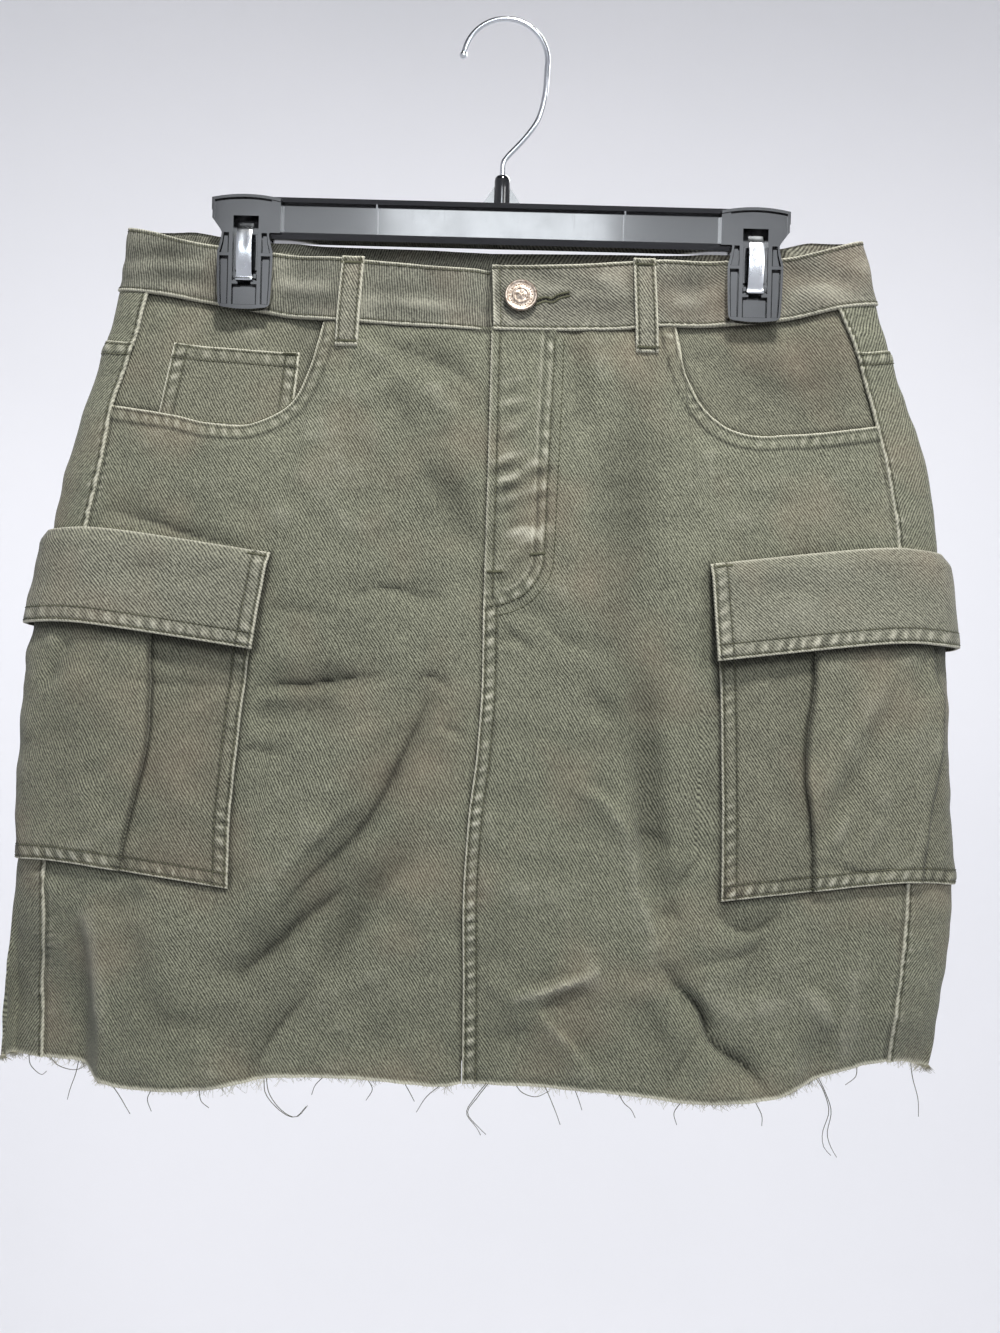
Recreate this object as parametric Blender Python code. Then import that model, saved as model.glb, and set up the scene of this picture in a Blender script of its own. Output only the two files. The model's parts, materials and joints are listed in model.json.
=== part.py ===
"""A cargo utility skirt that hangs by its waistband from a two-clip hanger.

Every cloth piece is a wall worked out from one form: the level sections of the hanging
skirt, pressed flat where the clips hold it and folded as the CREASES table says. A place on
the form is an angle round the skirt (0 at +X, 90 degrees at the middle of the front) and a
height. The tables are in millimetres and the meshes in metres. +Z is up, the front faces
-Y, and the origin is the inside top of the hook, where the hanger is held.
"""

import math
import random

import bmesh
import bpy
import numpy as np
from mathutils import Vector

MM = 0.001
GAP = 0.3  # between pieces that touch
HALF_GAP = GAP / 2
SHARP_ANGLE = math.radians(40)

# ---- The form of the hanging skirt ----

# height, left edge, right edge, depth in front of and behind the middle plane
SECTIONS = (
    (-110, -204, 198, 12, 12),
    (-121, -207, 202, 12, 12),
    (-156, -211.5, 211, 13, 13),
    (-198, -221.5, 224, 17, 18),
    (-243, -235, 240, 21, 23),
    (-288, -244, 247, 24, 26),
    (-345, -248.5, 250, 27, 28),
    (-420, -253, 254, 28, 30),
    (-490, -260.5, 260, 28, 31),
    (-540, -264.5, 255, 27, 31),
    (-605, -266.5, 246, 26, 30),
)
SQUARENESS = 3.2  # 2 is an ellipse; more makes the front flatter and the sides rounder

# Heights at which edges and spacings are first read
WAISTBAND_HEIGHT = -145
WAIST_SEAM_HEIGHT = -174
MOUTH_HEIGHT = -200
MIDDLE_HEIGHT = -330
HEM_HEIGHT = -588

CLIP_REACH = 139.7  # from the middle of the hanger to the middle of each clip
PRESSED_DEPTH = 2.4  # half the thickness of the layers between the jaws
PRESSED_HALF_WIDTH = 19
PRESSED_BLEND = 35
PRESSED_BOTTOM = -163
PRESSED_FADE = 80

CREASE_RUN_OUT = 0.25  # shares of a crease's length: past its ends, and over which it fades
CREASE_EASE = 0.4
CREASE_SIDE_FADE = 0.45  # sine of the angle by which creases and tucks reach their full depth
TUCK_SIDE_FADE = 0.25

# face (1 front, -1 back), start x and height, end x and height, half width, depth (+ out)
CREASES = (
    (1, -33, -377, -93, -473, 11, -4.5),
    (1, -72, -480, -135, -532, 13, -4.0),
    (1, -60, -400, -125, -505, 14, 3.0),
    (1, -36, -455, -83, -520, 13, -3.0),
    (1, -20, -330, -28, -400, 14, 2.5),
    (1, -129, -373, -67, -367, 8, -2.0),
    (1, -123, -389, -87, -384, 8, -1.6),
    (1, -61, -319, -25, -323, 8, -1.6),
    (1, -34, -230, -13, -291, 8, -2.4),
    (1, 84, -373, 88, -453, 9, -3.5),
    (1, 88, -453, 100, -497, 9, -3.0),
    (1, 47, -423, 83, -448, 10, 2.4),
    (1, 102, -524, 147, -577, 8, -4.0),
    (1, 13, -541, 61, -523, 9, 2.4),
    (1, 31, -545, 59, -582, 9, 2.8),
    (1, -146, -176, -150, -262, 13, 2.2),
    (1, 146, -172, 152, -262, 13, 2.2),
    (1, -52, -200, -30, -262, 14, 2.0),
    (1, -170, -500, -168, -600, 26, 5.0),
    (1, 132, -500, 130, -600, 30, 4.0),
    (1, 0, -500, -6, -600, 26, -2.5),
    (-1, -120, -250, -90, -470, 18, -3.5),
    (-1, 110, -260, 85, -500, 20, -3.5),
    (-1, -30, -300, -48, -560, 22, 3.0),
    (-1, 40, -330, 30, -590, 20, -3.0),
    (-1, 160, -400, 140, -595, 18, 3.0),
    (-1, -165, -470, -150, -600, 22, 4.0),
    (-1, -60, -520, -75, -600, 14, -3.0),
)

# direction from the middle, start x, width, top height, height over which it opens, depth
HEM_TUCKS = (
    (-1, 205, 15, -482, 80, 17),
    (1, 168, 16, -540, 40, 8),
)

# ---- Edges and seams, as x and height on the front or the back ----

WAIST_TOP_LEFT = (
    (-207, -121.5), (-192, -124.6), (-176, -128), (-140, -131.5), (-87, -137.5),
    (-38, -140.8), (-4, -142), (32, -142),
)
WAIST_TOP_RIGHT = (
    (-4, -139.6), (32, -138.6), (73, -135.6), (124, -131.2), (156, -129),
    (180, -124.5), (202, -118),
)
WAIST_TOP_BACK = (
    (-207, -121.5), (-175, -121.5), (-157, -124.5), (-140, -126.5), (-123, -130.3),
    (-108, -130.3), (-88, -127), (-39, -129.6), (0, -130.2), (41, -129.4), (88, -127),
    (108, -130.3), (123, -130.3), (140, -126), (157, -123), (175, -118.5), (202, -118),
)
WAIST_SEAM_FRONT = (
    (-212, -157), (-180, -160.2), (-155, -163), (-124.5, -167.7), (-88, -172.7),
    (-44, -174.8), (-4.6, -176), (56, -174.7), (89, -171.5), (125, -167.3),
    (157, -163.8), (190, -157.3), (211, -153.8),
)
WAIST_SEAM_BACK = (
    (-212, -157), (-175, -157), (-130, -160), (-87, -162), (-39, -164.5), (0, -165.2),
    (41, -164.4), (87, -162), (130, -158.5), (175, -154.5), (211, -153.8),
)
YOKE_SEAM_FRONT = ((-221, -184.5), (-200, -186.5), (200, -181.5), (222, -178))
YOKE_SEAM_BACK = (
    (-221, -184.5), (-150, -196), (-75, -208), (0, -219), (75, -208), (150, -194), (222, -178),
)
HEM_FRONT = (
    (-266, -584), (-245, -585), (-228, -585), (-214, -588), (-205, -592), (-188, -594),
    (-150, -593), (-130, -589.5), (-110, -585.3), (-75, -584.7), (-43, -586.7), (-20, -588.5),
    (-9, -586.8), (20, -586.5), (44, -587.3), (80, -590), (122, -593.4), (160, -590.5),
    (177, -584.5), (200, -577), (218, -573.3), (231, -572.3), (248, -576),
)
HEM_BACK = ((-266, -584), (-150, -588), (0, -589.5), (150, -587), (220, -579), (248, -576))
# height, then x on the front
CENTRE_SEAM = (
    (-177, -4), (-241, -4), (-326, -4.4), (-366, -4), (-406, -5.7), (-445, -9.6),
    (-488, -11.2), (-534, -10), (-600, -9),
)
SIDE_SEAM_LEFT = (
    (-157, -195), (-180, -200), (-199, -205.4), (-221.6, -212), (-256, -217.2), (-289, -223.7),
    (-340, -231), (-400, -237), (-460, -241), (-501, -241), (-524, -243), (-547, -245),
    (-600, -245),
)
SIDE_SEAM_RIGHT = (
    (-157, 188.5), (-180, 198.2), (-202, 204.4), (-219.4, 209.2), (-244, 215.4), (-285, 222.5),
    (-340, 226.5), (-400, 229.5), (-480, 231.5), (-524, 229), (-555, 226.5), (-600, 226),
)
SCOOP_LEFT = (
    (-96.5, -172.6), (-97.8, -180), (-99.6, -187), (-102.6, -197.4), (-109.7, -214.5),
    (-121, -225.3), (-138, -231.7), (-157, -231.2), (-176, -227), (-195, -224.4),
    (-212.5, -221.8),
)
SCOOP_RIGHT = (
    (97.8, -171.8), (99, -180), (101.5, -188.5), (106.2, -202.2), (115.4, -216.9),
    (127, -226.5), (142.7, -230.8), (158.6, -229.8), (181, -227.5), (209.5, -223),
)

# ---- Cloth ----

CLOTH = 1.2
NORMAL_TURN = 2e-3  # steps across which a normal is measured, in radians and millimetres
NORMAL_RISE = 0.6
RING_STEPS = 720
FINE_STEPS = 400
WAISTBAND_OUT = 0.6  # how far the waistband's face stands proud of the panels
WAISTBAND_IN = -2.2
OVERLAP_EDGE = -4.2
UNDERLAP_STEP = WAISTBAND_OUT - WAISTBAND_IN + GAP
UNDERLAP_COLUMNS = (32, 14, -5.2)  # x of the columns that lie fully beneath
UNDERLAP_START = -14
PANEL_ROWS = 17
CENTRE_COLUMNS = 9
SCOOP_COLUMNS = 16
SCOOP_SHARE = 0.47  # of a front panel's width, from the centre to the pocket mouth
SCOOP_CROWDING = 1.7
BACK_COLUMNS = 14
WAIST_COLUMNS = 34
WAIST_ROWS = 5
SIDE_CROWDING = 26  # millimetres of width that one radian of turn counts for
FACING_UNDERLAY = 11
FACING_BESIDE_MOUTH = 0.8  # share of the underlay beyond the mouth's upper end
FACING_COLUMNS = 12
FACING_ROWS = 7
SETTLING_ROUNDS = 6
LEFT_FACING_DEPTH = -2.75
RIGHT_FACING_DEPTH = -2.45
FACING_CLOTH = 0.9
YOKE_ROWS = 3
YOKE_SIDE_X = 203  # where the yoke seam is read at the side seams
COIN_DEPTH = -1.65
COIN_CLOTH = 0.7
COIN_COLUMNS = 8
COIN_ROWS = 6
COIN_TOP_LEFT, COIN_TOP_RIGHT = (-178.6, -185.4), (-110.2, -189.0)
COIN_FOOT_LEFT, COIN_FOOT_RIGHT = (-186.5, -233.0), (-112.5, -233.0)

LOOP_WIDTH = 12.3
LOOP_CLOTH = 1.9
LOOP_CLEARANCE = 0.5
LOOP_ARCH = 1.5
LOOP_ROWS = 7
LOOP_TAIL = 14
LOOP_ABOVE = 0.4  # over the waistband's edge
LOOP_STEP = (5, 4)  # below the seam, and the length, of the step down to the panel
LOOP_ARCH_POWER = 0.7
# name, face, x at the top, x at the bottom
BELT_LOOPS = (
    ("belt_loop_front_left", 1, -80.4, -82.9),
    ("belt_loop_front_right", 1, 79.2, 81.8),
    ("belt_loop_back_left", -1, -74.0, -75.0),
    ("belt_loop_back_centre", -1, 0.0, 0.0),
    ("belt_loop_back_right", -1, 75.0, 76.0),
)

# Cargo pockets: distances round the skirt from the side seam, + towards the front
POCKET_FRONT_EDGE = 104
POCKET_BACK_EDGE = -78
PLEAT_FRONT = 50
PLEAT_BACK = -24
PLEAT_DRIFT = 5
PLEAT_RAMP = 3.0
PLEAT_RISE = 4.2
PLEAT_PRESSED = 0.45  # share of the rise left at the pocket's top and bottom
POCKET_COLUMNS = (5, 9, 8)  # places in front of, on and behind the pleat
POCKET_BELLY = 1.6
POCKET_SEAT = 1.05
POCKET_TOP = -301  # heights are at the side seam
POCKET_BOTTOM = -472
POCKET_ROWS = 10
FLAP_TOP = -290
FLAP_BOTTOM = -342.5
FLAP_MARGIN = 2.5
FLAP_CLOTH = 1.8
FLAP_ROWS = 5
FLAP_LIFT = 2.2
FLAP_CLEARANCE = 0.5
FLAP_SOFTENED = 0.5  # share of the pleat's rise that the whole flap stands off
FLAP_STEP = (1, 9)  # above the flap's top, and the length, of its step over the pocket
SQUARE_TILT = 0.135  # how fast an edge square to the flared side seam drops away from it
TILT_ROUNDING = 18

# ---- Hem fringe ----

STRIP_HEIGHT = 2.4
STRIP_DROP = 0.75  # below the cloth's raw edge
STRAND_WIDTH = 0.9
SHORT_STRANDS = 50
SHORT_STRAND_LENGTH = (3.0, 9.0)
STRAND_JITTER = 0.02  # radians
STRAND_SPACING = 0.025
STRAND_LEAN = 0.45  # most sideways share of a strand's length
STRAND_TAPER = (0.85, 0.55)  # width of a strand at its root and tip, as shares of its root's
FIRST_STEP = (0.4, 0.55)  # shares of a short strand's lean and length in its first step
FRINGE_SEED = 7
# root x, then sideways and downward steps of the thread
LONG_THREADS = (
    (-253, (3, 6), (7, 5), (5, -2)),
    (-223, (-1, 8), (-4, 9), (-2, 6)),
    (-198, (3, 6), (4, 6), (2, 4)),
    (-116, (2, 9), (8, 9), (9, 3), (6, -6)),
    (-84, (-4, 5), (-3, 5)),
    (-21, (-5, 6), (-6, 8)),
    (4, (-5, 8), (-4, 8), (5, 8), (3, 4)),
    (36, (3, 8), (3, 7), (1, 5)),
    (52, (1, 6), (2, 5)),
    (184, (4, 7), (2, 11), (-3, 12), (1, 8), (3, 5)),
    (237, (1, 9), (3, 11), (1, 10)),
)

# ---- Button ----

BUTTON_X = 12
BUTTON_HEIGHT = -157.4
BUTTON_SIDES = 22
# radius and distance out from the cloth
BUTTON_PROFILE = (
    (0, 0), (4.6, 0), (4.6, 1.1), (8.6, 1.3), (9, 1.9), (8.7, 2.9), (7.7, 3.1),
    (6.9, 2.5), (4.2, 2.3), (3.4, 2.9), (1.8, 3.3), (0, 3.4),
)

# ---- Hanger ----

BAR_TOP = -103.8
BAR_BOTTOM = -129.4
BAR_HALF_LENGTH = 121.6
BAR_HALF_DEPTH = 5
FLANGE = 2.4
WEB_HALF = 1.1
BAR_RIB_X = 68.6
BAR_RIB_HALF = 0.6
BAR_RIB_INSET = 0.7
OVERRUN = 1  # how far one moulded shape runs into the next
HOUSING_HALF_WIDTH = 19
HOUSING_HALF_DEPTH = 8.6
HOUSING_BOTTOM = -121.5
HOUSING_NECK_HALF = 13.2
HOUSING_SHOULDER = -115.2
BOSS_RADIUS = 4.2
BOSS_TOP = -85.5
BOSS_SIDES = 20
BORE_RADIUS = 1.9
BORE_BOTTOM = -99
GUSSET_BASE_HALF = 10.7
GUSSET_TOP_HALF = 4.6
GUSSET_TOP = -91
GUSSET_HALF_DEPTH = 1.6

JAW_TOP = HOUSING_BOTTOM - GAP
JAW_BOTTOM = -167.4
JAW_FACE = PRESSED_DEPTH + WAISTBAND_OUT + GAP
JAW_FRONT = 9.4
JAW_BACK_DEPTH = 7.2
JAW_NECK_HALF = 12.8
JAW_SHOULDER = -136
JAW_SHOULDER_HALF = 15.5
JAW_TIP_HALF = 14.3
JAW_CORNER = 3.5
JAW_CORNER_STEPS = 4
JAW_TIP_START = -160.5
JAW_CHAMFER = (1.6, 3)  # depth and height of the slope at the front of the tip
JAW_LIP = (2.4, 1.9)  # how far the inner face leans off the cloth below and at the tip
JAW_SPARE = 5  # the shapes that trim a jaw stand this far past it
SLOT_FOOT = 5
BACK_JAW_DROP = 1.6
SLOT_HALF = 6.8
SLOT_DEPTH = 2.2
SPRING_HALF_WIDTH = 4.9
SPRING_THICKNESS = 0.8
# distance in front of the middle plane and height, down the spring
SPRING_PROFILE = (
    (8.2, -123.5), (10.2, -126.5), (12.4, -131), (12.9, -136), (12.2, -142), (10.4, -148),
    (9.4, -151.2), (9.9, -153.3), (11.2, -154.4),
)

WIRE_RADIUS = 1.5
HOOK_RADIUS = 23.6  # to the middle of the wire
HOOK_START_ANGLE = -8
HOOK_END_ANGLE = 169
HOOK_ARC_STEPS = 18
# distance past the end of the arc and radius there
TIP_BALL = ((0.6, 1.75), (1.5, 1.9), (2.6, 1.6), (3.2, 0.8))
WIRE_SIDES = 8
# x and height of the wire's middle, from the boss to where the arc begins
STEM = (
    (0, -98.6), (0, -90), (0, -83), (0.3, -79), (3, -75), (7.6, -70), (13.6, -63), (18.8, -55),
    (21.6, -46), (23, -36),
)

# name: sRGB colour, roughness, metallic
FINISHES = {
    "twill": ((118, 119, 104), 0.9, 0.0),
    "waist_twill": ((128, 128, 114), 0.9, 0.0),
    "thread": ((150, 149, 132), 0.85, 0.0),
    "button_metal": ((171, 153, 141), 0.35, 1.0),
    "black_plastic": ((18, 19, 22), 0.3, 0.0),
    "chrome": ((205, 208, 212), 0.1, 1.0),
    "spring_steel": ((196, 200, 204), 0.25, 1.0),
}


# ---- Reading tables ----


def smooth_reader(points):
    """A function that runs smoothly through the points and never overshoots them."""
    across = np.array([point[0] for point in points], float)
    along = np.array([point[1] for point in points], float)
    step = np.diff(across)
    slope = np.diff(along) / step
    tangent = np.zeros(len(across))
    tangent[0], tangent[-1] = slope[0], slope[-1]
    before, after = slope[:-1], slope[1:]
    level = before * after <= 0
    total = np.where(level, 1, before + after)
    tangent[1:-1] = np.where(level, 0, 2 * before * after / total)

    def read(value):
        value = np.clip(value, across[0], across[-1])
        index = np.clip(np.searchsorted(across, value, side="right") - 1, 0, len(step) - 1)
        t = (value - across[index]) / step[index]
        rise = along[index + 1] - along[index]
        lean_start = tangent[index] * step[index]
        lean_end = tangent[index + 1] * step[index]
        return (
            along[index]
            + rise * t * t * (3 - 2 * t)
            + lean_start * t * (1 - t) ** 2
            - lean_end * t * t * (1 - t)
        )

    return read


def smooth_step(value):
    value = np.clip(value, 0, 1)
    return value * value * (3 - 2 * value)


def section_reader(column):
    rows = sorted(SECTIONS)
    return smooth_reader([(row[0], row[column]) for row in rows])


def by_height(table):
    return smooth_reader(sorted(table))


read_left, read_right, read_front, read_back = (section_reader(c) for c in (1, 2, 3, 4))
read_centre = by_height(CENTRE_SEAM)
read_side_left = by_height(SIDE_SEAM_LEFT)
read_side_right = by_height(SIDE_SEAM_RIGHT)
waist_top_left = smooth_reader(WAIST_TOP_LEFT)
waist_top_right = smooth_reader(WAIST_TOP_RIGHT)
waist_top_back = smooth_reader(WAIST_TOP_BACK)
waist_seam_front = smooth_reader(WAIST_SEAM_FRONT)
waist_seam_back = smooth_reader(WAIST_SEAM_BACK)
yoke_seam_front = smooth_reader(YOKE_SEAM_FRONT)
yoke_seam_back = smooth_reader(YOKE_SEAM_BACK)
hem_front = smooth_reader(HEM_FRONT)
hem_back = smooth_reader(HEM_BACK)


# ---- The form ----


def crease_height(x, height, front):
    """How far the creases lift the cloth off the plain form, outwards."""
    total = np.zeros(np.broadcast(x, height).shape)
    for face, x0, z0, x1, z1, half_width, depth in CREASES:
        length = math.hypot(x1 - x0, z1 - z0)
        along = ((x - x0) * (x1 - x0) + (height - z0) * (z1 - z0)) / length**2
        across = ((x - x0) * (z1 - z0) - (height - z0) * (x1 - x0)) / length
        fade = smooth_step((along + CREASE_RUN_OUT) / CREASE_EASE)
        fade = fade * smooth_step((1 + CREASE_RUN_OUT - along) / CREASE_EASE)
        lift = depth * np.exp(-((across / half_width) ** 2)) * fade
        total += np.where(front == (face > 0), lift, 0)
    return total


def tuck_depth(x, height, front):
    """How far the tucks near the hem set the front cloth back."""
    total = np.zeros(np.broadcast(x, height).shape)
    for direction, start, width, top, opening, depth in HEM_TUCKS:
        beyond = smooth_step((direction * x - start) / width)
        total += depth * beyond * smooth_step((top - height) / opening)
    return np.where(front, total, 0)


def form(angle, height):
    """Points of the plain outer surface of the panels, for arrays of angles and heights."""
    angle, height = np.broadcast_arrays(np.asarray(angle, float), np.asarray(height, float))
    left, right = read_left(height), read_right(height)
    cosine, sine = np.cos(angle), np.sin(angle)
    power = 2 / SQUARENESS
    middle, half = (left + right) / 2, (right - left) / 2
    x = middle + half * np.sign(cosine) * np.abs(cosine) ** power
    front = sine > 0
    depth = np.where(front, read_front(height), read_back(height)) * np.abs(sine) ** power
    side_fade = smooth_step(np.abs(sine) / CREASE_SIDE_FADE)
    depth = depth + side_fade * crease_height(x, height, front)
    tuck_fade = smooth_step(np.abs(sine) / TUCK_SIDE_FADE)
    depth = depth - tuck_fade * tuck_depth(x, height, front)
    beside_clip = np.abs(np.abs(x) - CLIP_REACH) - PRESSED_HALF_WIDTH
    pressed = 1 - smooth_step(beside_clip / PRESSED_BLEND)
    pressed = pressed * np.clip((height - PRESSED_BOTTOM) / PRESSED_FADE + 1, 0, 1)
    depth = depth + (PRESSED_DEPTH - depth) * pressed
    return np.stack([x, np.where(front, -depth, depth), height], axis=-1)


def surface(angle, height, offset):
    """Points of the form moved out along its normal."""
    angle, height = np.broadcast_arrays(np.asarray(angle, float), np.asarray(height, float))
    round_it = form(angle + NORMAL_TURN, height) - form(angle - NORMAL_TURN, height)
    up_it = form(angle, height + NORMAL_RISE) - form(angle, height - NORMAL_RISE)
    normal = np.cross(up_it, round_it)
    normal /= np.linalg.norm(normal, axis=-1, keepdims=True)
    return form(angle, height) + normal * np.asarray(offset, float)[..., None]


def angle_at(x, height, front=True, side=-1):
    """The angle of the place with this x. On the back it is counted round the given side."""
    left, right = read_left(height), read_right(height)
    share = (x - (left + right) / 2) / ((right - left) / 2)
    share = np.clip(share, -1, 1)
    angle = np.arccos(np.sign(share) * np.abs(share) ** (SQUARENESS / 2))
    if front:
        return angle
    return 2 * math.pi - angle if side < 0 else -angle


RING_ANGLES = np.radians(np.linspace(-90, 270, RING_STEPS + 1))
ring_lengths = {}


def ring_length(height):
    """The distance round the skirt up to each of RING_ANGLES, at this height."""
    key = round(float(height), 1)
    if key not in ring_lengths:
        steps = np.linalg.norm(np.diff(form(RING_ANGLES, key), axis=0), axis=1)
        ring_lengths[key] = np.concatenate([[0], np.cumsum(steps)])
    return ring_lengths[key]


def angle_from_seam(side, distance, height):
    """The angle at this distance from the side seam, + towards the front. side: -1 left."""
    seam = read_side_left(height) if side < 0 else read_side_right(height)
    lengths = ring_length(height)
    start = np.interp(angle_at(seam, height), RING_ANGLES, lengths)
    return np.interp(start + side * distance, lengths, RING_ANGLES)


def crowded_angles(height, start, end, count):
    """Angles from start to end, closer together where the section turns."""
    fine = np.linspace(start, end, FINE_STEPS)
    points = form(fine, height)
    steps = np.diff(points[:, :2], axis=0)
    lengths = np.linalg.norm(steps, axis=1)
    headings = np.unwrap(np.arctan2(steps[:, 1], steps[:, 0]))
    turns = np.abs(np.diff(headings, prepend=headings[0]))
    measure = np.concatenate([[0], np.cumsum(lengths + SIDE_CROWDING * turns)])
    return np.interp(np.linspace(0, measure[-1], count + 1), measure, fine)


# ---- Making meshes ----


def linear(channel):
    channel /= 255
    return channel / 12.92 if channel <= 0.04045 else ((channel + 0.055) / 1.055) ** 2.4


def finish(name):
    material = bpy.data.materials.get(name)
    if material is None:
        colour, roughness, metallic = FINISHES[name]
        material = bpy.data.materials.new(name)
        material.use_nodes = True
        shader = material.node_tree.nodes["Principled BSDF"]
        shader.inputs["Base Color"].default_value = (*(linear(c) for c in colour), 1)
        shader.inputs["Roughness"].default_value = roughness
        shader.inputs["Metallic"].default_value = metallic
        material.diffuse_color = shader.inputs["Base Color"].default_value
    return material


def add_object(name, mesh, finish_name):
    mesh.materials.append(finish(finish_name))
    mesh.shade_smooth()
    mesh.set_sharp_from_angle(angle=SHARP_ANGLE)
    made = bpy.data.objects.new(name, mesh)
    bpy.context.scene.collection.objects.link(made)
    return made


def closed_mesh(name, points, faces):
    """A mesh in metres from points in millimetres, with its faces turned outwards."""
    mesh = bpy.data.meshes.new(name)
    mesh.from_pydata([tuple(float(c) * MM for c in point) for point in points], [], faces)
    shape = bmesh.new()
    shape.from_mesh(mesh)
    turn_outwards(shape)
    shape.to_mesh(mesh)
    shape.free()
    return mesh


def turn_outwards(shape):
    bmesh.ops.recalc_face_normals(shape, faces=shape.faces)
    if shape.calc_volume(signed=True) < 0:
        bmesh.ops.reverse_faces(shape, faces=shape.faces)


def wall(name, finish_name, angles, heights, inner, outer):
    """A cloth wall over a grid of places (columns, rows), between two offsets."""
    columns, rows = heights.shape
    inner = np.broadcast_to(inner, heights.shape)
    outer = np.broadcast_to(outer, heights.shape)
    points = np.concatenate(
        [surface(angles, heights, face).reshape(-1, 3) for face in (outer, inner)]
    )
    inside = columns * rows

    def corner(column, row, layer):
        return layer * inside + column * rows + row

    faces = []
    for column in range(columns - 1):
        for row in range(rows - 1):
            for layer in (0, 1):
                faces.append(
                    (
                        corner(column, row, layer),
                        corner(column + 1, row, layer),
                        corner(column + 1, row + 1, layer),
                        corner(column, row + 1, layer),
                    )
                )
    rim = [(column, 0) for column in range(columns)]
    rim += [(columns - 1, row) for row in range(1, rows)]
    rim += [(column, rows - 1) for column in range(columns - 2, -1, -1)]
    rim += [(0, row) for row in range(rows - 2, 0, -1)]
    for here, there in zip(rim, rim[1:] + rim[:1]):
        faces.append((corner(*here, 0), corner(*there, 0), corner(*there, 1), corner(*here, 1)))
    return add_object(name, closed_mesh(name, points, faces), finish_name)


def prism(name, outline, low, high, axis):
    """An outline drawn in the other two axes and drawn out along axis, 'x' or 'y'."""
    order = {"x": (2, 0, 1), "y": (0, 2, 1)}[axis]
    points = []
    for depth in (low, high):
        for first, second in outline:
            triple = (first, second, depth)
            points.append([triple[order[i]] for i in range(3)])
    count = len(outline)
    faces = [tuple(range(count)), tuple(range(2 * count - 1, count - 1, -1))]
    for index in range(count):
        after = (index + 1) % count
        faces.append((index, after, count + after, count + index))
    return closed_mesh(name, points, faces)


def box_mesh(name, low, high):
    outline = ((low[0], low[2]), (high[0], low[2]), (high[0], high[2]), (low[0], high[2]))
    return prism(name, outline, low[1], high[1], "y")


def cylinder_mesh(name, radius, low, high, sides):
    ring = [(radius * math.cos(a), radius * math.sin(a)) for a in turns(sides)]
    points = [(x, y, z) for z in (low, high) for x, y in ring]
    faces = [tuple(range(sides)), tuple(range(2 * sides - 1, sides - 1, -1))]
    for index in range(sides):
        after = (index + 1) % sides
        faces.append((index, after, sides + after, sides + index))
    return closed_mesh(name, points, faces)


def turns(count):
    return [2 * math.pi * index / count for index in range(count)]


def helper_object(mesh):
    helper = bpy.data.objects.new(mesh.name, mesh)
    helper.hide_render = True
    helper.display_type = "WIRE"
    bpy.context.scene.collection.objects.link(helper)
    return helper


def combine(target, mesh, operation):
    """Adds a Boolean with the mesh to the target object."""
    helper = helper_object(mesh)
    modifier = target.modifiers.new(f"{operation.lower()} {mesh.name}", "BOOLEAN")
    modifier.operation = operation
    modifier.object = helper


# ---- Cloth pieces ----


def settle(angles_at, edge, start):
    """The height where each column meets an edge. edge reads x and whether it is in front."""
    heights = np.full(len(np.atleast_1d(angles_at(start))), float(start))
    for _ in range(SETTLING_ROUNDS):
        angles = angles_at(heights)
        heights = edge(form(angles, heights)[..., 0], np.sin(angles) > 0)
    return heights


def rows_between(tops, bottoms, share):
    return tops[:, None] + (bottoms - tops)[:, None] * share[None, :]


def waist_seam(x, front):
    return np.where(front, waist_seam_front(x), waist_seam_back(x))


def yoke_seam(x, front):
    return np.where(front, yoke_seam_front(x), yoke_seam_back(x))


def hem(x, front):
    return np.where(front, hem_front(x), hem_back(x))


def add_waistband(name, side):
    """Half of the waistband: the left one runs under the right one at the front."""
    reference = WAISTBAND_HEIGHT
    start = angle_at(UNDERLAP_START if side < 0 else OVERLAP_EDGE, reference)
    end = angle_at(side * HALF_GAP, reference, front=False, side=side)
    angles = crowded_angles(reference, start, end, WAIST_COLUMNS)
    under = np.zeros(len(angles))
    if side < 0:
        beneath = angle_at(np.array(UNDERLAP_COLUMNS), reference)
        angles = np.concatenate([beneath, angles])
        under = np.concatenate([np.full(len(beneath), -UNDERLAP_STEP), under])
    top_front = waist_top_left if side < 0 else waist_top_right

    def top(x, front):
        return np.where(front, top_front(x), waist_top_back(x))

    def bottom(x, front):
        return waist_seam(x, front) + HALF_GAP

    tops = settle(lambda _: angles, top, reference)
    bottoms = settle(lambda _: angles, bottom, reference)
    heights = rows_between(tops, bottoms, np.linspace(0, 1, WAIST_ROWS))
    grid = np.repeat(angles[:, None], heights.shape[1], axis=1)
    shift = np.repeat(under[:, None], heights.shape[1], axis=1)
    wall(name, "waist_twill", grid, heights, WAISTBAND_IN + shift, WAISTBAND_OUT + shift)


def front_fractions():
    """Shares of the way from the centre seam to the side seam, crowded at the pocket mouth."""
    even = np.linspace(0, SCOOP_SHARE, CENTRE_COLUMNS + 1)
    eased = np.linspace(0, 1, SCOOP_COLUMNS + 1)[1:] ** SCOOP_CROWDING
    return np.concatenate([even, SCOOP_SHARE + (1 - SCOOP_SHARE) * eased])


def front_x(side, fraction, height):
    seam = read_side_left(height) if side < 0 else read_side_right(height)
    near = read_centre(height) + side * HALF_GAP
    return near + (seam - side * HALF_GAP - near) * fraction


def front_edge(side, fractions, edge, start):
    """The height where each column of a front panel meets an edge that reads x."""
    heights = np.full(len(fractions), float(start))
    for _ in range(SETTLING_ROUNDS):
        heights = edge(front_x(side, fractions, heights))
    return heights


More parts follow.
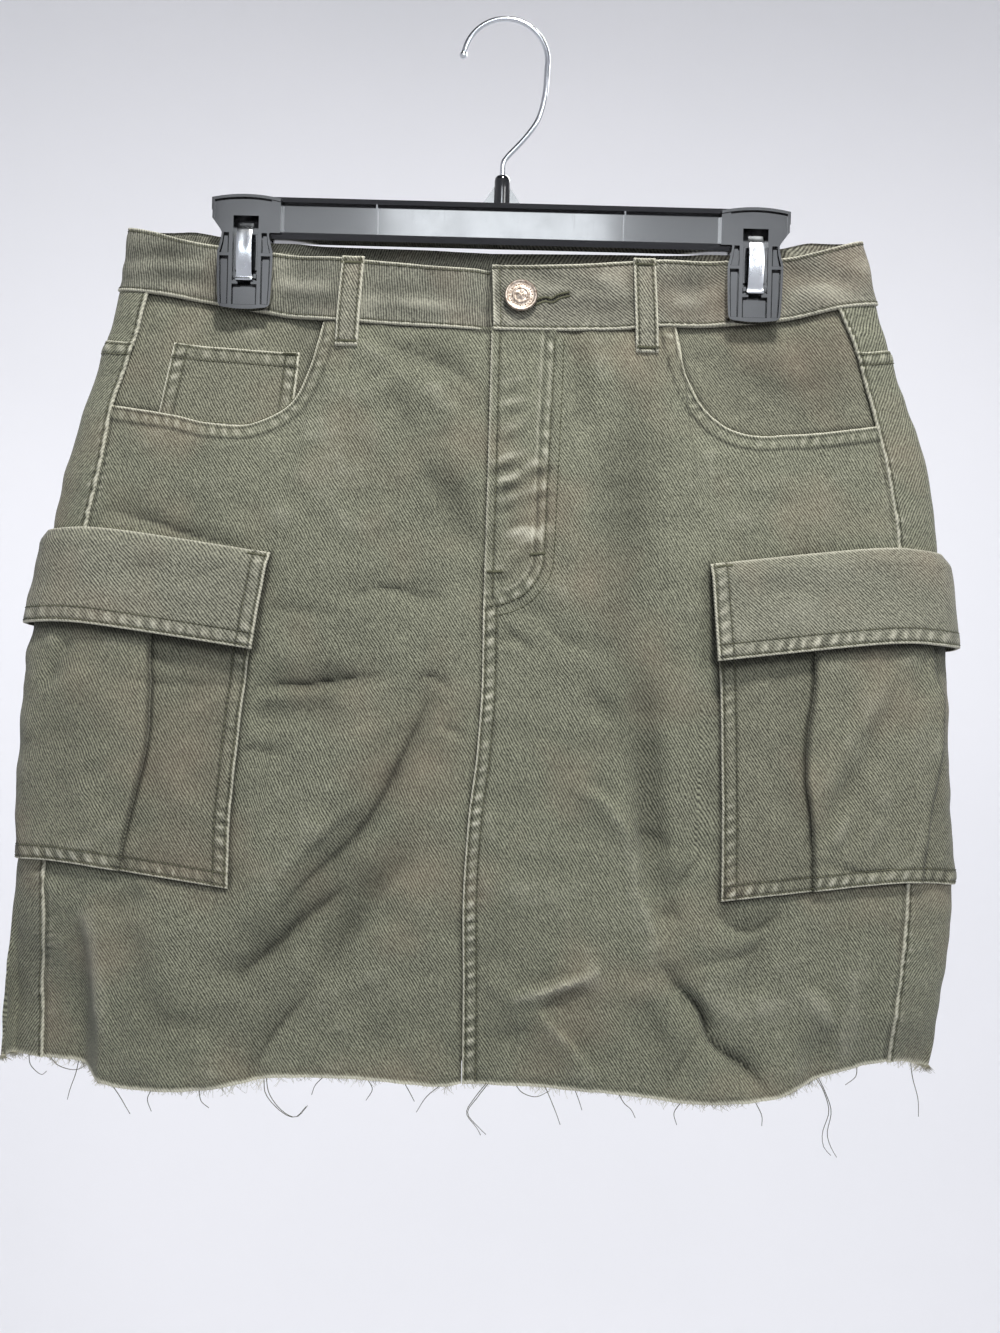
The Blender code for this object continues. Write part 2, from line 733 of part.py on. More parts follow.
def mouth_reader(side):
    """The pocket mouth's height by share of the panel's width."""
    table = SCOOP_LEFT if side < 0 else SCOOP_RIGHT
    points = []
    for x, height in table:
        near, far = front_x(side, 0, height), front_x(side, 1, height)
        points.append(((x - near) / (far - near), height))
    points.sort()
    return smooth_reader(points), points[0][0]


def front_top(side, fractions):
    """The height of a front panel's upper edge in each column."""
    mouth, mouth_start = mouth_reader(side)
    waist = front_edge(side, fractions, waist_seam_front, WAIST_SEAM_HEIGHT) - HALF_GAP
    return np.where(fractions <= mouth_start, waist, mouth(fractions))


def add_front_panel(name, side):
    fractions = front_fractions()
    tops = front_top(side, fractions)
    bottoms = front_edge(side, fractions, hem_front, HEM_HEIGHT) + HALF_GAP
    heights = rows_between(tops, bottoms, np.linspace(0, 1, PANEL_ROWS + 1))
    angles = angle_at(front_x(side, fractions[:, None], heights), heights)
    wall(name, "twill", angles, heights, -CLOTH, 0.0)


def add_facing(name, side, depth):
    """The cloth behind the pocket mouth, reaching a little under the front panel."""
    mouth, mouth_start = mouth_reader(side)
    width = abs(read_side_left(MOUTH_HEIGHT) - read_centre(MOUTH_HEIGHT))
    reach = FACING_UNDERLAY / width
    first = mouth_start - reach * FACING_BESIDE_MOUTH
    fractions = np.linspace(first, 1, FACING_COLUMNS + 1)
    tops = front_edge(side, fractions, waist_seam_front, WAIST_SEAM_HEIGHT) - GAP
    bottoms = mouth(np.minimum(fractions + reach, 1)) - FACING_UNDERLAY
    heights = rows_between(tops, bottoms, np.linspace(0, 1, FACING_ROWS + 1))
    angles = angle_at(front_x(side, fractions[:, None], heights), heights)
    wall(name, "twill", angles, heights, depth - FACING_CLOTH, depth)


def add_coin_pocket():
    """The small patch pocket on the left facing. Its foot lies under the front panel."""
    across = np.linspace(0, 1, COIN_COLUMNS + 1)[:, None]
    down = np.linspace(0, 1, COIN_ROWS + 1)[None, :]

    def place(axis):
        upper = COIN_TOP_RIGHT[axis] + (COIN_TOP_LEFT[axis] - COIN_TOP_RIGHT[axis]) * across
        lower = COIN_FOOT_RIGHT[axis] + (COIN_FOOT_LEFT[axis] - COIN_FOOT_RIGHT[axis]) * across
        return upper + (lower - upper) * down

    heights = place(1)
    angles = angle_at(place(0), heights)
    wall("coin_pocket", "twill", angles, heights, COIN_DEPTH - COIN_CLOTH, COIN_DEPTH)


def seam_angle(side, height):
    """The angle of the back's edge at the side seam."""
    seam = read_side_left(height) if side < 0 else read_side_right(height)
    return angle_at(seam + side * HALF_GAP, height)


def back_angles(side, heights, columns):
    """Angles from the side seam round to the centre back for each column and row."""
    end = angle_at(side * HALF_GAP, MIDDLE_HEIGHT, front=False, side=side)
    start = seam_angle(side, MIDDLE_HEIGHT)
    spread = crowded_angles(MIDDLE_HEIGHT, start, end, columns)
    share = (spread - start) / (end - start)
    ends = angle_at(side * HALF_GAP, heights, front=False, side=side)
    starts = seam_angle(side, heights)
    return starts + (ends - starts) * share[:, None]


def back_heights(side, top, bottom, share):
    """Rows of heights between two edges of the back for each column."""

    def angles_at(heights):
        column_heights = np.broadcast_to(heights, BACK_COLUMNS + 1)[:, None]
        return back_angles(side, column_heights, BACK_COLUMNS)[:, 0]

    tops = settle(angles_at, top, WAIST_SEAM_HEIGHT)
    return rows_between(tops, settle(angles_at, bottom, MIDDLE_HEIGHT), share)


def add_yoke(name, side):
    heights = back_heights(
        side,
        lambda x, front: waist_seam(x, front) - HALF_GAP,
        lambda x, front: yoke_seam(x, front) + HALF_GAP,
        np.linspace(0, 1, YOKE_ROWS + 1),
    )
    wall(name, "twill", back_angles(side, heights, BACK_COLUMNS), heights, -CLOTH, 0.0)


def add_back_panel(name, side):
    """A back panel. Below the pocket mouth its rows meet the front panel's at the side seam."""
    fractions = front_fractions()
    seam_top = float(front_top(side, fractions)[-1])
    seam_foot = float(front_edge(side, fractions, hem_front, HEM_HEIGHT)[-1]) + HALF_GAP
    yoke_foot = float(yoke_seam_front(side * YOKE_SIDE_X)) - HALF_GAP
    shared = seam_top + (seam_foot - seam_top) * np.linspace(0, 1, PANEL_ROWS + 1)
    levels = np.concatenate([[yoke_foot, (yoke_foot + seam_top) / 2], shared])
    share = (levels - yoke_foot) / (seam_foot - yoke_foot)
    heights = back_heights(
        side,
        lambda x, front: yoke_seam(x, front) - HALF_GAP,
        lambda x, front: hem(x, front) + HALF_GAP,
        share,
    )
    wall(name, "twill", back_angles(side, heights, BACK_COLUMNS), heights, -CLOTH, 0.0)


def add_belt_loop(name, face, top_x, bottom_x):
    front = face > 0
    if front:
        top = float((waist_top_left if top_x < 0 else waist_top_right)(top_x)) + LOOP_ABOVE
        seam = float(waist_seam_front(top_x))
    else:
        top = float(waist_top_back(top_x)) + LOOP_ABOVE
        seam = float(waist_seam_back(top_x))
    share = np.linspace(0, 1, LOOP_ROWS + 1)
    levels = top + (seam - LOOP_TAIL - top) * share
    middle = top_x + (bottom_x - top_x) * share
    across = np.linspace(-LOOP_WIDTH / 2, LOOP_WIDTH / 2, 3)
    heights = np.repeat(levels[None, :], len(across), axis=0)
    x = middle[None, :] + across[:, None]
    side = -1 if top_x <= 0 else 1
    angles = angle_at(x, heights, front=front, side=side)
    on_band = smooth_step((heights - seam + LOOP_STEP[0]) / LOOP_STEP[1])
    arch = LOOP_ARCH * np.sin(math.pi * share) ** LOOP_ARCH_POWER
    seat = LOOP_CLEARANCE + WAISTBAND_OUT * on_band + arch[None, :]
    wall(name, "twill", angles, heights, seat, seat + LOOP_CLOTH)


def tilted(distance, level):
    """The height of an edge square to the side seam, at this distance from it."""
    rounded = np.sqrt(distance**2 + TILT_ROUNDING**2) - TILT_ROUNDING
    return level - SQUARE_TILT * rounded


def pocket_grid(side, distances, levels):
    """Angles and heights for distances from the side seam and levels at the seam."""
    heights = tilted(distances[:, None], levels[None, :])
    angles = np.empty_like(heights)
    for column, distance in enumerate(distances):
        for row in range(len(levels)):
            angles[column, row] = angle_from_seam(side, distance, heights[column, row])
    return angles, heights


def pleat_distances(front_edge, back_edge):
    """Distances across a pocket, with one close each side of the pleat's two folds."""
    folds = [fold + step * PLEAT_RAMP / 2 for fold in (PLEAT_FRONT, PLEAT_BACK) for step in (1, -1)]
    stretches = (
        np.linspace(front_edge, folds[0], POCKET_COLUMNS[0]),
        np.linspace(folds[1], folds[2], POCKET_COLUMNS[1]),
        np.linspace(folds[3], back_edge, POCKET_COLUMNS[2]),
    )
    return np.concatenate(stretches)


def pocket_rise(distance, level):
    """How far the pleat and the slack cloth lift a pocket's face off its seat."""
    down = (POCKET_TOP - level) / (POCKET_TOP - POCKET_BOTTOM)
    down = np.clip(down, 0, 1)
    swell = np.sin(math.pi * down)
    drift = PLEAT_DRIFT * (swell - 0.5)
    on_pleat = smooth_step((PLEAT_FRONT + drift + PLEAT_RAMP / 2 - distance) / PLEAT_RAMP)
    on_pleat = on_pleat * smooth_step((distance - PLEAT_BACK + PLEAT_RAMP / 2) / PLEAT_RAMP)
    share = (distance - POCKET_BACK_EDGE) / (POCKET_FRONT_EDGE - POCKET_BACK_EDGE)
    belly = POCKET_BELLY * np.sin(math.pi * np.clip(share, 0, 1)) * swell
    return PLEAT_RISE * on_pleat * (PLEAT_PRESSED + (1 - PLEAT_PRESSED) * swell) + belly


def add_cargo_pocket(name, side):
    distances = pleat_distances(POCKET_FRONT_EDGE, POCKET_BACK_EDGE)
    levels = np.linspace(POCKET_TOP, POCKET_BOTTOM, POCKET_ROWS + 1)
    angles, heights = pocket_grid(side, distances, levels)
    seat = POCKET_SEAT + pocket_rise(distances[:, None], levels[None, :])
    wall(name, "twill", angles, heights, seat, seat + CLOTH)


def add_flap(name, side):
    distances = pleat_distances(POCKET_FRONT_EDGE + FLAP_MARGIN, POCKET_BACK_EDGE - FLAP_MARGIN)
    levels = np.linspace(FLAP_TOP, FLAP_BOTTOM, FLAP_ROWS + 1)
    angles, heights = pocket_grid(side, distances, levels)
    down = (FLAP_TOP - levels) / (FLAP_TOP - FLAP_BOTTOM)
    over_pocket = smooth_step((FLAP_TOP + FLAP_STEP[0] - levels) / FLAP_STEP[1])
    softened = FLAP_SOFTENED * PLEAT_RISE + POCKET_BELLY * down
    pocket_face = CLOTH + np.maximum(
        pocket_rise(distances[:, None], levels[None, :]), softened[None, :]
    )
    lift = FLAP_LIFT * down**2
    seat = POCKET_SEAT + over_pocket[None, :] * (pocket_face + FLAP_CLEARANCE) + lift[None, :]
    wall(name, "twill", angles, heights, seat, seat + FLAP_CLOTH)


# ---- Fringe ----


def strand_cells():
    """Where the strands grow: each is an angle and the steps of its thread."""
    rng = random.Random(FRINGE_SEED)
    cells = []
    for root, *steps in LONG_THREADS:
        cells.append((float(angle_at(root, HEM_HEIGHT)), steps))
    taken = [angle for angle, _ in cells]
    spread = crowded_angles(HEM_HEIGHT, math.radians(-88), math.radians(268), SHORT_STRANDS)
    for angle in spread:
        angle += rng.uniform(-STRAND_JITTER, STRAND_JITTER)
        if min(abs(angle - other) for other in taken) < STRAND_SPACING:
            continue
        taken.append(angle)
        length = rng.uniform(*SHORT_STRAND_LENGTH)
        lean = rng.uniform(-STRAND_LEAN, STRAND_LEAN) * length
        first = (lean * FIRST_STEP[0], length * FIRST_STEP[1])
        cells.append((angle, [first, (lean - first[0], length - first[1])]))
    return sorted(cells, key=lambda cell: cell[0])


def add_fringe():
    """A narrow strip under the raw hem with its loose threads fused to it."""
    half_turn = np.gradient(ring_length(HEM_HEIGHT), RING_ANGLES)
    angles, steps_of = [], {}
    for angle, steps in strand_cells():
        half = STRAND_WIDTH / 2 / float(np.interp(angle, RING_ANGLES, half_turn))
        steps_of[len(angles)] = steps
        angles += [angle - half, angle + half]
    angles = np.array(angles)
    tops = settle(lambda _: angles, hem, HEM_HEIGHT) - STRIP_DROP
    heights = np.stack([tops, tops - STRIP_HEIGHT], axis=1)
    grid = np.repeat(angles[:, None], 2, axis=1)
    outer, inner = surface(grid, heights, 0.0), surface(grid, heights, -CLOTH)
    points, faces = [], []
    for column in range(len(angles)):
        points += [outer[column, 0], inner[column, 0], inner[column, 1], outer[column, 1]]
    for column in range(len(angles)):
        here, there = 4 * column, 4 * ((column + 1) % len(angles))
        for side in range(4):
            after = (side + 1) % 4
            if side == 2 and column in steps_of:
                continue
            faces.append((here + side, there + side, there + after, here + after))
    for column, steps in steps_of.items():
        root = [4 * column + 2, 4 * column + 6, 4 * column + 7, 4 * column + 3]
        middle = sum(points[index] for index in root) / 4
        spread = [(points[index] - middle) for index in root]
        ring = root
        for number, (sideways, down) in enumerate(steps):
            middle = middle + np.array([sideways, 0, -down])
            wide, narrow = STRAND_TAPER
            shrink = wide + (narrow - wide) * (number + 1) / len(steps)
            first = len(points)
            points += [middle + arm * shrink for arm in spread]
            following = list(range(first, first + 4))
            for side in range(4):
                after = (side + 1) % 4
                faces.append((ring[side], ring[after], following[after], following[side]))
            ring = following
        faces.append(tuple(ring))
    add_object("hem_fringe", closed_mesh("hem_fringe", points, faces), "thread")


# ---- Button ----


def add_button():
    """A shank button turned about the cloth's normal at its place."""
    angle = angle_at(BUTTON_X, BUTTON_HEIGHT)
    seat = surface(angle, BUTTON_HEIGHT, WAISTBAND_OUT + GAP)
    outward = Vector(surface(angle, BUTTON_HEIGHT, 2.0) - surface(angle, BUTTON_HEIGHT, 1.0))
    shape = bmesh.new()
    profile = [shape.verts.new((r * MM, 0, out * MM)) for r, out in BUTTON_PROFILE]
    for here, there in zip(profile, profile[1:]):
        shape.edges.new((here, there))
    bmesh.ops.spin(
        shape,
        geom=shape.verts[:] + shape.edges[:],
        cent=(0, 0, 0),
        axis=(0, 0, 1),
        angle=2 * math.pi,
        steps=BUTTON_SIDES,
        use_merge=True,
    )
    bmesh.ops.remove_doubles(shape, verts=shape.verts, dist=1e-6)
    turn_outwards(shape)
    mesh = bpy.data.meshes.new("button")
    shape.to_mesh(mesh)
    shape.free()
    button = add_object("button", mesh, "button_metal")
    button.location = Vector(seat) * MM
    button.rotation_euler = outward.to_track_quat("Z", "Y").to_euler()


# ---- Hanger ----


def add_bar():
    """The moulded bar: an I beam with a housing at each end and a boss for the hook."""
    web_top, web_foot = BAR_TOP - FLANGE, BAR_BOTTOM + FLANGE
    beam = (
        (-BAR_HALF_DEPTH, BAR_TOP), (-BAR_HALF_DEPTH, web_top), (-WEB_HALF, web_top),
        (-WEB_HALF, web_foot), (-BAR_HALF_DEPTH, web_foot), (-BAR_HALF_DEPTH, BAR_BOTTOM),
        (BAR_HALF_DEPTH, BAR_BOTTOM), (BAR_HALF_DEPTH, web_foot), (WEB_HALF, web_foot),
        (WEB_HALF, web_top), (BAR_HALF_DEPTH, web_top), (BAR_HALF_DEPTH, BAR_TOP),
    )
    mesh = prism("hanger_bar", beam, -BAR_HALF_LENGTH, BAR_HALF_LENGTH, "x")
    bar = add_object("hanger_bar", mesh, "black_plastic")
    for side in (-1, 1):
        rib_low = (side * BAR_RIB_X - BAR_RIB_HALF, -BAR_HALF_DEPTH + BAR_RIB_INSET, BAR_BOTTOM + OVERRUN)
        rib_high = (side * BAR_RIB_X + BAR_RIB_HALF, BAR_HALF_DEPTH - BAR_RIB_INSET, BAR_TOP - OVERRUN)
        combine(bar, box_mesh(f"rib_{side}", rib_low, rib_high), "UNION")
        combine(bar, housing_mesh(side), "UNION")
    gusset = (
        (-GUSSET_BASE_HALF, BAR_TOP - OVERRUN), (GUSSET_BASE_HALF, BAR_TOP - OVERRUN),
        (GUSSET_BASE_HALF, BAR_TOP + OVERRUN), (GUSSET_TOP_HALF, GUSSET_TOP),
        (-GUSSET_TOP_HALF, GUSSET_TOP), (-GUSSET_BASE_HALF, BAR_TOP + OVERRUN),
    )
    web = prism("gusset", gusset, -GUSSET_HALF_DEPTH, GUSSET_HALF_DEPTH, "y")
    combine(bar, web, "UNION")
    boss = cylinder_mesh("boss", BOSS_RADIUS, BAR_TOP - OVERRUN, BOSS_TOP, BOSS_SIDES)
    combine(bar, boss, "UNION")
    bore = cylinder_mesh("bore", BORE_RADIUS, BORE_BOTTOM, BOSS_TOP + OVERRUN, BOSS_SIDES)
    combine(bar, bore, "DIFFERENCE")


def housing_mesh(side):
    """The block at the bar's end that holds one clip."""
    centre = side * CLIP_REACH
    outline = (
        (centre - HOUSING_HALF_WIDTH, BAR_TOP), (centre - HOUSING_HALF_WIDTH, HOUSING_SHOULDER),
        (centre - HOUSING_NECK_HALF, HOUSING_BOTTOM), (centre + HOUSING_NECK_HALF, HOUSING_BOTTOM),
        (centre + HOUSING_HALF_WIDTH, HOUSING_SHOULDER), (centre + HOUSING_HALF_WIDTH, BAR_TOP),
    )
    return prism(f"housing_{side}", outline, -HOUSING_HALF_DEPTH, HOUSING_HALF_DEPTH, "y")


def jaw_outline(centre, drop):
    """A jaw seen from the front: a neck, a shoulder and a tip with round corners."""
    bottom = JAW_BOTTOM - drop
    outline = [(centre + JAW_NECK_HALF, JAW_TOP), (centre - JAW_NECK_HALF, JAW_TOP)]
    outline.append((centre - JAW_SHOULDER_HALF, JAW_SHOULDER))
    for side in (-1, 1):
        corner_x = centre + side * (JAW_TIP_HALF - JAW_CORNER)
        for step in range(JAW_CORNER_STEPS + 1):
            turn = math.pi / 2 * step / JAW_CORNER_STEPS
            turn = math.pi / 2 - turn if side > 0 else turn
            outline.append(
                (
                    corner_x + side * JAW_CORNER * math.cos(turn),
                    bottom + JAW_CORNER - JAW_CORNER * math.sin(turn),
                )
            )
    outline.append((centre + JAW_SHOULDER_HALF, JAW_SHOULDER))
    return outline


def add_jaws(side_name, side):
    """The front jaw with its slot and the back jaw, with the waistband between them."""
    centre = side * CLIP_REACH
    wide = JAW_SHOULDER_HALF + JAW_SPARE
    slope, rise = JAW_CHAMFER
    below, at_tip = JAW_LIP
    for name, facing, depth, drop in (
        (f"clip_front_jaw_{side_name}", -1, JAW_FRONT, 0),
        (f"clip_back_jaw_{side_name}", 1, JAW_BACK_DEPTH, BACK_JAW_DROP),
    ):
        profile = (
            (facing * JAW_FACE, JAW_TOP + OVERRUN), (facing * depth, JAW_TOP + OVERRUN),
            (facing * depth, JAW_BOTTOM + rise), (facing * (depth - slope), JAW_BOTTOM - rise),
            (facing * (JAW_FACE + below), JAW_BOTTOM - rise),
            (facing * (JAW_FACE + at_tip), JAW_BOTTOM),
            (facing * JAW_FACE, JAW_TIP_START),
        )
        mesh = prism(name, profile, centre - wide, centre + wide, "x")
        jaw = add_object(name, mesh, "black_plastic")
        front_view = prism(f"{name}_outline", jaw_outline(centre, drop), -wide, wide, "y")
        combine(jaw, front_view, "INTERSECT")
        if facing < 0:
            low = (centre - SLOT_HALF, -JAW_FRONT - JAW_SPARE, JAW_BOTTOM + SLOT_FOOT)
            high = (centre + SLOT_HALF, -JAW_FRONT + SLOT_DEPTH, JAW_TOP + JAW_SPARE)
            combine(jaw, box_mesh(f"{name}_slot", low, high), "DIFFERENCE")


def add_spring(side_name, side):
    """The bowed steel strip that presses the front jaw shut."""
    centre = side * CLIP_REACH
    path = [Vector(point) for point in SPRING_PROFILE]
    near, far = [], []
    for index, point in enumerate(path):
        before, after = path[max(index - 1, 0)], path[min(index + 1, len(path) - 1)]
        along = (after - before).normalized()
        across = Vector((-along.y, along.x)) * SPRING_THICKNESS / 2
        near.append((-(point.x + across.x), point.y + across.y))
        far.append((-(point.x - across.x), point.y - across.y))
    outline = near + far[::-1]
    low, high = centre - SPRING_HALF_WIDTH, centre + SPRING_HALF_WIDTH
    name = f"clip_spring_{side_name}"
    add_object(name, prism(name, outline, low, high, "x"), "spring_steel")


def hook_path():
    """The middle of the hook's wire: the stem, then an arc over the top to the tip."""
    points = [Vector((x, 0, height)) for x, height in STEM]
    for step in range(HOOK_ARC_STEPS + 1):
        turn = HOOK_END_ANGLE - HOOK_START_ANGLE
        angle = math.radians(HOOK_START_ANGLE + turn * step / HOOK_ARC_STEPS)
        height = WIRE_RADIUS - HOOK_RADIUS + HOOK_RADIUS * math.sin(angle)
        points.append(Vector((HOOK_RADIUS * math.cos(angle), 0, height)))
    return points


def add_hook():
    """The wire hook, swept along its path and swelling to a ball at the tip."""
    path = hook_path()
    radii = [WIRE_RADIUS] * len(path)
    tip, end = path[-1], (path[-1] - path[-2]).normalized()
    for ahead, radius in TIP_BALL:
        path.append(tip + end * ahead)
        radii.append(radius)
    points, faces = [], []
    for index, (point, radius) in enumerate(zip(path, radii)):
        before, after = path[max(index - 1, 0)], path[min(index + 1, len(path) - 1)]
        along = (after - before).normalized()
        level = Vector((0, 1, 0))
        across = along.cross(level).normalized()
        for turn in turns(WIRE_SIDES):
            points.append(point + radius * (across * math.cos(turn) + level * math.sin(turn)))
        if index:
            first, last = (index - 1) * WIRE_SIDES, index * WIRE_SIDES
            for side in range(WIRE_SIDES):
                next_side = (side + 1) % WIRE_SIDES
                faces.append((first + side, first + next_side, last + next_side, last + side))
    faces.append(tuple(range(WIRE_SIDES)))
    faces.append(tuple(range(len(points) - WIRE_SIDES, len(points))))
    add_object("hook_wire", closed_mesh("hook_wire", points, faces), "chrome")


def main():
    for old in list(bpy.data.objects):
        bpy.data.objects.remove(old, do_unlink=True)
    for side_name, side in (("left", -1), ("right", 1)):
        add_waistband(f"waistband_{side_name}", side)
        add_front_panel(f"front_panel_{side_name}", side)
        add_yoke(f"back_yoke_{side_name}", side)
        add_back_panel(f"back_panel_{side_name}", side)
        add_cargo_pocket(f"cargo_pocket_{side_name}", side)
        add_flap(f"cargo_flap_{side_name}", side)
        add_jaws(side_name, side)
        add_spring(side_name, side)
    add_facing("pocket_facing_left", -1, LEFT_FACING_DEPTH)
    add_facing("pocket_facing_right", 1, RIGHT_FACING_DEPTH)
    add_coin_pocket()
    for loop in BELT_LOOPS:
        add_belt_loop(*loop)
    add_button()
    add_fringe()
    add_bar()
    add_hook()


main()
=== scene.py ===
"""The looks of an olive cargo skirt that hangs by its waistband from a two-clip hanger.

Every cloth piece is a thin shell worked out in millimetres on one form, the level sections of
the hanging skirt, and turned to metres where its mesh is made. A place on the form is an angle
round the skirt (0 at +X, 90 degrees at the middle of the front) and a height below the hook.
"""

import functools
import json
import logging
import math
from dataclasses import dataclass, field
from enum import Enum
from typing import Callable, Iterable, Sequence

import bmesh
import bpy
import numpy as np
from mathutils import Matrix, Vector
from mathutils.bvhtree import BVHTree

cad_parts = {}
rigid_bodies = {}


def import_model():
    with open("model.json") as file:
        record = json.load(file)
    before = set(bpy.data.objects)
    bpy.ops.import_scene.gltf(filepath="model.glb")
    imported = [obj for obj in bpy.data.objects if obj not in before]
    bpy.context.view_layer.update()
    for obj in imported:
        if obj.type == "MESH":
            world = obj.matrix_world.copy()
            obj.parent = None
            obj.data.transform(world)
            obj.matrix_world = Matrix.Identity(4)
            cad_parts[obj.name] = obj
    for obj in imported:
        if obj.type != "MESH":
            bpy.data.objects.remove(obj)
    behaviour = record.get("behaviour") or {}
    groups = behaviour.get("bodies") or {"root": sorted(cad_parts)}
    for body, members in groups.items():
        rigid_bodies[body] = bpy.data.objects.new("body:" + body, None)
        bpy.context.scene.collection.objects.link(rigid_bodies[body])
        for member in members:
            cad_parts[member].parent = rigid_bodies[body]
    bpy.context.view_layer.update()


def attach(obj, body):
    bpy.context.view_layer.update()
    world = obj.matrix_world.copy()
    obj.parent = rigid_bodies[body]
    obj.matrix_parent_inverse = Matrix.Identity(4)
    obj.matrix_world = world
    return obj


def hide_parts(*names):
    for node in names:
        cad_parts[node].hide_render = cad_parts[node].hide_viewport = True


for startup_object in list(bpy.data.objects):
    bpy.data.objects.remove(startup_object, do_unlink=True)
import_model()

log = logging.getLogger("skirt")
Array = np.ndarray
Table = tuple[tuple[float, ...], ...]
MM = 0.001
BODY = "root"


class Side(Enum):
    """The viewer's left and right."""

    LEFT = -1
    RIGHT = 1

    @property
    def word(self) -> str:
        """The side as it stands in a node's name."""
        return self.name.lower()


# painted light and shade on the front, as soft patches: x, height, half width, half height, paler (+) or
# darker (-)
PAINTED_LIGHT_AND_SHADE = (
    (-188, -142, 20, 13, -0.5), (-45, -157, 32, 9, -0.12), (108, -150, 18, 12, -0.16),
    (160, -196, 42, 24, -0.5), (-90, -372, 34, 34, -0.16), (74, -268, 30, 46, -0.3),
    (48, -415, 34, 28, -0.2), (138, -540, 30, 22, 0.13), (-150, -560, 36, 24, -0.14),
    (144, -410, 14, 40, 0.15), (-220, -404, 24, 44, -0.28), (192, -408, 26, 42, -0.16),
    (-165, -410, 18, 40, 0.06), (-30, -240, 22, 62, -0.16), (168, -328, 40, 14, 0.06),
    (-88, -245, 26, 40, 0.08), (120, -260, 22, 24, 0.06), (30, -490, 36, 26, 0.06),
)


def smooth_step(value: Array | float) -> Array:
    """Eases from 0 to 1."""
    value = np.clip(value, 0, 1)
    return value * value * (3 - 2 * value)


def bell(distance: Array, width: float) -> Array:
    """A soft bump that is 1 at no distance."""
    return np.exp(-((distance / width) ** 2))


@dataclass(frozen=True)
class Line:
    """A smooth line through (place, value) points, which it never overshoots."""

    points: Table

    def __call__(self, place: Array | float) -> Array:
        """Reads the line.

        Args:
            place: where to read it.

        Returns:
            The values there, held level past the line's ends.
        """
        across, along = np.array(sorted(self.points), float).T
        step = np.diff(across)
        slope = np.diff(along) / step
        tangent = np.concatenate([slope[:1], np.zeros(len(step) - 1), slope[-1:]])
        before, after = slope[:-1], slope[1:]
        level = before * after <= 0
        tangent[1:-1] = np.where(level, 0, 2 * before * after / np.where(level, 1, before + after))
        place = np.clip(place, across[0], across[-1])
        index = np.clip(np.searchsorted(across, place, side="right") - 1, 0, len(step) - 1)
        t = (place - across[index]) / step[index]
        rise = along[index + 1] - along[index]
        return (
            along[index]
            + rise * t * t * (3 - 2 * t)
            + tangent[index] * step[index] * t * (1 - t) ** 2
            - tangent[index + 1] * step[index] * t * t * (1 - t)
        )


@dataclass(frozen=True)
class Hoop:
    """An edge all round the skirt: its height by x in front and behind."""

    front: Line
    back: Line

    def __call__(self, x: Array, front: Array) -> Array:
        """Reads the heights for x and whether it is in front."""
        return np.where(front, self.front(x), self.back(x))


@dataclass(frozen=True)
class Crease:
    """A soft ridge or trough: its two ends in x and height, half width and depth (+ out)."""

    x0: float
    z0: float
    x1: float
    z1: float
    half_width: float
    depth: float
    front: bool = True
    run_out: float = 0.25
    ease: float = 0.4

    def lift(self, x: Array, height: Array, front: Array) -> Array:
        """How far the crease lifts the cloth.

        Args:
            x, height: places on the cloth.
            front: whether each is on the front.

        Returns:
            Millimetres outwards.
        """
        length = math.hypot(self.x1 - self.x0, self.z1 - self.z0)
        down_x, down_z = (self.x1 - self.x0) / length, (self.z1 - self.z0) / length
        along = ((x - self.x0) * down_x + (height - self.z0) * down_z) / length
        across = (x - self.x0) * down_z - (height - self.z0) * down_x
        fade = smooth_step((along + self.run_out) / self.ease)
        fade = fade * smooth_step((1 + self.run_out - along) / self.ease)
        return np.where(front == self.front, self.depth * bell(across, self.half_width) * fade, 0)

    def relief(self, x: Array, height: Array, front: Array) -> tuple[Array, Array]:
        """The crease's lift, twice: the second is its tone, painted light on a ridge and painted shade in a
        trough.
        """
        lift = self.lift(x, height, front)
        return lift, lift


@dataclass(frozen=True)
class Fold:
    """A crisp crease along a line drawn left to right: depth (+ out) and its two half widths."""

    points: Table
    depth: float
    upper: float
    lower: float
    shade: float = 1.0
    front: bool = True

    def relief(self, x: Array, height: Array, front: Array) -> tuple[Array, Array]:
        """The shape and tone of the fold.

        Args:
            x, height: places on the cloth.
            front: whether each is on the front.

        Returns:
            Millimetres outwards, and the tone: painted shade in troughs, a dark line along a narrow one and
                a soft band along a wide one, and painted light on ridges.
        """
        path = smooth_path(self.points, 4)
        away, along, above = to_path(path, np.stack([x, height], axis=-1))
        length = np.linalg.norm(np.diff(path, axis=0), axis=1).sum()
        fade = np.sin(math.pi * np.clip(along / length, 0, 1)) ** 0.7
        width = np.where(above, self.upper, self.lower)
        soft = 0.22 * width
        profile = np.exp((soft - np.sqrt(away**2 + soft**2)) / (0.62 * width))
        wide = min(self.upper, self.lower) >= 5
        if wide:
            profile = bell(away, 0.95 * width)
        lift = np.where(front == self.front, self.depth * profile * fade, 0)
        # painted shade with a dark core in narrow troughs; painted light on ridges
        tone = 1 + 1.3 * bell(away, 1.1) * (not wide) if self.depth < 0 else 0.8
        return lift, lift * self.shade * tone


def crease_rows(*rows: tuple) -> tuple[Crease, ...]:
    """Creases from rows of their values, in order."""
    return tuple(Crease(*row) for row in rows)


def fold_rows(*rows: tuple, front: bool = True) -> tuple[Fold, ...]:
    """Folds from rows of their values, in order, all on the front or all behind."""
    return tuple(Fold(*row, front=front) for row in rows)


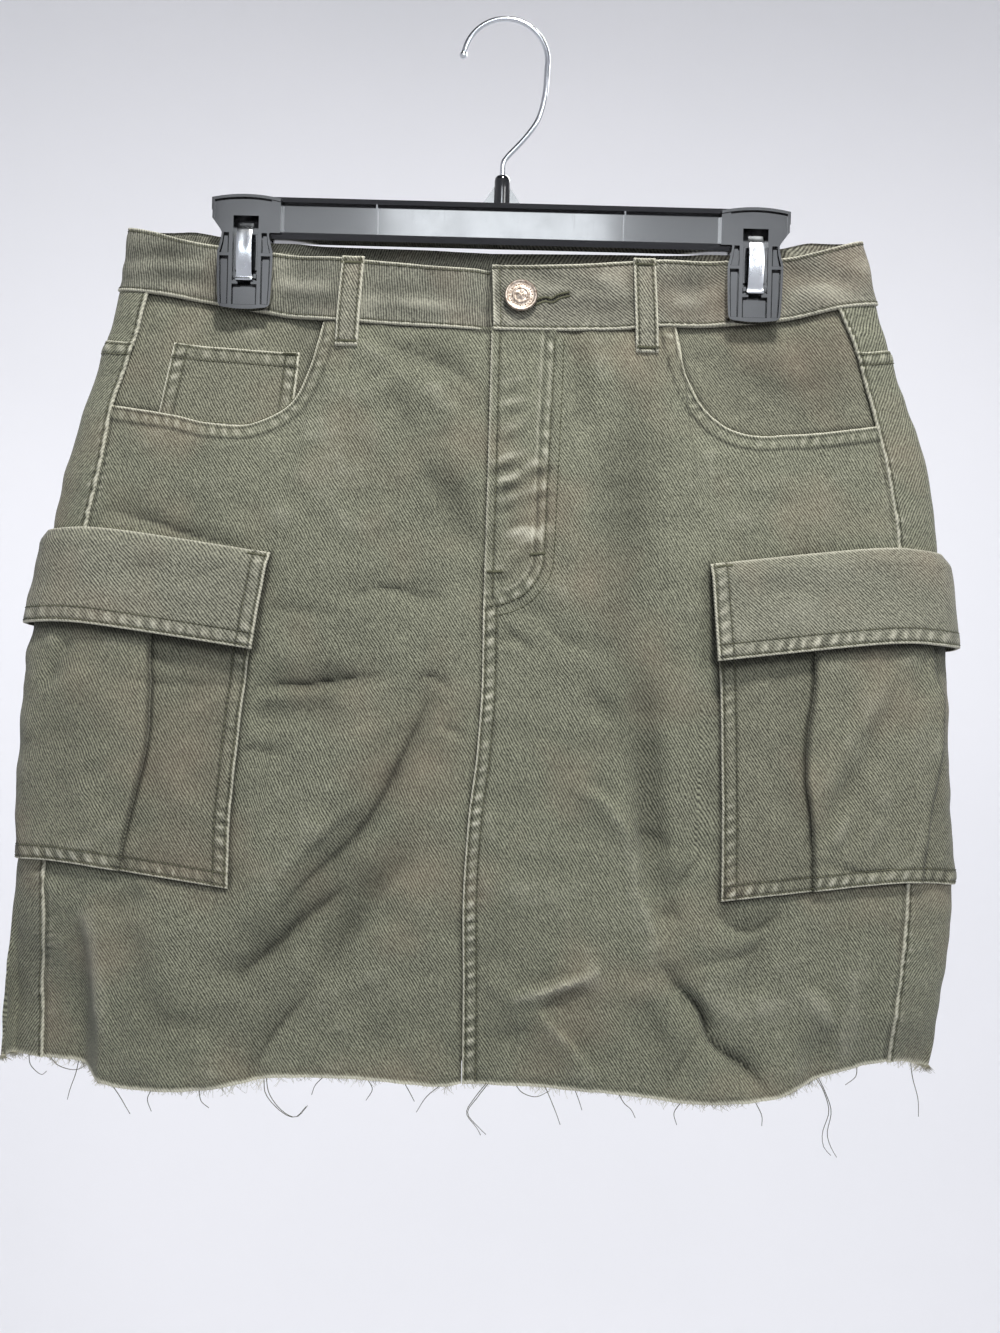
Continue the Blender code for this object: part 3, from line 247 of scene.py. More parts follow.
@dataclass(frozen=True)
class Ripple:
    """Uneven waves: a sum of cosines of many directions and lengths."""

    seed: int
    shortest: float
    longest: float
    waves: int = 14
    stretch: float = 1.0

    def __call__(self, u: Array, v: Array) -> Array:
        """Reads the waves at places in millimetres, as heights of about -1 to 1.

        Args:
            u, v: the places.

        Returns:
            A height for each.
        """
        rng = np.random.default_rng(self.seed)
        total = np.zeros(np.broadcast(u, v).shape)
        for _ in range(self.waves):
            length = rng.uniform(self.shortest, self.longest)
            turn, phase = rng.uniform(0, math.pi), rng.uniform(0, 2 * math.pi)
            along = u * math.cos(turn) / self.stretch + v * math.sin(turn)
            total += np.cos(2 * math.pi * along / length + phase)
        return total / math.sqrt(self.waves)


# ---- The form and the lines on it, as they are in the solids ----

# height, left edge, right edge, depth in front of and behind the middle plane
SECTIONS: Table = (
    (-110, -204, 198, 12, 12), (-121, -207, 202, 12, 12), (-156, -211.5, 211, 13, 13),
    (-198, -221.5, 224, 17, 18), (-243, -235, 240, 21, 23), (-288, -244, 247, 24, 26),
    (-345, -248.5, 250, 27, 28), (-420, -253, 254, 28, 30), (-490, -260.5, 260, 28, 31),
    (-540, -264.5, 255, 27, 31), (-605, -266.5, 246, 26, 30),
)
MAIN_CREASES = crease_rows(
    (-33, -377, -93, -473, 11, -4.5), (-72, -480, -135, -532, 13, -4.0),
    (-60, -400, -125, -505, 14, 3.0), (-36, -455, -83, -520, 13, -3.0),
    (-20, -330, -28, -400, 14, 2.5), (-129, -373, -67, -367, 8, -2.0),
    (-123, -389, -87, -384, 8, -1.6), (-61, -319, -25, -323, 8, -1.6),
    (-34, -230, -13, -291, 8, -2.4), (84, -373, 88, -453, 9, -3.5),
    (88, -453, 100, -497, 9, -3.0), (47, -423, 83, -448, 10, 2.4),
    (102, -524, 147, -577, 8, -4.0), (13, -541, 61, -523, 9, 2.4),
    (31, -545, 59, -582, 9, 2.8), (-146, -176, -150, -262, 13, 2.2),
    (146, -172, 152, -262, 13, 2.2), (-52, -200, -30, -262, 14, 2.0),
    (-170, -500, -168, -600, 26, 5.0), (132, -500, 130, -600, 30, 4.0),
    (0, -500, -6, -600, 26, -2.5),
    (-120, -250, -90, -470, 18, -3.5, False), (110, -260, 85, -500, 20, -3.5, False),
    (-30, -300, -48, -560, 22, 3.0, False), (40, -330, 30, -590, 20, -3.0, False),
    (160, -400, 140, -595, 18, 3.0, False), (-165, -470, -150, -600, 22, 4.0, False),
    (-60, -520, -75, -600, 14, -3.0, False),
)
# direction from the middle, start x, width, top height, height over which it opens, depth
HEM_TUCKS: Table = ((-1, 205, 15, -482, 80, 17), (1, 168, 16, -540, 40, 8))

WAIST_TOP_LEFT = Line((
    (-207, -121.5), (-192, -124.6), (-176, -128), (-140, -131.5), (-87, -137.5), (-38, -140.8),
    (-4, -142), (32, -142),
))
WAIST_TOP_RIGHT = Line((
    (-4, -139.6), (32, -138.6), (73, -135.6), (124, -131.2), (156, -129), (180, -124.5),
    (202, -118),
))
WAIST_TOP_BACK = Line((
    (-207, -121.5), (-175, -121.5), (-157, -124.5), (-140, -126.5), (-123, -127.4),
    (-108, -127), (-88, -125.8), (-39, -126.2), (0, -127), (41, -126.2), (88, -125.8),
    (108, -127), (123, -127.4), (140, -126), (157, -123), (175, -118.5), (202, -118),
))
WAIST_SEAM_FRONT = Line((
    (-212, -157), (-180, -160.2), (-155, -163), (-124.5, -167.7), (-88, -172.7), (-44, -174.8),
    (-4.6, -176), (56, -174.7), (89, -171.5), (125, -167.3), (157, -163.8), (190, -157.3),
    (211, -153.8),
))
WAIST_SEAM_BACK = Line((
    (-212, -157), (-175, -157), (-130, -160), (-87, -162), (-39, -164.5), (0, -165.2),
    (41, -164.4), (87, -162), (130, -158.5), (175, -154.5), (211, -153.8),
))
YOKE_SEAM_FRONT = Line(((-221, -184.5), (-200, -186.5), (200, -181.5), (222, -178)))
YOKE_SEAM_BACK = Line((
    (-221, -184.5), (-150, -196), (-75, -208), (0, -219), (75, -208), (150, -194), (222, -178),
))
HEM_FRONT = Line((
    (-266, -584), (-245, -585), (-228, -585), (-214, -588), (-205, -592), (-188, -594),
    (-150, -593), (-130, -589.5), (-110, -585.3), (-75, -584.7), (-43, -586.7), (-20, -588.5),
    (-9, -586.8), (20, -586.5), (44, -587.3), (80, -590), (122, -593.4), (160, -590.5),
    (177, -584.5), (200, -577), (218, -573.3), (231, -572.3), (248, -576),
))
HEM_BACK = Line((
    (-266, -584), (-150, -588), (0, -589.5), (150, -587), (220, -579), (248, -576),
))
WAIST_SEAM = Hoop(WAIST_SEAM_FRONT, WAIST_SEAM_BACK)
YOKE_SEAM = Hoop(YOKE_SEAM_FRONT, YOKE_SEAM_BACK)
HEM = Hoop(HEM_FRONT, HEM_BACK)
CENTRE_SEAM = Line((
    (-177, -4), (-241, -4), (-326, -4.4), (-366, -4), (-406, -5.7), (-445, -9.6), (-488, -11.2),
    (-534, -10), (-600, -9),
))
SIDE_SEAM = {
    Side.LEFT: Line((
        (-157, -195), (-180, -200), (-199, -205.4), (-221.6, -212), (-256, -217.2),
        (-289, -223.7), (-340, -231), (-400, -237), (-460, -241), (-501, -241), (-524, -243),
        (-547, -245), (-600, -245),
    )),
    Side.RIGHT: Line((
        (-157, 188.5), (-180, 198.2), (-202, 204.4), (-219.4, 209.2), (-244, 215.4),
        (-285, 222.5), (-340, 226.5), (-400, 229.5), (-480, 231.5), (-524, 229), (-555, 226.5),
        (-600, 226),
    )),
}
POCKET_MOUTH: dict[Side, Table] = {
    Side.LEFT: (
        (-96.5, -172.6), (-97.8, -180), (-99.6, -187), (-102.6, -197.4), (-109.7, -214.5),
        (-121, -225.3), (-138, -231.7), (-157, -231.2), (-176, -227), (-195, -224.4),
        (-212.5, -221.8),
    ),
    Side.RIGHT: (
        (97.8, -171.8), (99, -180), (101.5, -188.5), (106.2, -202.2), (115.4, -216.9),
        (127, -226.5), (142.7, -230.8), (158.6, -229.8), (181, -227.5), (209.5, -223),
    ),
}


@dataclass(frozen=True)
class Form:
    """The plain outer surface of the hanging skirt's panels."""

    squareness: float = 3.2
    clip_reach: float = 139.7
    pressed_depth: float = 2.4
    pressed_half_width: float = 19
    pressed_blend: float = 35
    pressed_bottom: float = -163
    pressed_fade: float = 80
    crease_side_fade: float = 0.45
    tuck_side_fade: float = 0.25
    side_crowding: float = 26
    normal_turn: float = 2e-3
    normal_rise: float = 0.6

    def section(self, column: int, height: Array) -> Array:
        """One column of the sections table, read at these heights."""
        return Line(tuple((row[0], row[column]) for row in SECTIONS))(height)

    def points(self, angle: Array, height: Array) -> Array:
        """The form's points.

        Args:
            angle, height: places on the form.

        Returns:
            Their x, y and z in millimetres.
        """
        angle, height = np.broadcast_arrays(np.asarray(angle, float), np.asarray(height, float))
        left, right = self.section(1, height), self.section(2, height)
        cosine, sine = np.cos(angle), np.sin(angle)
        power = 2 / self.squareness
        x = (left + right) / 2 + (right - left) / 2 * np.sign(cosine) * np.abs(cosine) ** power
        front = sine > 0
        depth = np.where(front, self.section(3, height), self.section(4, height))
        depth = depth * np.abs(sine) ** power
        creases = sum(crease.lift(x, height, front) for crease in MAIN_CREASES)
        depth = depth + smooth_step(np.abs(sine) / self.crease_side_fade) * creases
        tucks = np.zeros(height.shape)
        for direction, start, width, top, opening, deep in HEM_TUCKS:
            beyond = smooth_step((direction * x - start) / width)
            tucks += deep * beyond * smooth_step((top - height) / opening)
        tucks = np.where(front, tucks, 0) * smooth_step(np.abs(sine) / self.tuck_side_fade)
        depth = depth - tucks
        beside_clip = np.abs(np.abs(x) - self.clip_reach) - self.pressed_half_width
        pressed = 1 - smooth_step(beside_clip / self.pressed_blend)
        pressed = pressed * np.clip((height - self.pressed_bottom) / self.pressed_fade + 1, 0, 1)
        depth = depth + (self.pressed_depth - depth) * pressed
        return np.stack([x, np.where(front, -depth, depth), height], axis=-1)

    def normals(self, angle: Array, height: Array) -> Array:
        """Directions straight out of the form.

        Args:
            angle, height: places on the form.

        Returns:
            Unit vectors.
        """
        turn, rise = self.normal_turn, self.normal_rise
        round_it = self.points(angle + turn, height) - self.points(angle - turn, height)
        up_it = self.points(angle, height + rise) - self.points(angle, height - rise)
        out = np.cross(up_it, round_it)
        return out / np.linalg.norm(out, axis=-1, keepdims=True)

    def surface(self, angle: Array, height: Array, offset: Array | float) -> Array:
        """The form's points moved out by an offset in millimetres."""
        out = self.normals(angle, height) * np.asarray(offset, float)[..., None]
        return self.points(angle, height) + out

    def angle_at(self, x: Array, height: Array, front: bool = True, side: int = -1) -> Array:
        """The angle of a place with this x.

        Args:
            x, height: the place.
            front: whether it is on the front; on the back it is counted round the side.
            side: -1 to count round the left, 1 round the right.

        Returns:
            Angles in radians.
        """
        left, right = self.section(1, height), self.section(2, height)
        share = np.clip((x - (left + right) / 2) / ((right - left) / 2), -1, 1)
        angle = np.arccos(np.sign(share) * np.abs(share) ** (self.squareness / 2))
        if front:
            return angle
        return 2 * math.pi - angle if side < 0 else -angle

    def crowded(self, height: float, start: float, end: float, shares: Array) -> Array:
        """Angles between two, closer together where the section turns.

        Args:
            height: where the section is taken.
            start, end: the first and last angle.
            shares: 0 to 1, the even way along.

        Returns:
            An angle for each share.
        """
        fine = np.linspace(start, end, 500)
        steps = np.diff(self.points(fine, height)[:, :2], axis=0)
        turns = np.abs(np.diff(np.unwrap(np.arctan2(steps[:, 1], steps[:, 0])), prepend=0))
        turns[0] = 0
        measure = np.linalg.norm(steps, axis=1) + self.side_crowding * turns
        measure = np.concatenate([[0], np.cumsum(measure)])
        return np.interp(shares * measure[-1], measure, fine)

    def from_seam(self, side: Side, distance: Array, height: Array) -> Array:
        """Angles at distances round the skirt from the side seam.

        Args:
            side: which side seam.
            distance: millimetres, + towards the front.
            height: where.

        Returns:
            An angle for each place.
        """
        rings = np.radians(np.linspace(-90, 270, 721))
        levels = np.linspace(height.min() - 1, height.max() + 1, 40)
        lengths = []
        for level in levels:
            steps = np.linalg.norm(np.diff(self.points(rings, level), axis=0), axis=1)
            length = np.concatenate([[0], np.cumsum(steps)])
            lengths.append(length - np.interp(self.angle_at(SIDE_SEAM[side](level), level), rings, length))
        found = np.empty((len(levels),) + distance.shape)
        for row, length in enumerate(lengths):
            found[row] = np.interp(side.value * distance, length, rings)
        place = (height - levels[0]) / (levels[1] - levels[0])
        below = np.clip(place.astype(int), 0, len(levels) - 2)
        share = place - below
        low = np.take_along_axis(found, below[None], 0)[0]
        high = np.take_along_axis(found, below[None] + 1, 0)[0]
        return low + (high - low) * share


FORM = Form()


# ---- Sewing ----

SEWN = (0, 0.25, 0.6, 1.05, 1.6, 2.2, 3, 3.9, 4.8, 5.7, 6.6, 7.5, 8.4, 9.4, 10.6, 12.2)
FOLDED = (0, 0.25, 0.6, 1.05, 1.7, 2.6, 4)
TUCKED = (0.0,)
INNER_RISE = 0.4  # how far a shell's inner face follows the creases of its outer one


def spread(length: float, step: float, start: Sequence[float], end: Sequence[float]) -> Array:
    """Shares of a length, crowded as its two ends need.

    Args:
        length: millimetres.
        step: the spacing away from the ends.
        start, end: distances of the crowded places from each end.

    Returns:
        Growing shares from 0 to 1.
    """
    last = [length - distance for distance in reversed(end)]
    count = max(1, round((last[0] - start[-1]) / step))
    middle = np.linspace(start[-1], last[0], count + 1)[1:-1]
    return np.concatenate([start, middle, last]) / length


@dataclass(frozen=True)
class SewnEdge:
    """A folded, topstitched edge: its rows and their grooves, thickness, puckers, rubbed paler edge and
    painted shade.
    """

    rows: tuple[float, ...] = (1.9, 8.0)
    thick: float = 0.7
    roll: float = 0.95
    pucker: float = 0.42
    wavelength: float = 7.4
    worn: float = 0.85
    seed: int = 1
    slant: float = 0.35
    groove: float = 0.4
    groove_width: float = 0.75

    @property
    def band(self) -> float:
        """How far the folded layers reach from the edge."""
        return self.rows[-1] + 1.4

    def waves(self, along: Array, distance: Array) -> Array:
        """The puckers' wave, -1 to 1, uneven in length.

        Args:
            along, distance: millimetres along the edge and from it.

        Returns:
            The wave in each place.
        """
        drift = Ripple(self.seed, 24, 60)(along, 0 * along) * 1.1
        strength = 0.6 + 0.5 * Ripple(self.seed + 50, 12, 60)(along, 0 * along)
        phase = 2 * math.pi * (along + self.slant * distance) / self.wavelength
        return np.cos(phase + drift) * np.clip(strength, 0.15, 1.3)

    def relief(self, distance: Array, along: Array) -> tuple[Array, Array]:
        """The shape and tone of the cloth near the edge.

        Args:
            distance: millimetres from the edge.
            along: millimetres along it.

        Returns:
            How far the cloth stands out, and its tone: paler (+) on the rubbed edge and the puckers' crests,
            darker (-) with painted shade.
        """
        inside = np.clip(distance, 0, None)
        out = self.thick * smooth_step((self.band - inside) / 1.8)
        rolled = np.clip(inside / self.roll, 0, 1)
        out = out - self.roll * (1 - np.sqrt(np.clip(1 - (1 - rolled) ** 2, 0, 1)))
        middle = self.rows[-1] / 2 if len(self.rows) > 1 else self.rows[0]
        reach = max(2.4, self.rows[-1] * 0.42)
        near = bell(inside - middle, reach)
        wave = self.waves(along, inside)
        out = out + 1.25 * self.pucker * wave * near
        out = out + 0.4 * bell(inside - self.rows[-1] - 3, 3) * self.pucker * wave
        # the folded edge is rubbed paler; the puckers' crests are paler, partly rubbed and partly painted
        # light, and their hollows get painted shade
        worn = 1.3 * self.worn * bell(inside, 1.2) + self.pucker * (1.55 * wave + 0.3) * near
        for row in self.rows:
            groove = bell(inside - row, self.groove_width)
            out = out - self.groove * groove
            # painted shade in the row's groove
            worn = worn - 0.9 * groove
        return out, worn


def travelled(points: Array, axis: int = 0) -> Array:
    """How far each point of a path or grid lies along one of its axes."""
    steps = np.linalg.norm(np.diff(points, axis=axis), axis=-1)
    return np.insert(np.cumsum(steps, axis), 0, 0, axis)


def shell_faces(columns: int, rows: int, first: int = 0) -> Array:
    """The faces of a closed shell.

    Args:
        columns, rows: of its grid of points, which the same grid again lies behind.
        first: the number of the first point.

    Returns:
        The grid's faces, those behind, and those of the rim.
    """
    number = first + np.arange(columns * rows).reshape(columns, rows)
    here, over = number[:-1, :-1].ravel(), number[1:, :-1].ravel()
    grid = np.stack([here, over, over + 1, here + 1], axis=1)
    rim = np.concatenate([number[:, 0], number[-1, 1:], number[-2::-1, -1], number[0, -2:0:-1]])
    after, behind = np.roll(rim, -1), columns * rows
    sides = np.stack([rim, after, after + behind, rim + behind], axis=1)
    return np.concatenate([grid, grid[:, ::-1] + behind, sides[:, ::-1]])


@dataclass
class Sheet:
    """A thin cloth shell over a grid of places (columns, rows) on the form."""

    name: str
    angles: Array
    heights: Array
    seat: Array | float
    thickness: float = 1.2
    thread_name: str = ""
    pitch: float = 3.1
    seams: list[tuple] = field(default_factory=list)

    def __post_init__(self) -> None:
        """Places the grid on the form and measures along its columns and rows."""
        self.thread = Stitching(self.thread_name or self.name + "_thread", self.pitch)
        self.angles, self.heights = np.broadcast_arrays(self.angles, self.heights)
        self.out = FORM.normals(self.angles, self.heights)
        seat = np.broadcast_to(np.asarray(self.seat, float), self.heights.shape)
        self.points = FORM.points(self.angles, self.heights) + self.out * seat[..., None]
        self.offset = np.zeros(self.heights.shape)
        # the tone of each place: rubbed paler edges, painted light (+) on crests and painted shade (-) in
        # grooves, creases and under edges
        self.worn = np.zeros(self.heights.shape)
        self.level_run = travelled(self.points[..., :2], 0)
        self.from_start = travelled(self.points, 0)
        self.from_end = self.from_start[-1:] - self.from_start
        self.from_top = travelled(self.points, 1)
        self.from_foot = self.from_top[:, -1:] - self.from_top

    @property
    def front(self) -> Array:
        """Whether each place is on the front."""
        return np.sin(self.angles) > 0

    @property
    def spot(self) -> tuple[Array, Array]:
        """Each place's x and height."""
        return self.points[..., 0], self.points[..., 2]

    def sew(
        self, edge: SewnEdge, distance: Array, along: Array, share: Array | float = 1,
        stitched: slice | None = None,
    ) -> None:
        """Gives the cloth the shape and wear of a sewn edge.

        Args:
            edge: how it is sewn.
            distance, along: places measured from the edge and along it.
            share: how much of it applies in each place.
            stitched: the stretch of its rows that gets thread.
        """
        out, worn = edge.relief(distance, along)
        self.offset += out * share
        self.worn += worn * share
        if stitched:
            axis = int(np.ptp(distance[0]) > np.ptp(distance[:, 0]))
            self.seams += [(row, distance, axis, stitched) for row in edge.rows]

    def stitch(self) -> BVHTree:
        """Sews the rows of its seams along its finished shape, and gives the skin they lie on.

        Returns:
            The outer face, as skin gives it.
        """
        skin, outer = self.skin(), self.outer()
        for row, distance, axis, stretch in self.seams:
            self.thread.run(row_at(outer, distance, row, axis)[stretch], skin)
        return skin

    def mark(
        self, distance: Array, width: float, out: float = 0, worn: float = 0, share: Array | float = 1
    ) -> None:
        """Shapes the cloth along a line and changes its tone there, for rubbed paler places and for painted
        light and shade.

        Args:
            distance: of each place from the line.
            width: half the mark's width.
            out, worn: millimetres outwards, and the tone: paler (+) for rubbed places and painted light,
                darker (-) for painted shade.
            share: how much of it applies in each place.
        """
        mark = bell(distance, width) * share
        self.offset += out * mark
        self.worn += worn * mark

    def crease(self, creases: Iterable[Crease | Fold], painted_tone: float = 0.05) -> None:
        """Adds creases, with painted light on their crests and painted shade in their troughs.

        Args:
            creases: what to add.
            painted_tone: how much painted light or shade each millimetre of the crease gives.
        """
        x, height = self.spot
        for crease in creases:
            lift, tone = crease.relief(x, height, self.front)
            self.offset += lift
            self.worn += painted_tone * tone

    def crumple(self, ripple: Ripple, height: float, painted_tone: Array | float = 0.0) -> None:
        """Adds uneven waves of this height in millimetres.

        Args:
            ripple: the waves.
            height: of their crests.
            painted_tone: how much painted light the crests get and painted shade the troughs.
        """
        x, level = self.spot
        waves = ripple(x + np.where(self.front, 0, 900), level)
        self.offset += height * waves
        self.worn += painted_tone * waves

    def outer(self) -> Array:
        """The points of the outer face."""
        return self.points + self.out * self.offset[..., None]

    def skin(self) -> BVHTree:
        """The outer face as a tree that finds the nearest place on it.

        Returns:
            The tree, in millimetres.
        """
        points = self.outer().reshape(-1, 3)
        columns, rows = self.heights.shape
        faces = shell_faces(columns, rows)[: (columns - 1) * (rows - 1)]
        return BVHTree.FromPolygons(points.tolist(), faces.tolist())

    def build(self, finish: "TwillFinish") -> bpy.types.Object:
        """Makes the shell.

        Args:
            finish: the cloth.

        Returns:
            The piece, with its cloth places in a UV map and, as an attribute, its tone: rubbed paler places
            with painted light and shade.
        """
        depth = np.minimum(self.offset, INNER_RISE) - self.thickness
        inner = self.points + self.out * depth[..., None]
        faces = shell_faces(*self.heights.shape)
        points = np.concatenate([self.outer().reshape(-1, 3), inner.reshape(-1, 3)])
        corner = points[faces[0]]
        facing = np.cross(corner[1] - corner[0], corner[3] - corner[0])
        if facing @ self.out[0, 0] < 0:
            faces = faces[:, ::-1]
        piece = make_piece(self.name + "_cloth", points, faces, finish)
        x, height = self.spot
        turn = math.radians(finish.turned)
        across = np.where(x[:1] > x[-1:], -self.level_run, self.level_run)
        place = (across + 1j * height).ravel() * np.exp(1j * turn) * MM
        cloth = np.tile(np.stack([place.real, place.imag], axis=1), (2, 1))
        corners = np.empty(len(piece.data.loops), np.int32)
        piece.data.loops.foreach_get("vertex_index", corners)
        piece.data.uv_layers.new(name="cloth").uv.foreach_set("vector", cloth[corners].ravel())
        # the soft patches of painted light and shade lighten and darken the front's tone
        painted_patches = sum(
            tone * bell(x - place_x, wide) * bell(height - place_z, high)
            for place_x, place_z, wide, high, tone in PAINTED_LIGHT_AND_SHADE
        )
        worn = (self.worn + painted_patches * self.front).ravel()
        worn = np.concatenate([worn, 0 * worn])
        layer = piece.data.attributes.new("worn", "FLOAT", "POINT")
        layer.data.foreach_set("value", worn.astype(np.float32))
        return piece

    def finish(self, cloth: "TwillFinish", rests_on: Sequence[str]) -> bpy.types.Object:
        """Makes the cloth and its thread, and hides the solid that the cloth stands for.

        Args:
            cloth: what it is cut from.
            rests_on: not used.

        Returns:
            The shell.
        """
        piece = self.build(cloth)
        threads = [self.thread.build()] if self.thread.paths else []
        stand_for(self.name)
        return piece


def stand_for(node: str) -> None:
    """Hides the solid that a piece stands for."""
    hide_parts(node)


def make_piece(
    name: str, points: Array, faces: Sequence, finish: "Finish", sharp: float = 50
) -> bpy.types.Object:
    """A smooth-shaded object from points in millimetres.

    Args:
        name: the piece's name.
        points, faces: its mesh.
        finish: what it is made of.
        sharp: edges that turn more than this many degrees stay sharp.

    Returns:
        The object, riding on the one body.
    """
    mesh = bpy.data.meshes.new(name)
    faces = faces.tolist() if isinstance(faces, np.ndarray) else faces
    mesh.from_pydata((np.asarray(points, float) * MM).tolist(), [], faces)
    mesh.materials.append(finish.material())
    mesh.shade_smooth()
    mesh.set_sharp_from_angle(angle=math.radians(sharp))
    piece = bpy.data.objects.new(name, mesh)
    bpy.context.scene.collection.objects.link(piece)
    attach(piece, BODY)
    return piece


def tubes(paths: Array, radii: Array, up: Array, sides: int) -> tuple[Array, list]:
    """Closed tubes along many paths at once.

    Args:
        paths: (tubes, points, 3) in millimetres.
        radii: (tubes, points) or one row for all.
        up: (tubes, 3), a direction not along the tubes.
        sides: of each tube.

    Returns:
        Points and faces.
    """
    count, steps = paths.shape[:2]
    along = np.gradient(paths, axis=1)
    along /= np.linalg.norm(along, axis=-1, keepdims=True) + 1e-9
    across = np.cross(along, up[:, None, :])
    across /= np.linalg.norm(across, axis=-1, keepdims=True) + 1e-9
    over = np.cross(across, along)
    radii = np.broadcast_to(radii, (count, steps))
    turn = 2 * math.pi * np.arange(sides) / sides
    ring = across[:, :, None] * np.cos(turn)[:, None] + over[:, :, None] * np.sin(turn)[:, None]
    points = paths[:, :, None] + ring * radii[:, :, None, None]
    first = (np.arange(count) * steps * sides)[:, None, None]
    step = (np.arange(steps - 1) * sides)[None, :, None]
    side = np.arange(sides)[None, None, :]
    here, there = first + step + side, first + step + (side + 1) % sides
    quads = np.stack([here, here + sides, there + sides, there], axis=-1).reshape(-1, 4)
    faces = quads.tolist()
    starts = (first[:, 0, 0])[:, None] + np.arange(sides)
    faces += starts.tolist()
    faces += (starts + (steps - 1) * sides)[:, ::-1].tolist()
    return points.reshape(-1, 3), faces


def turned_rings(profile: Table, sides: int, middle: Sequence[float] = (0, 0)) -> Array:
    """Points round an upright line, (rings, sides, 3), from radii and heights.

    Args:
        profile: each ring's radius and height.
        sides: of each ring.
        middle: the line's x and y.

    Returns:
        The points, ring by ring.
    """
    radius, height = np.array(profile, float).T[..., None]
    turn = 2 * math.pi * np.arange(sides) / sides
    x, y = middle[0] + radius * np.cos(turn), middle[1] + radius * np.sin(turn)
    return np.stack([x, y, height + 0 * turn], axis=-1)


def ring_faces(rings: int, sides: int, first: int = 0) -> list[list[int]]:
    """The faces between turned rings, their points counted from first.

    Args:
        rings, sides: how many.
        first: the number of the first point.

    Returns:
        Four points for each face.
    """
    here = first + np.arange((rings - 1) * sides).reshape(-1, sides)
    after = np.roll(here, -1, axis=1)
    return np.stack([here, after, after + sides, here + sides], axis=-1).reshape(-1, 4).tolist()


def resample(path: Array, step: float) -> Array:
    """The path's points at even steps in millimetres, ends kept.

    Args:
        path: (points, any number of axes).
        step: about how far apart.

    Returns:
        The new points.
    """
    lengths = travelled(path)
    count = max(1, round(lengths[-1] / step))
    even = np.linspace(0, lengths[-1], count + 1)
    return np.stack([np.interp(even, lengths, path[:, axis]) for axis in range(path.shape[1])], 1)


@dataclass
class Stitching:
    """The sewing thread of one piece, gathered into one mesh."""

    name: str
    pitch: float = 3.1
    share: float = 0.8
    radius: float = 0.3
    # shares of a stitch's length with the share of its arch there
    shape: Table = ((0, -0.35), (0.16, 0.5), (0.5, 1), (0.84, 0.5), (1, -0.35))
    paths: list[Array] = field(default_factory=list)
    ups: list[Array] = field(default_factory=list)

    def stitch(self, start: Vector, end: Vector, skin: BVHTree, arch: float = 0.2) -> None:
        """Lays one stitch on the cloth, sinking in at both ends.

        Args:
            start, end: its two ends.
            skin: the cloth beneath.
            arch: how high it stands in the middle.
        """
        path, up = [], None
        for share, height in self.shape:
            spot, normal, *_ = skin.find_nearest(start.lerp(end, share))
            if normal.dot(spot - Vector((0, 0, spot.z))) < 0:
                normal = -normal
            path.append(spot + normal * arch * height)
            up = normal if share == 0.5 else up
        self.paths.append(np.array(path))
        self.ups.append(np.array(up))

    def run(self, path: Array, skin: BVHTree) -> None:
        """Sews a row of lockstitches along a path in millimetres.

        Args:
            path: where it runs.
            skin: the cloth beneath.
        """
        spots = [Vector(point) for point in resample(path, self.pitch)]
        for here, there in zip(spots, spots[1:]):
            self.stitch(here, here.lerp(there, self.share), skin)

    def tack(self, bar: Array, wide: float, skin: BVHTree, pitch: float = 0.42) -> None:
        """Sews a bar tack: close stitches back and forth across a short bar.

        Args:
            bar: its two ends.
            wide: how high the stitches are.
            skin: the cloth beneath.
            pitch: between stitches.
        """
        for index, middle in enumerate(resample(bar, pitch)):
            reach = np.array([0, 0, wide / 2 if index % 2 else -wide / 2])
            self.stitch(Vector(middle - reach), Vector(middle + reach * 0.85), skin, arch=0.55)

    def build(self) -> bpy.types.Object:
        """Makes the thread's mesh.

        Returns:
            The piece.
        """
        radii = np.array([0.35, 0.95, 1.0, 0.95, 0.35]) * self.radius
        points, faces = tubes(np.array(self.paths), radii, np.array(self.ups), 5)
        thread = make_piece(self.name, points, faces, SEWING_THREAD, sharp=80)
        return thread


# ---- Finishes ----


def linear(colour: Sequence[float]) -> tuple[float, float, float, float]:
    """An sRGB colour of 0 to 255 as Blender's linear colour."""
    parts = [channel / 255 for channel in colour]
    return (*(c / 12.92 if c <= 0.04045 else ((c + 0.055) / 1.055) ** 2.4 for c in parts), 1)


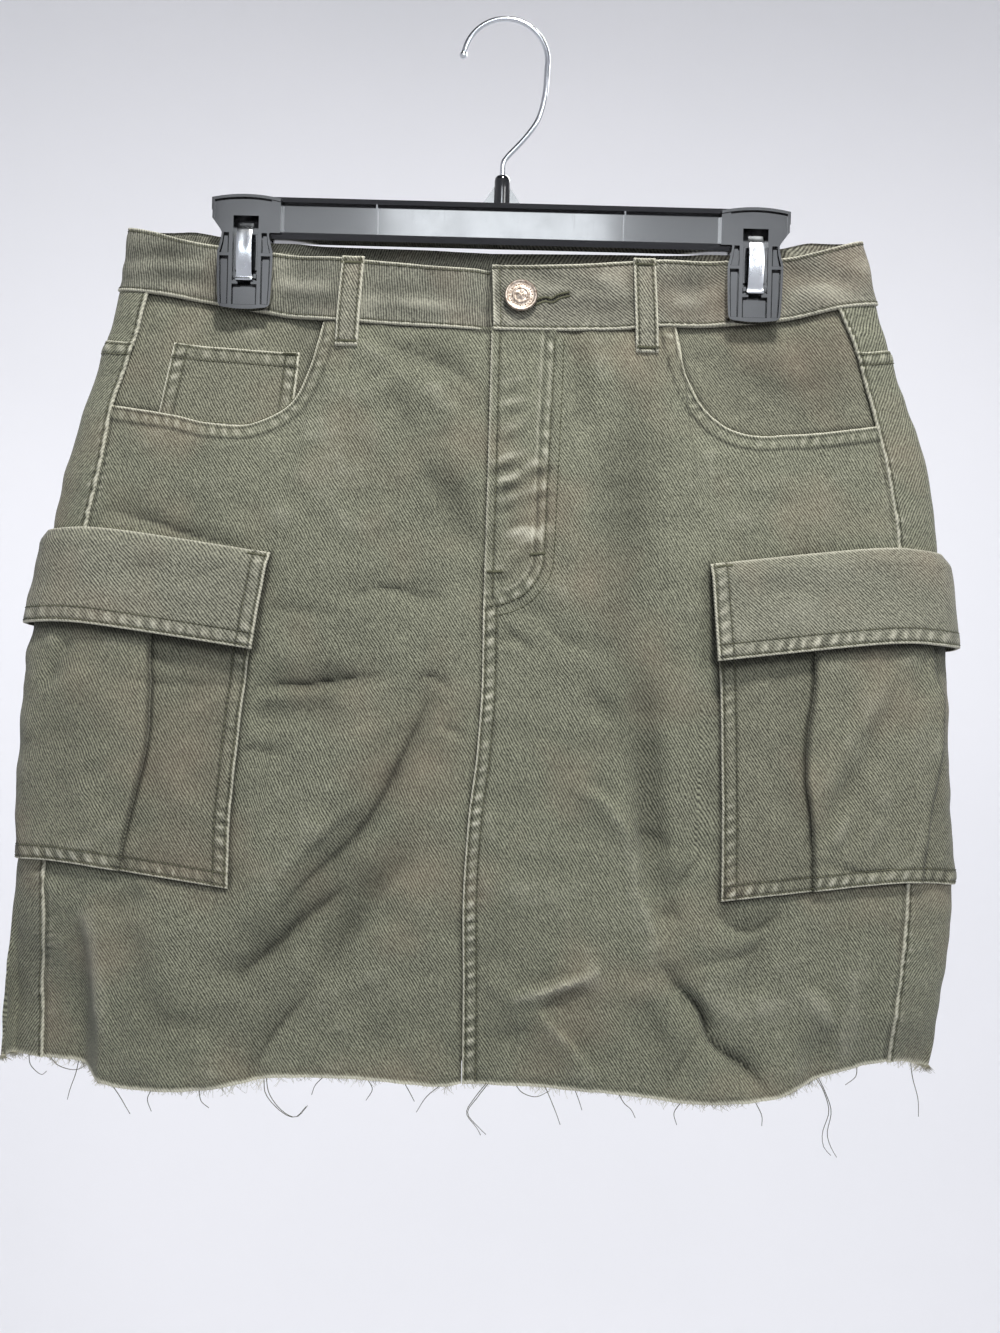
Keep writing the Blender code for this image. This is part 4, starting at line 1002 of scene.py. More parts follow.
class Nodes:
    """Adds nodes to a tree, giving each its inputs as sockets or values."""

    def __init__(self, tree: bpy.types.NodeTree) -> None:
        """Takes the tree to add to."""
        self.tree = tree

    def add(self, kind: str, inputs: dict, **settings: object) -> bpy.types.Node:
        """Adds a node.

        Args:
            kind: the node's type, without the ShaderNode in front.
            inputs: socket names or numbers with what they take.
            settings: the node's own properties.

        Returns:
            The node.
        """
        node = self.tree.nodes.new("ShaderNode" + kind)
        for name, value in settings.items():
            setattr(node, name, value)
        return self.feed(node, inputs)

    def feed(self, node: bpy.types.Node, inputs: dict) -> bpy.types.Node:
        """Gives a node's inputs their sockets or values, and gives the node back.

        Args:
            node: which node.
            inputs: socket names or numbers with what they take.

        Returns:
            The same node.
        """
        for key, value in inputs.items():
            socket = node.inputs[key]
            if isinstance(value, bpy.types.NodeSocket):
                self.tree.links.new(value, socket)
            else:
                socket.default_value = value
        return node

    def group(self, name: str, inputs: dict) -> bpy.types.NodeOutputs:
        """Adds one of the shared groups and gives its outputs."""
        return self.add("Group", inputs, node_tree=GROUPS[name]).outputs

    def math(
        self, operation: str, first: object, second: object = 0.0, third: object = 0.0
    ) -> bpy.types.NodeSocket:
        """Adds a Math node and gives its output."""
        inputs = {0: first, 1: second, 2: third}
        return self.add("Math", inputs, operation=operation).outputs[0]

    def mix(self, share: object, first: object, second: object) -> bpy.types.NodeSocket:
        """Mixes two colours and gives the result."""
        return self.add("Mix", {0: share, 6: first, 7: second}, data_type="RGBA").outputs[2]

    def scaled(self, vector: object, scale: object) -> bpy.types.NodeSocket:
        """Multiplies a colour or place by one number."""
        return self.add("VectorMath", {0: vector, "Scale": scale}, operation="SCALE").outputs[0]

    def bump(self, height: object, strength: float, distance: float) -> bpy.types.NodeSocket:
        """A normal for this relief, its depth in metres."""
        inputs = {"Strength": strength, "Distance": distance, "Height": height}
        return self.add("Bump", inputs).outputs[0]

    def noise(
        self, place: object, scale: float, detail: float = 2.0, rough: float = 0.5
    ) -> bpy.types.NodeSocket:
        """Adds a Noise Texture and gives its 0 to 1 factor."""
        inputs = {"Vector": place, "Scale": scale, "Detail": detail, "Roughness": rough}
        return self.add("TexNoise", inputs).outputs[0]

    def stretched(self, place: object, scale: tuple[float, float, float]) -> bpy.types.NodeSocket:
        """The place scaled along each axis."""
        return self.add("VectorMath", {0: place, 1: scale}, operation="MULTIPLY").outputs[0]

    def ramp(self, value: object, low: float, high: float) -> bpy.types.NodeSocket:
        """Maps low to high onto 0 to 1, clamped."""
        inputs = {"Value": value, "From Min": low, "From Max": high}
        return self.add("MapRange", inputs).outputs[0]


def shared_group(name: str, inputs: dict[str, str], outputs: dict[str, str]) -> tuple:
    """Makes an empty shader node group.

    Args:
        name: the group's name.
        inputs, outputs: socket names with their kinds (Float, Vector or Color).

    Returns:
        The group, its Nodes helper, what it is given and its output node.
    """
    group = bpy.data.node_groups.new(name, "ShaderNodeTree")
    for in_out, sockets in (("INPUT", inputs), ("OUTPUT", outputs)):
        for socket, kind in sockets.items():
            group.interface.new_socket(socket, in_out=in_out, socket_type="NodeSocket" + kind)
    nodes = Nodes(group)
    return group, nodes, group.nodes.new("NodeGroupInput").outputs, group.nodes.new("NodeGroupOutput")


TWILL_DIAGONAL = (0.84, 0.54)  # which way the ribs follow each other


def twill_weave_group() -> bpy.types.NodeTree:
    """The diagonal ribs of a twill: how high each place stands and how much light it holds.

    Returns:
        A group from the cloth's place, rib spacing and unevenness to Height and Shade.
    """
    group, nodes, given, result = shared_group(
        "twill_weave",
        {"Place": "Vector", "Spacing": "Float", "Unevenness": "Float"},
        {"Height": "Float", "Shade": "Float"},
    )
    place = given["Place"]
    x, y, _ = nodes.add("SeparateXYZ", {0: place}).outputs
    level, upright = TWILL_DIAGONAL
    across = nodes.math("MULTIPLY_ADD", x, level, nodes.math("MULTIPLY", y, upright))
    run = nodes.math("MULTIPLY_ADD", x, -upright, nodes.math("MULTIPLY", y, level))
    wander = nodes.math("SUBTRACT", nodes.noise(place, 110, 1), 0.5)
    wander = nodes.math("MULTIPLY", wander, nodes.math("MULTIPLY", given["Unevenness"], 0.0016))
    across = nodes.math("ADD", across, wander)
    phase = nodes.math("MULTIPLY", nodes.math("DIVIDE", across, given["Spacing"]), 2 * math.pi)
    rib = nodes.math("MULTIPLY_ADD", nodes.math("SINE", phase), 0.5, 0.5)
    picks = nodes.math("DIVIDE", y, nodes.math("MULTIPLY", given["Spacing"], 0.42))
    pick = nodes.math("SINE", nodes.math("MULTIPLY", picks, 2 * math.pi))
    turned = nodes.add("CombineXYZ", {0: across, 1: run}).outputs[0]
    slub = nodes.noise(nodes.stretched(turned, (1300, 210, 1)), 1, 2, 0.6)
    height = nodes.math("MULTIPLY_ADD", pick, 0.09, rib)
    height = nodes.math("MULTIPLY_ADD", nodes.math("SUBTRACT", slub, 0.5), 1.3, height)
    patch = nodes.ramp(nodes.noise(place, 700, 3, 0.7), 0.3, 0.7)
    shade = nodes.math("MULTIPLY_ADD", nodes.math("SUBTRACT", patch, 0.5), 0.9, height)
    nodes.feed(result, {"Height": height, "Shade": shade})
    return group


def faded_dye_group() -> bpy.types.NodeTree:
    """A dye that has washed out unevenly, paler on ribs and rubbed places and warmer in patches, with
    painted light on crests and painted shade in grooves and troughs.

    Returns:
        A group from place, ribs, a tone of rubbed places with painted light and shade, and three colours to
        a Color and a Roughness.
    """
    group, nodes, given, result = shared_group(
        "faded_dye_and_shade",
        {
            "Place": "Vector", "Ribs": "Float", "Worn": "Float", "Contrast": "Float",
            "Dye": "Color", "Pale": "Color", "Warm": "Color",
        },
        {"Color": "Color", "Roughness": "Float"},
    )
    place = given["Place"]
    broad = nodes.ramp(nodes.noise(place, 9, 3, 0.6), 0.3, 0.7)
    fine = nodes.ramp(nodes.noise(place, 60, 3, 0.65), 0.25, 0.75)
    ribs = nodes.math("SUBTRACT", given["Ribs"], 0.5)
    ribs = nodes.math("MULTIPLY", ribs, given["Contrast"])
    bright = nodes.math("ADD", ribs, nodes.math("MULTIPLY_ADD", fine, 0.13, 0.935))
    bright = nodes.math("ADD", bright, nodes.math("MULTIPLY_ADD", broad, 0.16, -0.08))
    bright = nodes.math("MAXIMUM", bright, 0.28)
    lit = nodes.scaled(given["Dye"], bright)
    warm = nodes.math("MULTIPLY", nodes.ramp(nodes.noise(place, 14, 2, 0.5), 0.5, 0.72), 0.42)
    dyed = nodes.mix(warm, lit, nodes.mix(0.5, lit, given["Warm"]))
    # above 0 the tone turns paler, for rubbed places and painted light; below 0 it turns darker, for painted
    # shade
    worn, grain = given["Worn"], nodes.math("MULTIPLY_ADD", given["Ribs"], 0.5, 0.72)
    pale = nodes.math("MULTIPLY", nodes.ramp(worn, 0.03, 1.0), grain)
    dark = nodes.ramp(worn, -0.03, -1.0)
    tone = nodes.mix(nodes.math("MULTIPLY", pale, 0.9), dyed, given["Pale"])
    colour = nodes.mix(nodes.math("MULTIPLY", dark, 0.95), tone, nodes.scaled(tone, 0.32))
    nodes.feed(result, {"Color": colour, "Roughness": nodes.math("MULTIPLY_ADD", fine, 0.1, 0.82)})
    return group


def handling_marks_group() -> bpy.types.NodeTree:
    """Fine scratches, smears and dust on a hard surface.

    Returns:
        A group from place and amount to a Roughness to add and a Dust mask.
    """
    group, nodes, given, result = shared_group(
        "handling_marks",
        {"Place": "Vector", "Amount": "Float"},
        {"Roughness": "Float", "Dust": "Float", "Height": "Float"},
    )
    place = given["Place"]
    smear = nodes.ramp(nodes.noise(place, 55, 4, 0.6), 0.35, 0.75)
    scratch = nodes.ramp(nodes.noise(nodes.stretched(place, (900, 900, 60)), 1, 2, 0.5), 0.62, 0.7)
    marks = nodes.math("MAXIMUM", smear, scratch)
    dust = nodes.ramp(nodes.noise(place, 2200, 1, 0.5), 0.68, 0.76)
    nodes.feed(result, {
        "Roughness": nodes.math("MULTIPLY", marks, given["Amount"]),
        "Dust": nodes.math("MULTIPLY", dust, given["Amount"]),
        "Height": nodes.noise(place, 420, 3, 0.6),
    })
    return group


GROUPS = {
    "twill": twill_weave_group(),
    # the dye group also paints light and shade from the cloth's tone
    "dye": faded_dye_group(),
    "marks": handling_marks_group(),
}


def new_material(name: str) -> tuple[bpy.types.Material, Nodes, bpy.types.Node]:
    """A material with its Nodes helper and its Principled shader.

    Args:
        name: the material's name.

    Returns:
        All three.
    """
    material = bpy.data.materials.new(name)
    material.use_nodes = True
    return material, Nodes(material.node_tree), material.node_tree.nodes["Principled BSDF"]


@dataclass(frozen=True)
class TwillFinish:
    """A faded cotton twill: its colours, how it is turned on the piece and its ribs."""

    name: str
    dye: tuple[int, int, int] = (122, 123, 106)
    pale: tuple[int, int, int] = (196, 194, 176)
    warm: tuple[int, int, int] = (150, 126, 108)
    turned: float = 0
    spacing: float = 1.4
    contrast: float = 1.2

    @functools.cache
    def material(self) -> bpy.types.Material:
        """The cloth's material, made once.

        Returns:
            The material.
        """
        material, nodes, shader = new_material(self.name)
        place = nodes.add("UVMap", {}, uv_map="cloth").outputs[0]
        worn = nodes.add("Attribute", {}, attribute_name="worn").outputs["Fac"]
        ribs = nodes.group("twill", {"Place": place, "Spacing": self.spacing * MM, "Unevenness": 1.0})
        # the faded dye, with the painted light and shade from the tone
        dye = nodes.group("dye", {
            "Place": place, "Ribs": ribs["Shade"], "Worn": worn, "Contrast": self.contrast,
            "Dye": linear(self.dye), "Pale": linear(self.pale), "Warm": linear(self.warm),
        })
        nodes.feed(shader, {
            "Base Color": dye["Color"], "Roughness": dye["Roughness"],
            "Normal": nodes.bump(ribs["Height"], 0.7, 0.0003),
            "Sheen Weight": 0.12, "Specular IOR Level": 0.25,
        })
        return material


@dataclass(frozen=True)
class ThreadFinish:
    """Matte twisted yarn."""

    name: str
    light: tuple[int, int, int]
    dark: tuple[int, int, int]

    @functools.cache
    def material(self) -> bpy.types.Material:
        """The yarn's material, made once.

        Returns:
            The material.
        """
        material, nodes, shader = new_material(self.name)
        place = nodes.add("TexCoord", {}).outputs["Object"]
        twist = nodes.noise(nodes.stretched(place, (2500, 2500, 2500)), 1, 1)
        fade = nodes.ramp(nodes.noise(place, 40, 2), 0.3, 0.7)
        nodes.feed(shader, {
            "Base Color": nodes.mix(fade, linear(self.dark), linear(self.light)),
            "Normal": nodes.bump(twist, 0.5, 0.00008), "Roughness": 0.85, "Specular IOR Level": 0.25,
        })
        return material


@dataclass(frozen=True)
class HardFinish:
    """Plastic or metal with the marks of handling."""

    name: str
    colour: tuple[int, int, int]
    roughness: float
    metallic: float = 0.0
    marks: float = 0.12
    coat: float = 0.0
    relief: float = 0.00003
    tarnish: tuple[int, int, int] | None = None

    @functools.cache
    def material(self) -> bpy.types.Material:
        """The hard surface's material, made once.

        Returns:
            The material.
        """
        material, nodes, shader = new_material(self.name)
        place = nodes.add("TexCoord", {}).outputs["Object"]
        marks = nodes.group("marks", {"Place": place, "Amount": self.marks})
        # this colour is the one that dust specks, and on the button the tarnish, take; no light or shade is
        # painted on hard finishes
        worn = self.tarnish or tuple(min(255, channel + 26) for channel in self.colour)
        share = marks["Dust"]
        if self.tarnish:
            share = nodes.ramp(nodes.noise(place, 700, 3, 0.6), 0.42, 0.62)
        nodes.feed(shader, {
            "Base Color": nodes.mix(share, linear(self.colour), linear(worn)),
            "Roughness": nodes.math("ADD", marks["Roughness"], self.roughness),
            "Normal": nodes.bump(marks["Height"], 0.4, self.relief),
            "Metallic": self.metallic, "Coat Weight": self.coat, "Coat Roughness": 0.08,
        })
        return material


PANEL = TwillFinish("panel_twill", dye=(112, 113, 97))
POCKET = TwillFinish("pocket_twill", dye=(114, 114, 98))
FLAP = TwillFinish("flap_twill", dye=(116, 116, 102), turned=-12)
FACING = TwillFinish("facing_twill", dye=(108, 108, 93))
WAIST_LEFT = TwillFinish("waist_twill_left", dye=(110, 110, 98), turned=33)
WAIST_RIGHT = TwillFinish("waist_twill_right", dye=(112, 111, 99), turned=-17)
LOOP = TwillFinish("loop_twill", dye=(122, 121, 107))
SEWING_THREAD = ThreadFinish("sewing_thread", (104, 104, 84), (66, 67, 52))
LOOSE_YARN = ThreadFinish("loose_yarn", (192, 188, 168), (130, 128, 110))
DARK_YARN = ThreadFinish("dark_yarn", (92, 92, 76), (60, 60, 48))
BLACK_PLASTIC = HardFinish(
    "moulded_plastic", (13, 14, 17), 0.14, coat=0.8, marks=0.08, relief=0.000008
)
CHROME = HardFinish("plated_wire", (214, 217, 221), 0.12, 1.0, marks=0.1)
SPRING_STEEL = HardFinish("bright_spring", (226, 230, 233), 0.2, 1.0, marks=0.16)
BUTTON_METAL = HardFinish(
    "worn_button", (178, 167, 156), 0.4, 1.0, marks=0.2, relief=0.00003, tarnish=(128, 113, 100)
)


# ---- The pieces ----

SEAM_TUCK = 1.8  # how far a piece runs on beneath the one that laps it
ALL = slice(None)


def settle(angles_at: Callable, edge: Callable, start: float, rounds: int = 6) -> Array:
    """The height where each column meets an edge.

    Args:
        angles_at: the columns' angles at given heights.
        edge: the edge's height for x and whether it is in front.
        start: a first guess.
        rounds: how often it is read again.

    Returns:
        A height for each column.
    """
    heights = np.full(len(np.atleast_1d(angles_at(start))), float(start))
    for _ in range(rounds):
        angles = angles_at(heights)
        heights = edge(FORM.points(angles, heights)[..., 0], np.sin(angles) > 0)
    return heights


def rows_between(tops: Array, bottoms: Array, shares: Array) -> Array:
    """Heights of each column's rows between its top and bottom."""
    return tops[:, None] + (bottoms - tops)[:, None] * shares[None, :]


def to_path(path: Array, flat: Array) -> tuple[Array, Array, Array]:
    """How far places lie from a drawn line.

    Args:
        path: (points, 2), the line.
        flat: (..., 2), the places.

    Returns:
        The distance to the line, the length along it to the nearest spot, and whether the place
        lies to the left of the line's run.
    """
    best = np.full(flat.shape[:-1], 1e9)
    along = np.zeros(flat.shape[:-1])
    left = np.zeros(flat.shape[:-1], bool)
    passed = 0.0
    for start, end in zip(path, path[1:]):
        step = end - start
        length = float(np.hypot(*step))
        share = np.clip(((flat - start) @ step) / length**2, 0, 1)
        gap = np.linalg.norm(flat - (start + share[..., None] * step), axis=-1)
        along = np.where(gap < best, passed + share * length, along)
        across = step[0] * (flat[..., 1] - start[1]) - step[1] * (flat[..., 0] - start[0])
        left = np.where(gap < best, across > 0, left)
        best = np.minimum(best, gap)
        passed += length
    return best, along, left


def smooth_path(points: Sequence[Sequence[float]], step: float = 1.5) -> Array:
    """A curve through points in the plane, by Catmull-Rom, at even steps.

    Args:
        points: in the order of the curve.
        step: the millimetres between the new points.

    Returns:
        (points, axes).
    """
    knots = np.array(points, float)
    padded = np.concatenate([[2 * knots[0] - knots[1]], knots, [2 * knots[-1] - knots[-2]]])
    t = np.linspace(0, 1, 12, endpoint=False)[:, None]
    curve = [
        0.5 * (2 * b + (c - a) * t + (2 * a - 5 * b + 4 * c - d) * t**2 + (3 * b - a - 3 * c + d) * t**3)
        for a, b, c, d in zip(padded, padded[1:], padded[2:], padded[3:])
    ]
    return resample(np.concatenate(curve + [knots[-1:]]), step)


def beside(path: Array, distance: float) -> Array:
    """The path moved sideways in the plane, + to the right of its run.

    Args:
        path: (points, 2).
        distance: how far.

    Returns:
        The moved points.
    """
    along = np.gradient(path, axis=0)
    along /= np.linalg.norm(along, axis=1, keepdims=True)
    return path + distance * np.stack([along[:, 1], -along[:, 0]], axis=1)


def on_front(path: Array, offset: float = 0.5) -> Array:
    """Points on the front of the form from x and height."""
    return FORM.surface(FORM.angle_at(path[:, 0], path[:, 1]), path[:, 1], np.full(len(path), offset))


@dataclass
class Waistband:
    """Half of the waistband. The left half runs under the right one at the front."""

    side: Side
    proud: float = 0.6
    thickness: float = 2.6
    overlap_edge: float = -4.2
    underlap_end: float = 32
    underlap_step: float = 3.1
    underlap_from: tuple[float, float] = (-14, 8.8)
    reference: float = -145
    width: float = 35
    # the part pressed flat in a clip's jaws, and how soon its creases come back beside it
    clip_half: float = 13
    clip_blend: float = 8
    slit_stitch: float = 1.7
    creases: tuple[Crease, ...] = crease_rows(
        (-206, -139, -168, -136, 4, -1.5), (-203, -147, -165, -141, 5, 1.3),
        (-190, -150, -160, -152, 4, -1.0), (-122, -150, -92, -156, 5, 1.2),
        (-120, -160, -90, -164, 4, -0.9), (-74, -150, -30, -153, 5, -0.9),
        (-70, -160, -20, -164, 4, 0.9), (92, -150, 122, -142, 5, -1.2),
        (98, -158, 124, -151, 5, 1.1), (30, -150, 70, -146, 5, 1.1),
        (34, -163, 76, -160, 4, -0.9), (158, -135, 196, -141, 5, -1.2),
        (160, -148, 200, -146, 5, 1.1), (20, -145, 58, -152, 3.2, -1.0),
    )

    def build(self) -> bpy.types.Object:
        """Makes the band, its thread, and on the right half the buttonhole.

        Returns:
            The piece.
        """
        sign = self.side.value
        left = self.side is Side.LEFT
        start_x = self.underlap_end if left else self.overlap_edge
        start = float(FORM.angle_at(start_x, self.reference))
        end = float(FORM.angle_at(sign * 0.15, self.reference, front=False, side=sign))
        columns = spread(440, 2.1, FOLDED if left else SEWN, TUCKED)
        angles = FORM.crowded(self.reference, start, end, columns)
        top_line = Hoop(WAIST_TOP_LEFT if left else WAIST_TOP_RIGHT, WAIST_TOP_BACK)
        tops, foots = (settle(lambda _: angles, edge, self.reference) for edge in (top_line, WAIST_SEAM))
        heights = rows_between(tops, foots, spread(self.width, 1.9, SEWN[:9], SEWN[:9]))
        x = FORM.points(angles[:, None], heights)[..., 0]
        seat = np.full(heights.shape, self.proud)
        if left:
            begin, length = self.underlap_from
            front = np.sin(angles[:, None]) > 0
            seat = seat - np.where(front, self.underlap_step * smooth_step((x - begin) / length), 0)
        name, word = "waistband_", self.side.word
        sheet = Sheet(name + word, angles[:, None], heights, seat, self.thickness, f"{name}thread_{word}")
        top = SewnEdge(rows=(2.0,), thick=0.3, pucker=0.2, wavelength=4.6, seed=3 + sign)
        foot = SewnEdge(rows=(1.9,), thick=0.5, pucker=0.24, wavelength=5.4, seed=8 + sign, worn=1.2)
        sheet.sew(top, sheet.from_top, sheet.from_start, stitched=ALL)
        sheet.sew(foot, sheet.from_foot, sheet.from_start, stitched=ALL)
        if not left:
            end_edge = SewnEdge(rows=(4.2,), thick=0.7, pucker=0.34, wavelength=4.8, seed=5, worn=1.1)
            sheet.sew(end_edge, sheet.from_start, sheet.from_top, stitched=slice(5, -5))
            slit_away, _, _ = to_path(self.slit, np.stack([x, heights], axis=-1))
            slit_away = np.where(sheet.front, slit_away, 99)
            sheet.mark(slit_away, 0.9, out=-0.7)
            # painted shade in the buttonhole's slit
            sheet.mark(slit_away, 1.3, worn=-1.6)
        else:
            # painted shade on the left half beside the right half's end, which laps over it
            sheet.mark(x - self.overlap_edge + 1.2, 1.7, worn=-1.1, share=sheet.front)
        held = smooth_step((np.abs(np.abs(x) - FORM.clip_reach) - self.clip_half) / self.clip_blend)
        before = sheet.offset.copy()
        # painted light on the crests of the creases and waves and painted shade in their troughs
        sheet.crease(self.creases, painted_tone=0.27)
        sheet.crumple(Ripple(21 + sign, 8, 24, stretch=2.6), 0.34, painted_tone=np.where(sheet.front, 0.16, 0.08))
        sheet.offset = before + (sheet.offset - before) * held
        skin = sheet.stitch()
        if not left:
            self.sew_buttonhole(sheet.thread, skin)
        return sheet.finish(WAIST_LEFT if left else WAIST_RIGHT, ["hanger_bar", f"front_panel_{word}"])

    @property
    def slit(self) -> Array:
        """The buttonhole's slit, from under the button to its tail."""
        return smooth_path(((19.5, -160.4), (25, -158.2), (29, -158.8), (33, -156.4), (38.5, -155)), 0.45)

    def sew_buttonhole(self, thread: Stitching, skin: BVHTree) -> None:
        """Sews the part of the keyhole buttonhole that shows beside the button.

        Args:
            thread: the band's thread.
            skin: the cloth beneath.
        """
        for edge in (-self.slit_stitch, self.slit_stitch):
            near = on_front(beside(self.slit, 0.3 * edge))
            for spot, outward in zip(near, on_front(beside(self.slit, edge))):
                thread.stitch(Vector(spot), Vector(outward), skin, arch=0.5)


def row_at(outer: Array, distances: Array, distance: float, axis: int) -> Array:
    """A row on a sheet at a distance from one edge.

    Args:
        outer: the sheet's outer points.
        distances: of every point from that edge.
        distance: of the row.
        axis: 1 where the edge runs along the columns' ends, 0 where it is the first column.

    Returns:
        Points in millimetres.
    """
    if axis == 0:
        outer, distances = outer.swapaxes(0, 1), distances.T
    path = []
    for points, away in zip(outer, distances):
        if away[0] > away[-1]:
            points, away = points[::-1], away[::-1]
        if away[-1] >= distance:
            path.append([np.interp(distance, away, points[:, i]) for i in range(3)])
    return np.array(path)


def front_x(side: Side, fraction: Array, height: Array) -> Array:
    """The x of a share of the way from the centre seam to the side seam."""
    near = CENTRE_SEAM(height) + side.value * 0.15
    return near + (SIDE_SEAM[side](height) - side.value * 0.15 - near) * fraction


def front_edge(side: Side, fractions: Array, edge: Line, start: float) -> Array:
    """The height where each column of a front panel meets an edge that reads x.

    Args:
        side: which panel.
        fractions: the columns' shares of its width.
        edge: heights by x.
        start: a first guess.

    Returns:
        A height for each column.
    """
    heights = np.full(len(fractions), float(start))
    for _ in range(6):
        heights = edge(front_x(side, fractions, heights))
    return heights


def mouth_line(side: Side) -> tuple[Line, float]:
    """The pocket mouth's height by share of the panel's width, and where it starts.

    Args:
        side: which pocket.

    Returns:
        The line and the share at the waist.
    """
    points = []
    for x, height in POCKET_MOUTH[side]:
        near, far = front_x(side, 0.0, height), front_x(side, 1.0, height)
        points.append((float((x - near) / (far - near)), height))
    return Line(tuple(points)), min(points)[0]


FRONT_FOLDS = fold_rows(
    (((-214, -279), (-190, -284), (-165, -292), (-140, -298), (-128, -303)), -2.6, 8, 3, 2.2),
    (((-79, -325), (-65, -320), (-53, -319.4), (-39, -323), (-25, -323)), -2.0, 2.2, 3.5),
    (((-121, -331), (-101, -333), (-80, -334.5)), -1.9, 6, 4),
    (((-128, -373.5), (-112, -373), (-101, -372.5), (-85, -370), (-70, -368), (-58, -366)), -3.6, 2.6, 4.5),
    (((-126, -389), (-108, -388), (-92, -385), (-80, -380)), -2.6, 6, 7),
    (((-132, -407), (-118, -409), (-104, -409)), -1.9, 4, 5),
    (
        ((-120, -494), (-106, -472), (-96, -460), (-84, -448.5), (-72, -438.5), (-61, -427), (-50, -409),
         (-40, -388), (-33, -374)),
        2.4, 15, 4.5,
    ),
    (
        ((-112, -499), (-98, -481), (-82, -465), (-67, -448), (-57.5, -433), (-47.5, -412), (-38.5, -392),
         (-30, -374)),
        -3.4, 4.5, 9, 1.5,
    ),
    (
        ((-136, -534), (-122, -523), (-110, -513), (-100, -502), (-91, -495), (-82, -487.5), (-73, -480)),
        -3.8, 5, 4, 1.5,
    ),
    (((-94, -538), (-80, -520), (-68, -497), (-58, -482), (-49, -472), (-38, -456)), -3.2, 11, 5, 1.4),
    (((-126, -586), (-112, -562), (-100, -547), (-88, -533)), -3.0, 15, 4, 1.3),
    (((-66, -570), (-50, -562), (-36, -551)), -2.2, 12, 6),
    (((-185, -556), (-165, -557), (-135, -565)), -2.3, 8, 6),
    (((-206, -500), (-184, -486)), -2.9, 6, 5),
    (((-42, -252), (-30, -262), (-22, -276), (-12, -297)), -2.4, 6, 8, 1.5),
    (((-70, -183), (-42, -190), (-22, -199), (-8, -210)), -1.8, 4, 8, 1.6),
    (((-62, -212), (-52, -222), (-42, -240)), -1.8, 7, 7, 1.2),
    (((-44, -204), (-32, -216), (-18, -224)), 1.6, 8, 6),
    (((40, -182), (47, -205), (52, -232)), -1.5, 6, 6, 1.4),
    (((-26, -392), (-18, -395), (-11, -400)), -2.0, 3, 3.5),
    (((-43, -371), (-35, -366.5), (-28, -368), (-18, -374)), -2.3, 3, 3),
    (((-2, -344), (8, -345), (16, -345)), -1.9, 2.5, 3),
    (((4, -336), (14, -344), (26, -353)), -2.0, 2.5, 3.5),
    (((2, -350), (20, -352)), 1.3, 3, 3),
    (((30, -338), (40, -345), (52, -349)), -1.5, 3, 5),
    (((50, -375), (66, -383), (78, -401)), -2.6, 6, 8),
    (
        ((58, -330), (68, -352), (80, -371), (85, -395), (88, -430), (91, -452), (95, -474), (101, -496)),
        -2.6, 8, 9, 1.3,
    ),
    (((80, -446), (90, -450), (101, -456)), -1.6, 4, 4.5, 1.0),
    (((90, -489), (108, -493)), -1.6, 4, 4.5, 1.0),
    (
        ((44, -422), (54, -426.5), (63, -431), (70, -438), (77, -447), (81, -460), (82.5, -480), (88, -493),
         (94, -508), (100, -521)),
        3.2, 4, 6,
    ),
    (((52, -419), (62, -423), (72, -431)), -1.9, 5, 3),
    (
        ((98, -519), (107, -531.7), (115, -538), (120.5, -547), (125, -558), (133, -565.5), (145, -574),
         (160, -590)),
        -4.0, 2.2, 3.2, 1.2,
    ),
    (((106, -523), (113, -530), (121, -536), (127, -547), (132, -557), (142, -566)), 1.8, 8, 3),
    (((12, -539), (30, -536), (42, -531.5), (52, -528), (66, -521)), 3.2, 3.4, 4.5, 1.8),
    (((14, -533), (30, -529), (44, -525), (56, -520)), -2.2, 7, 3),
    (((24, -545), (32, -544), (44, -537), (56, -530)), -2.4, 3, 9),
    (((27, -543), (38, -552), (50, -564), (63, -582)), 2.4, 4, 4),
    (((32, -543), (44, -553), (56, -565), (68, -580)), -2.6, 9, 3),
    (((2, -527), (10, -539)), 1.7, 4, 4),
    (((0, -563), (30, -559)), -2.3, 5, 8),
    (((84, -536), (92, -550), (99, -563), (104, -576)), -2.8, 5, 12),
    (((98, -589), (110, -569), (118, -553)), -2.2, 8, 4),
    (((134, -543), (154, -505), (166, -485)), -2.2, 9, 10),
    (((125, -488), (131, -494), (138, -498), (150, -497), (162, -488)), -3.2, 9, 3.4, 1.4),
    (((108, -519), (120, -517), (143, -512), (153, -503)), -2.4, 6, 3.6),
    (((164, -525), (182, -539), (190, -555)), 2.6, 5, 6),
    (((102, -479), (108, -470), (116, -460)), -2.2, 4, 5),
    (((120, -308), (150, -300), (185, -294), (212, -291)), -1.8, 7, 3, 1.5),
)


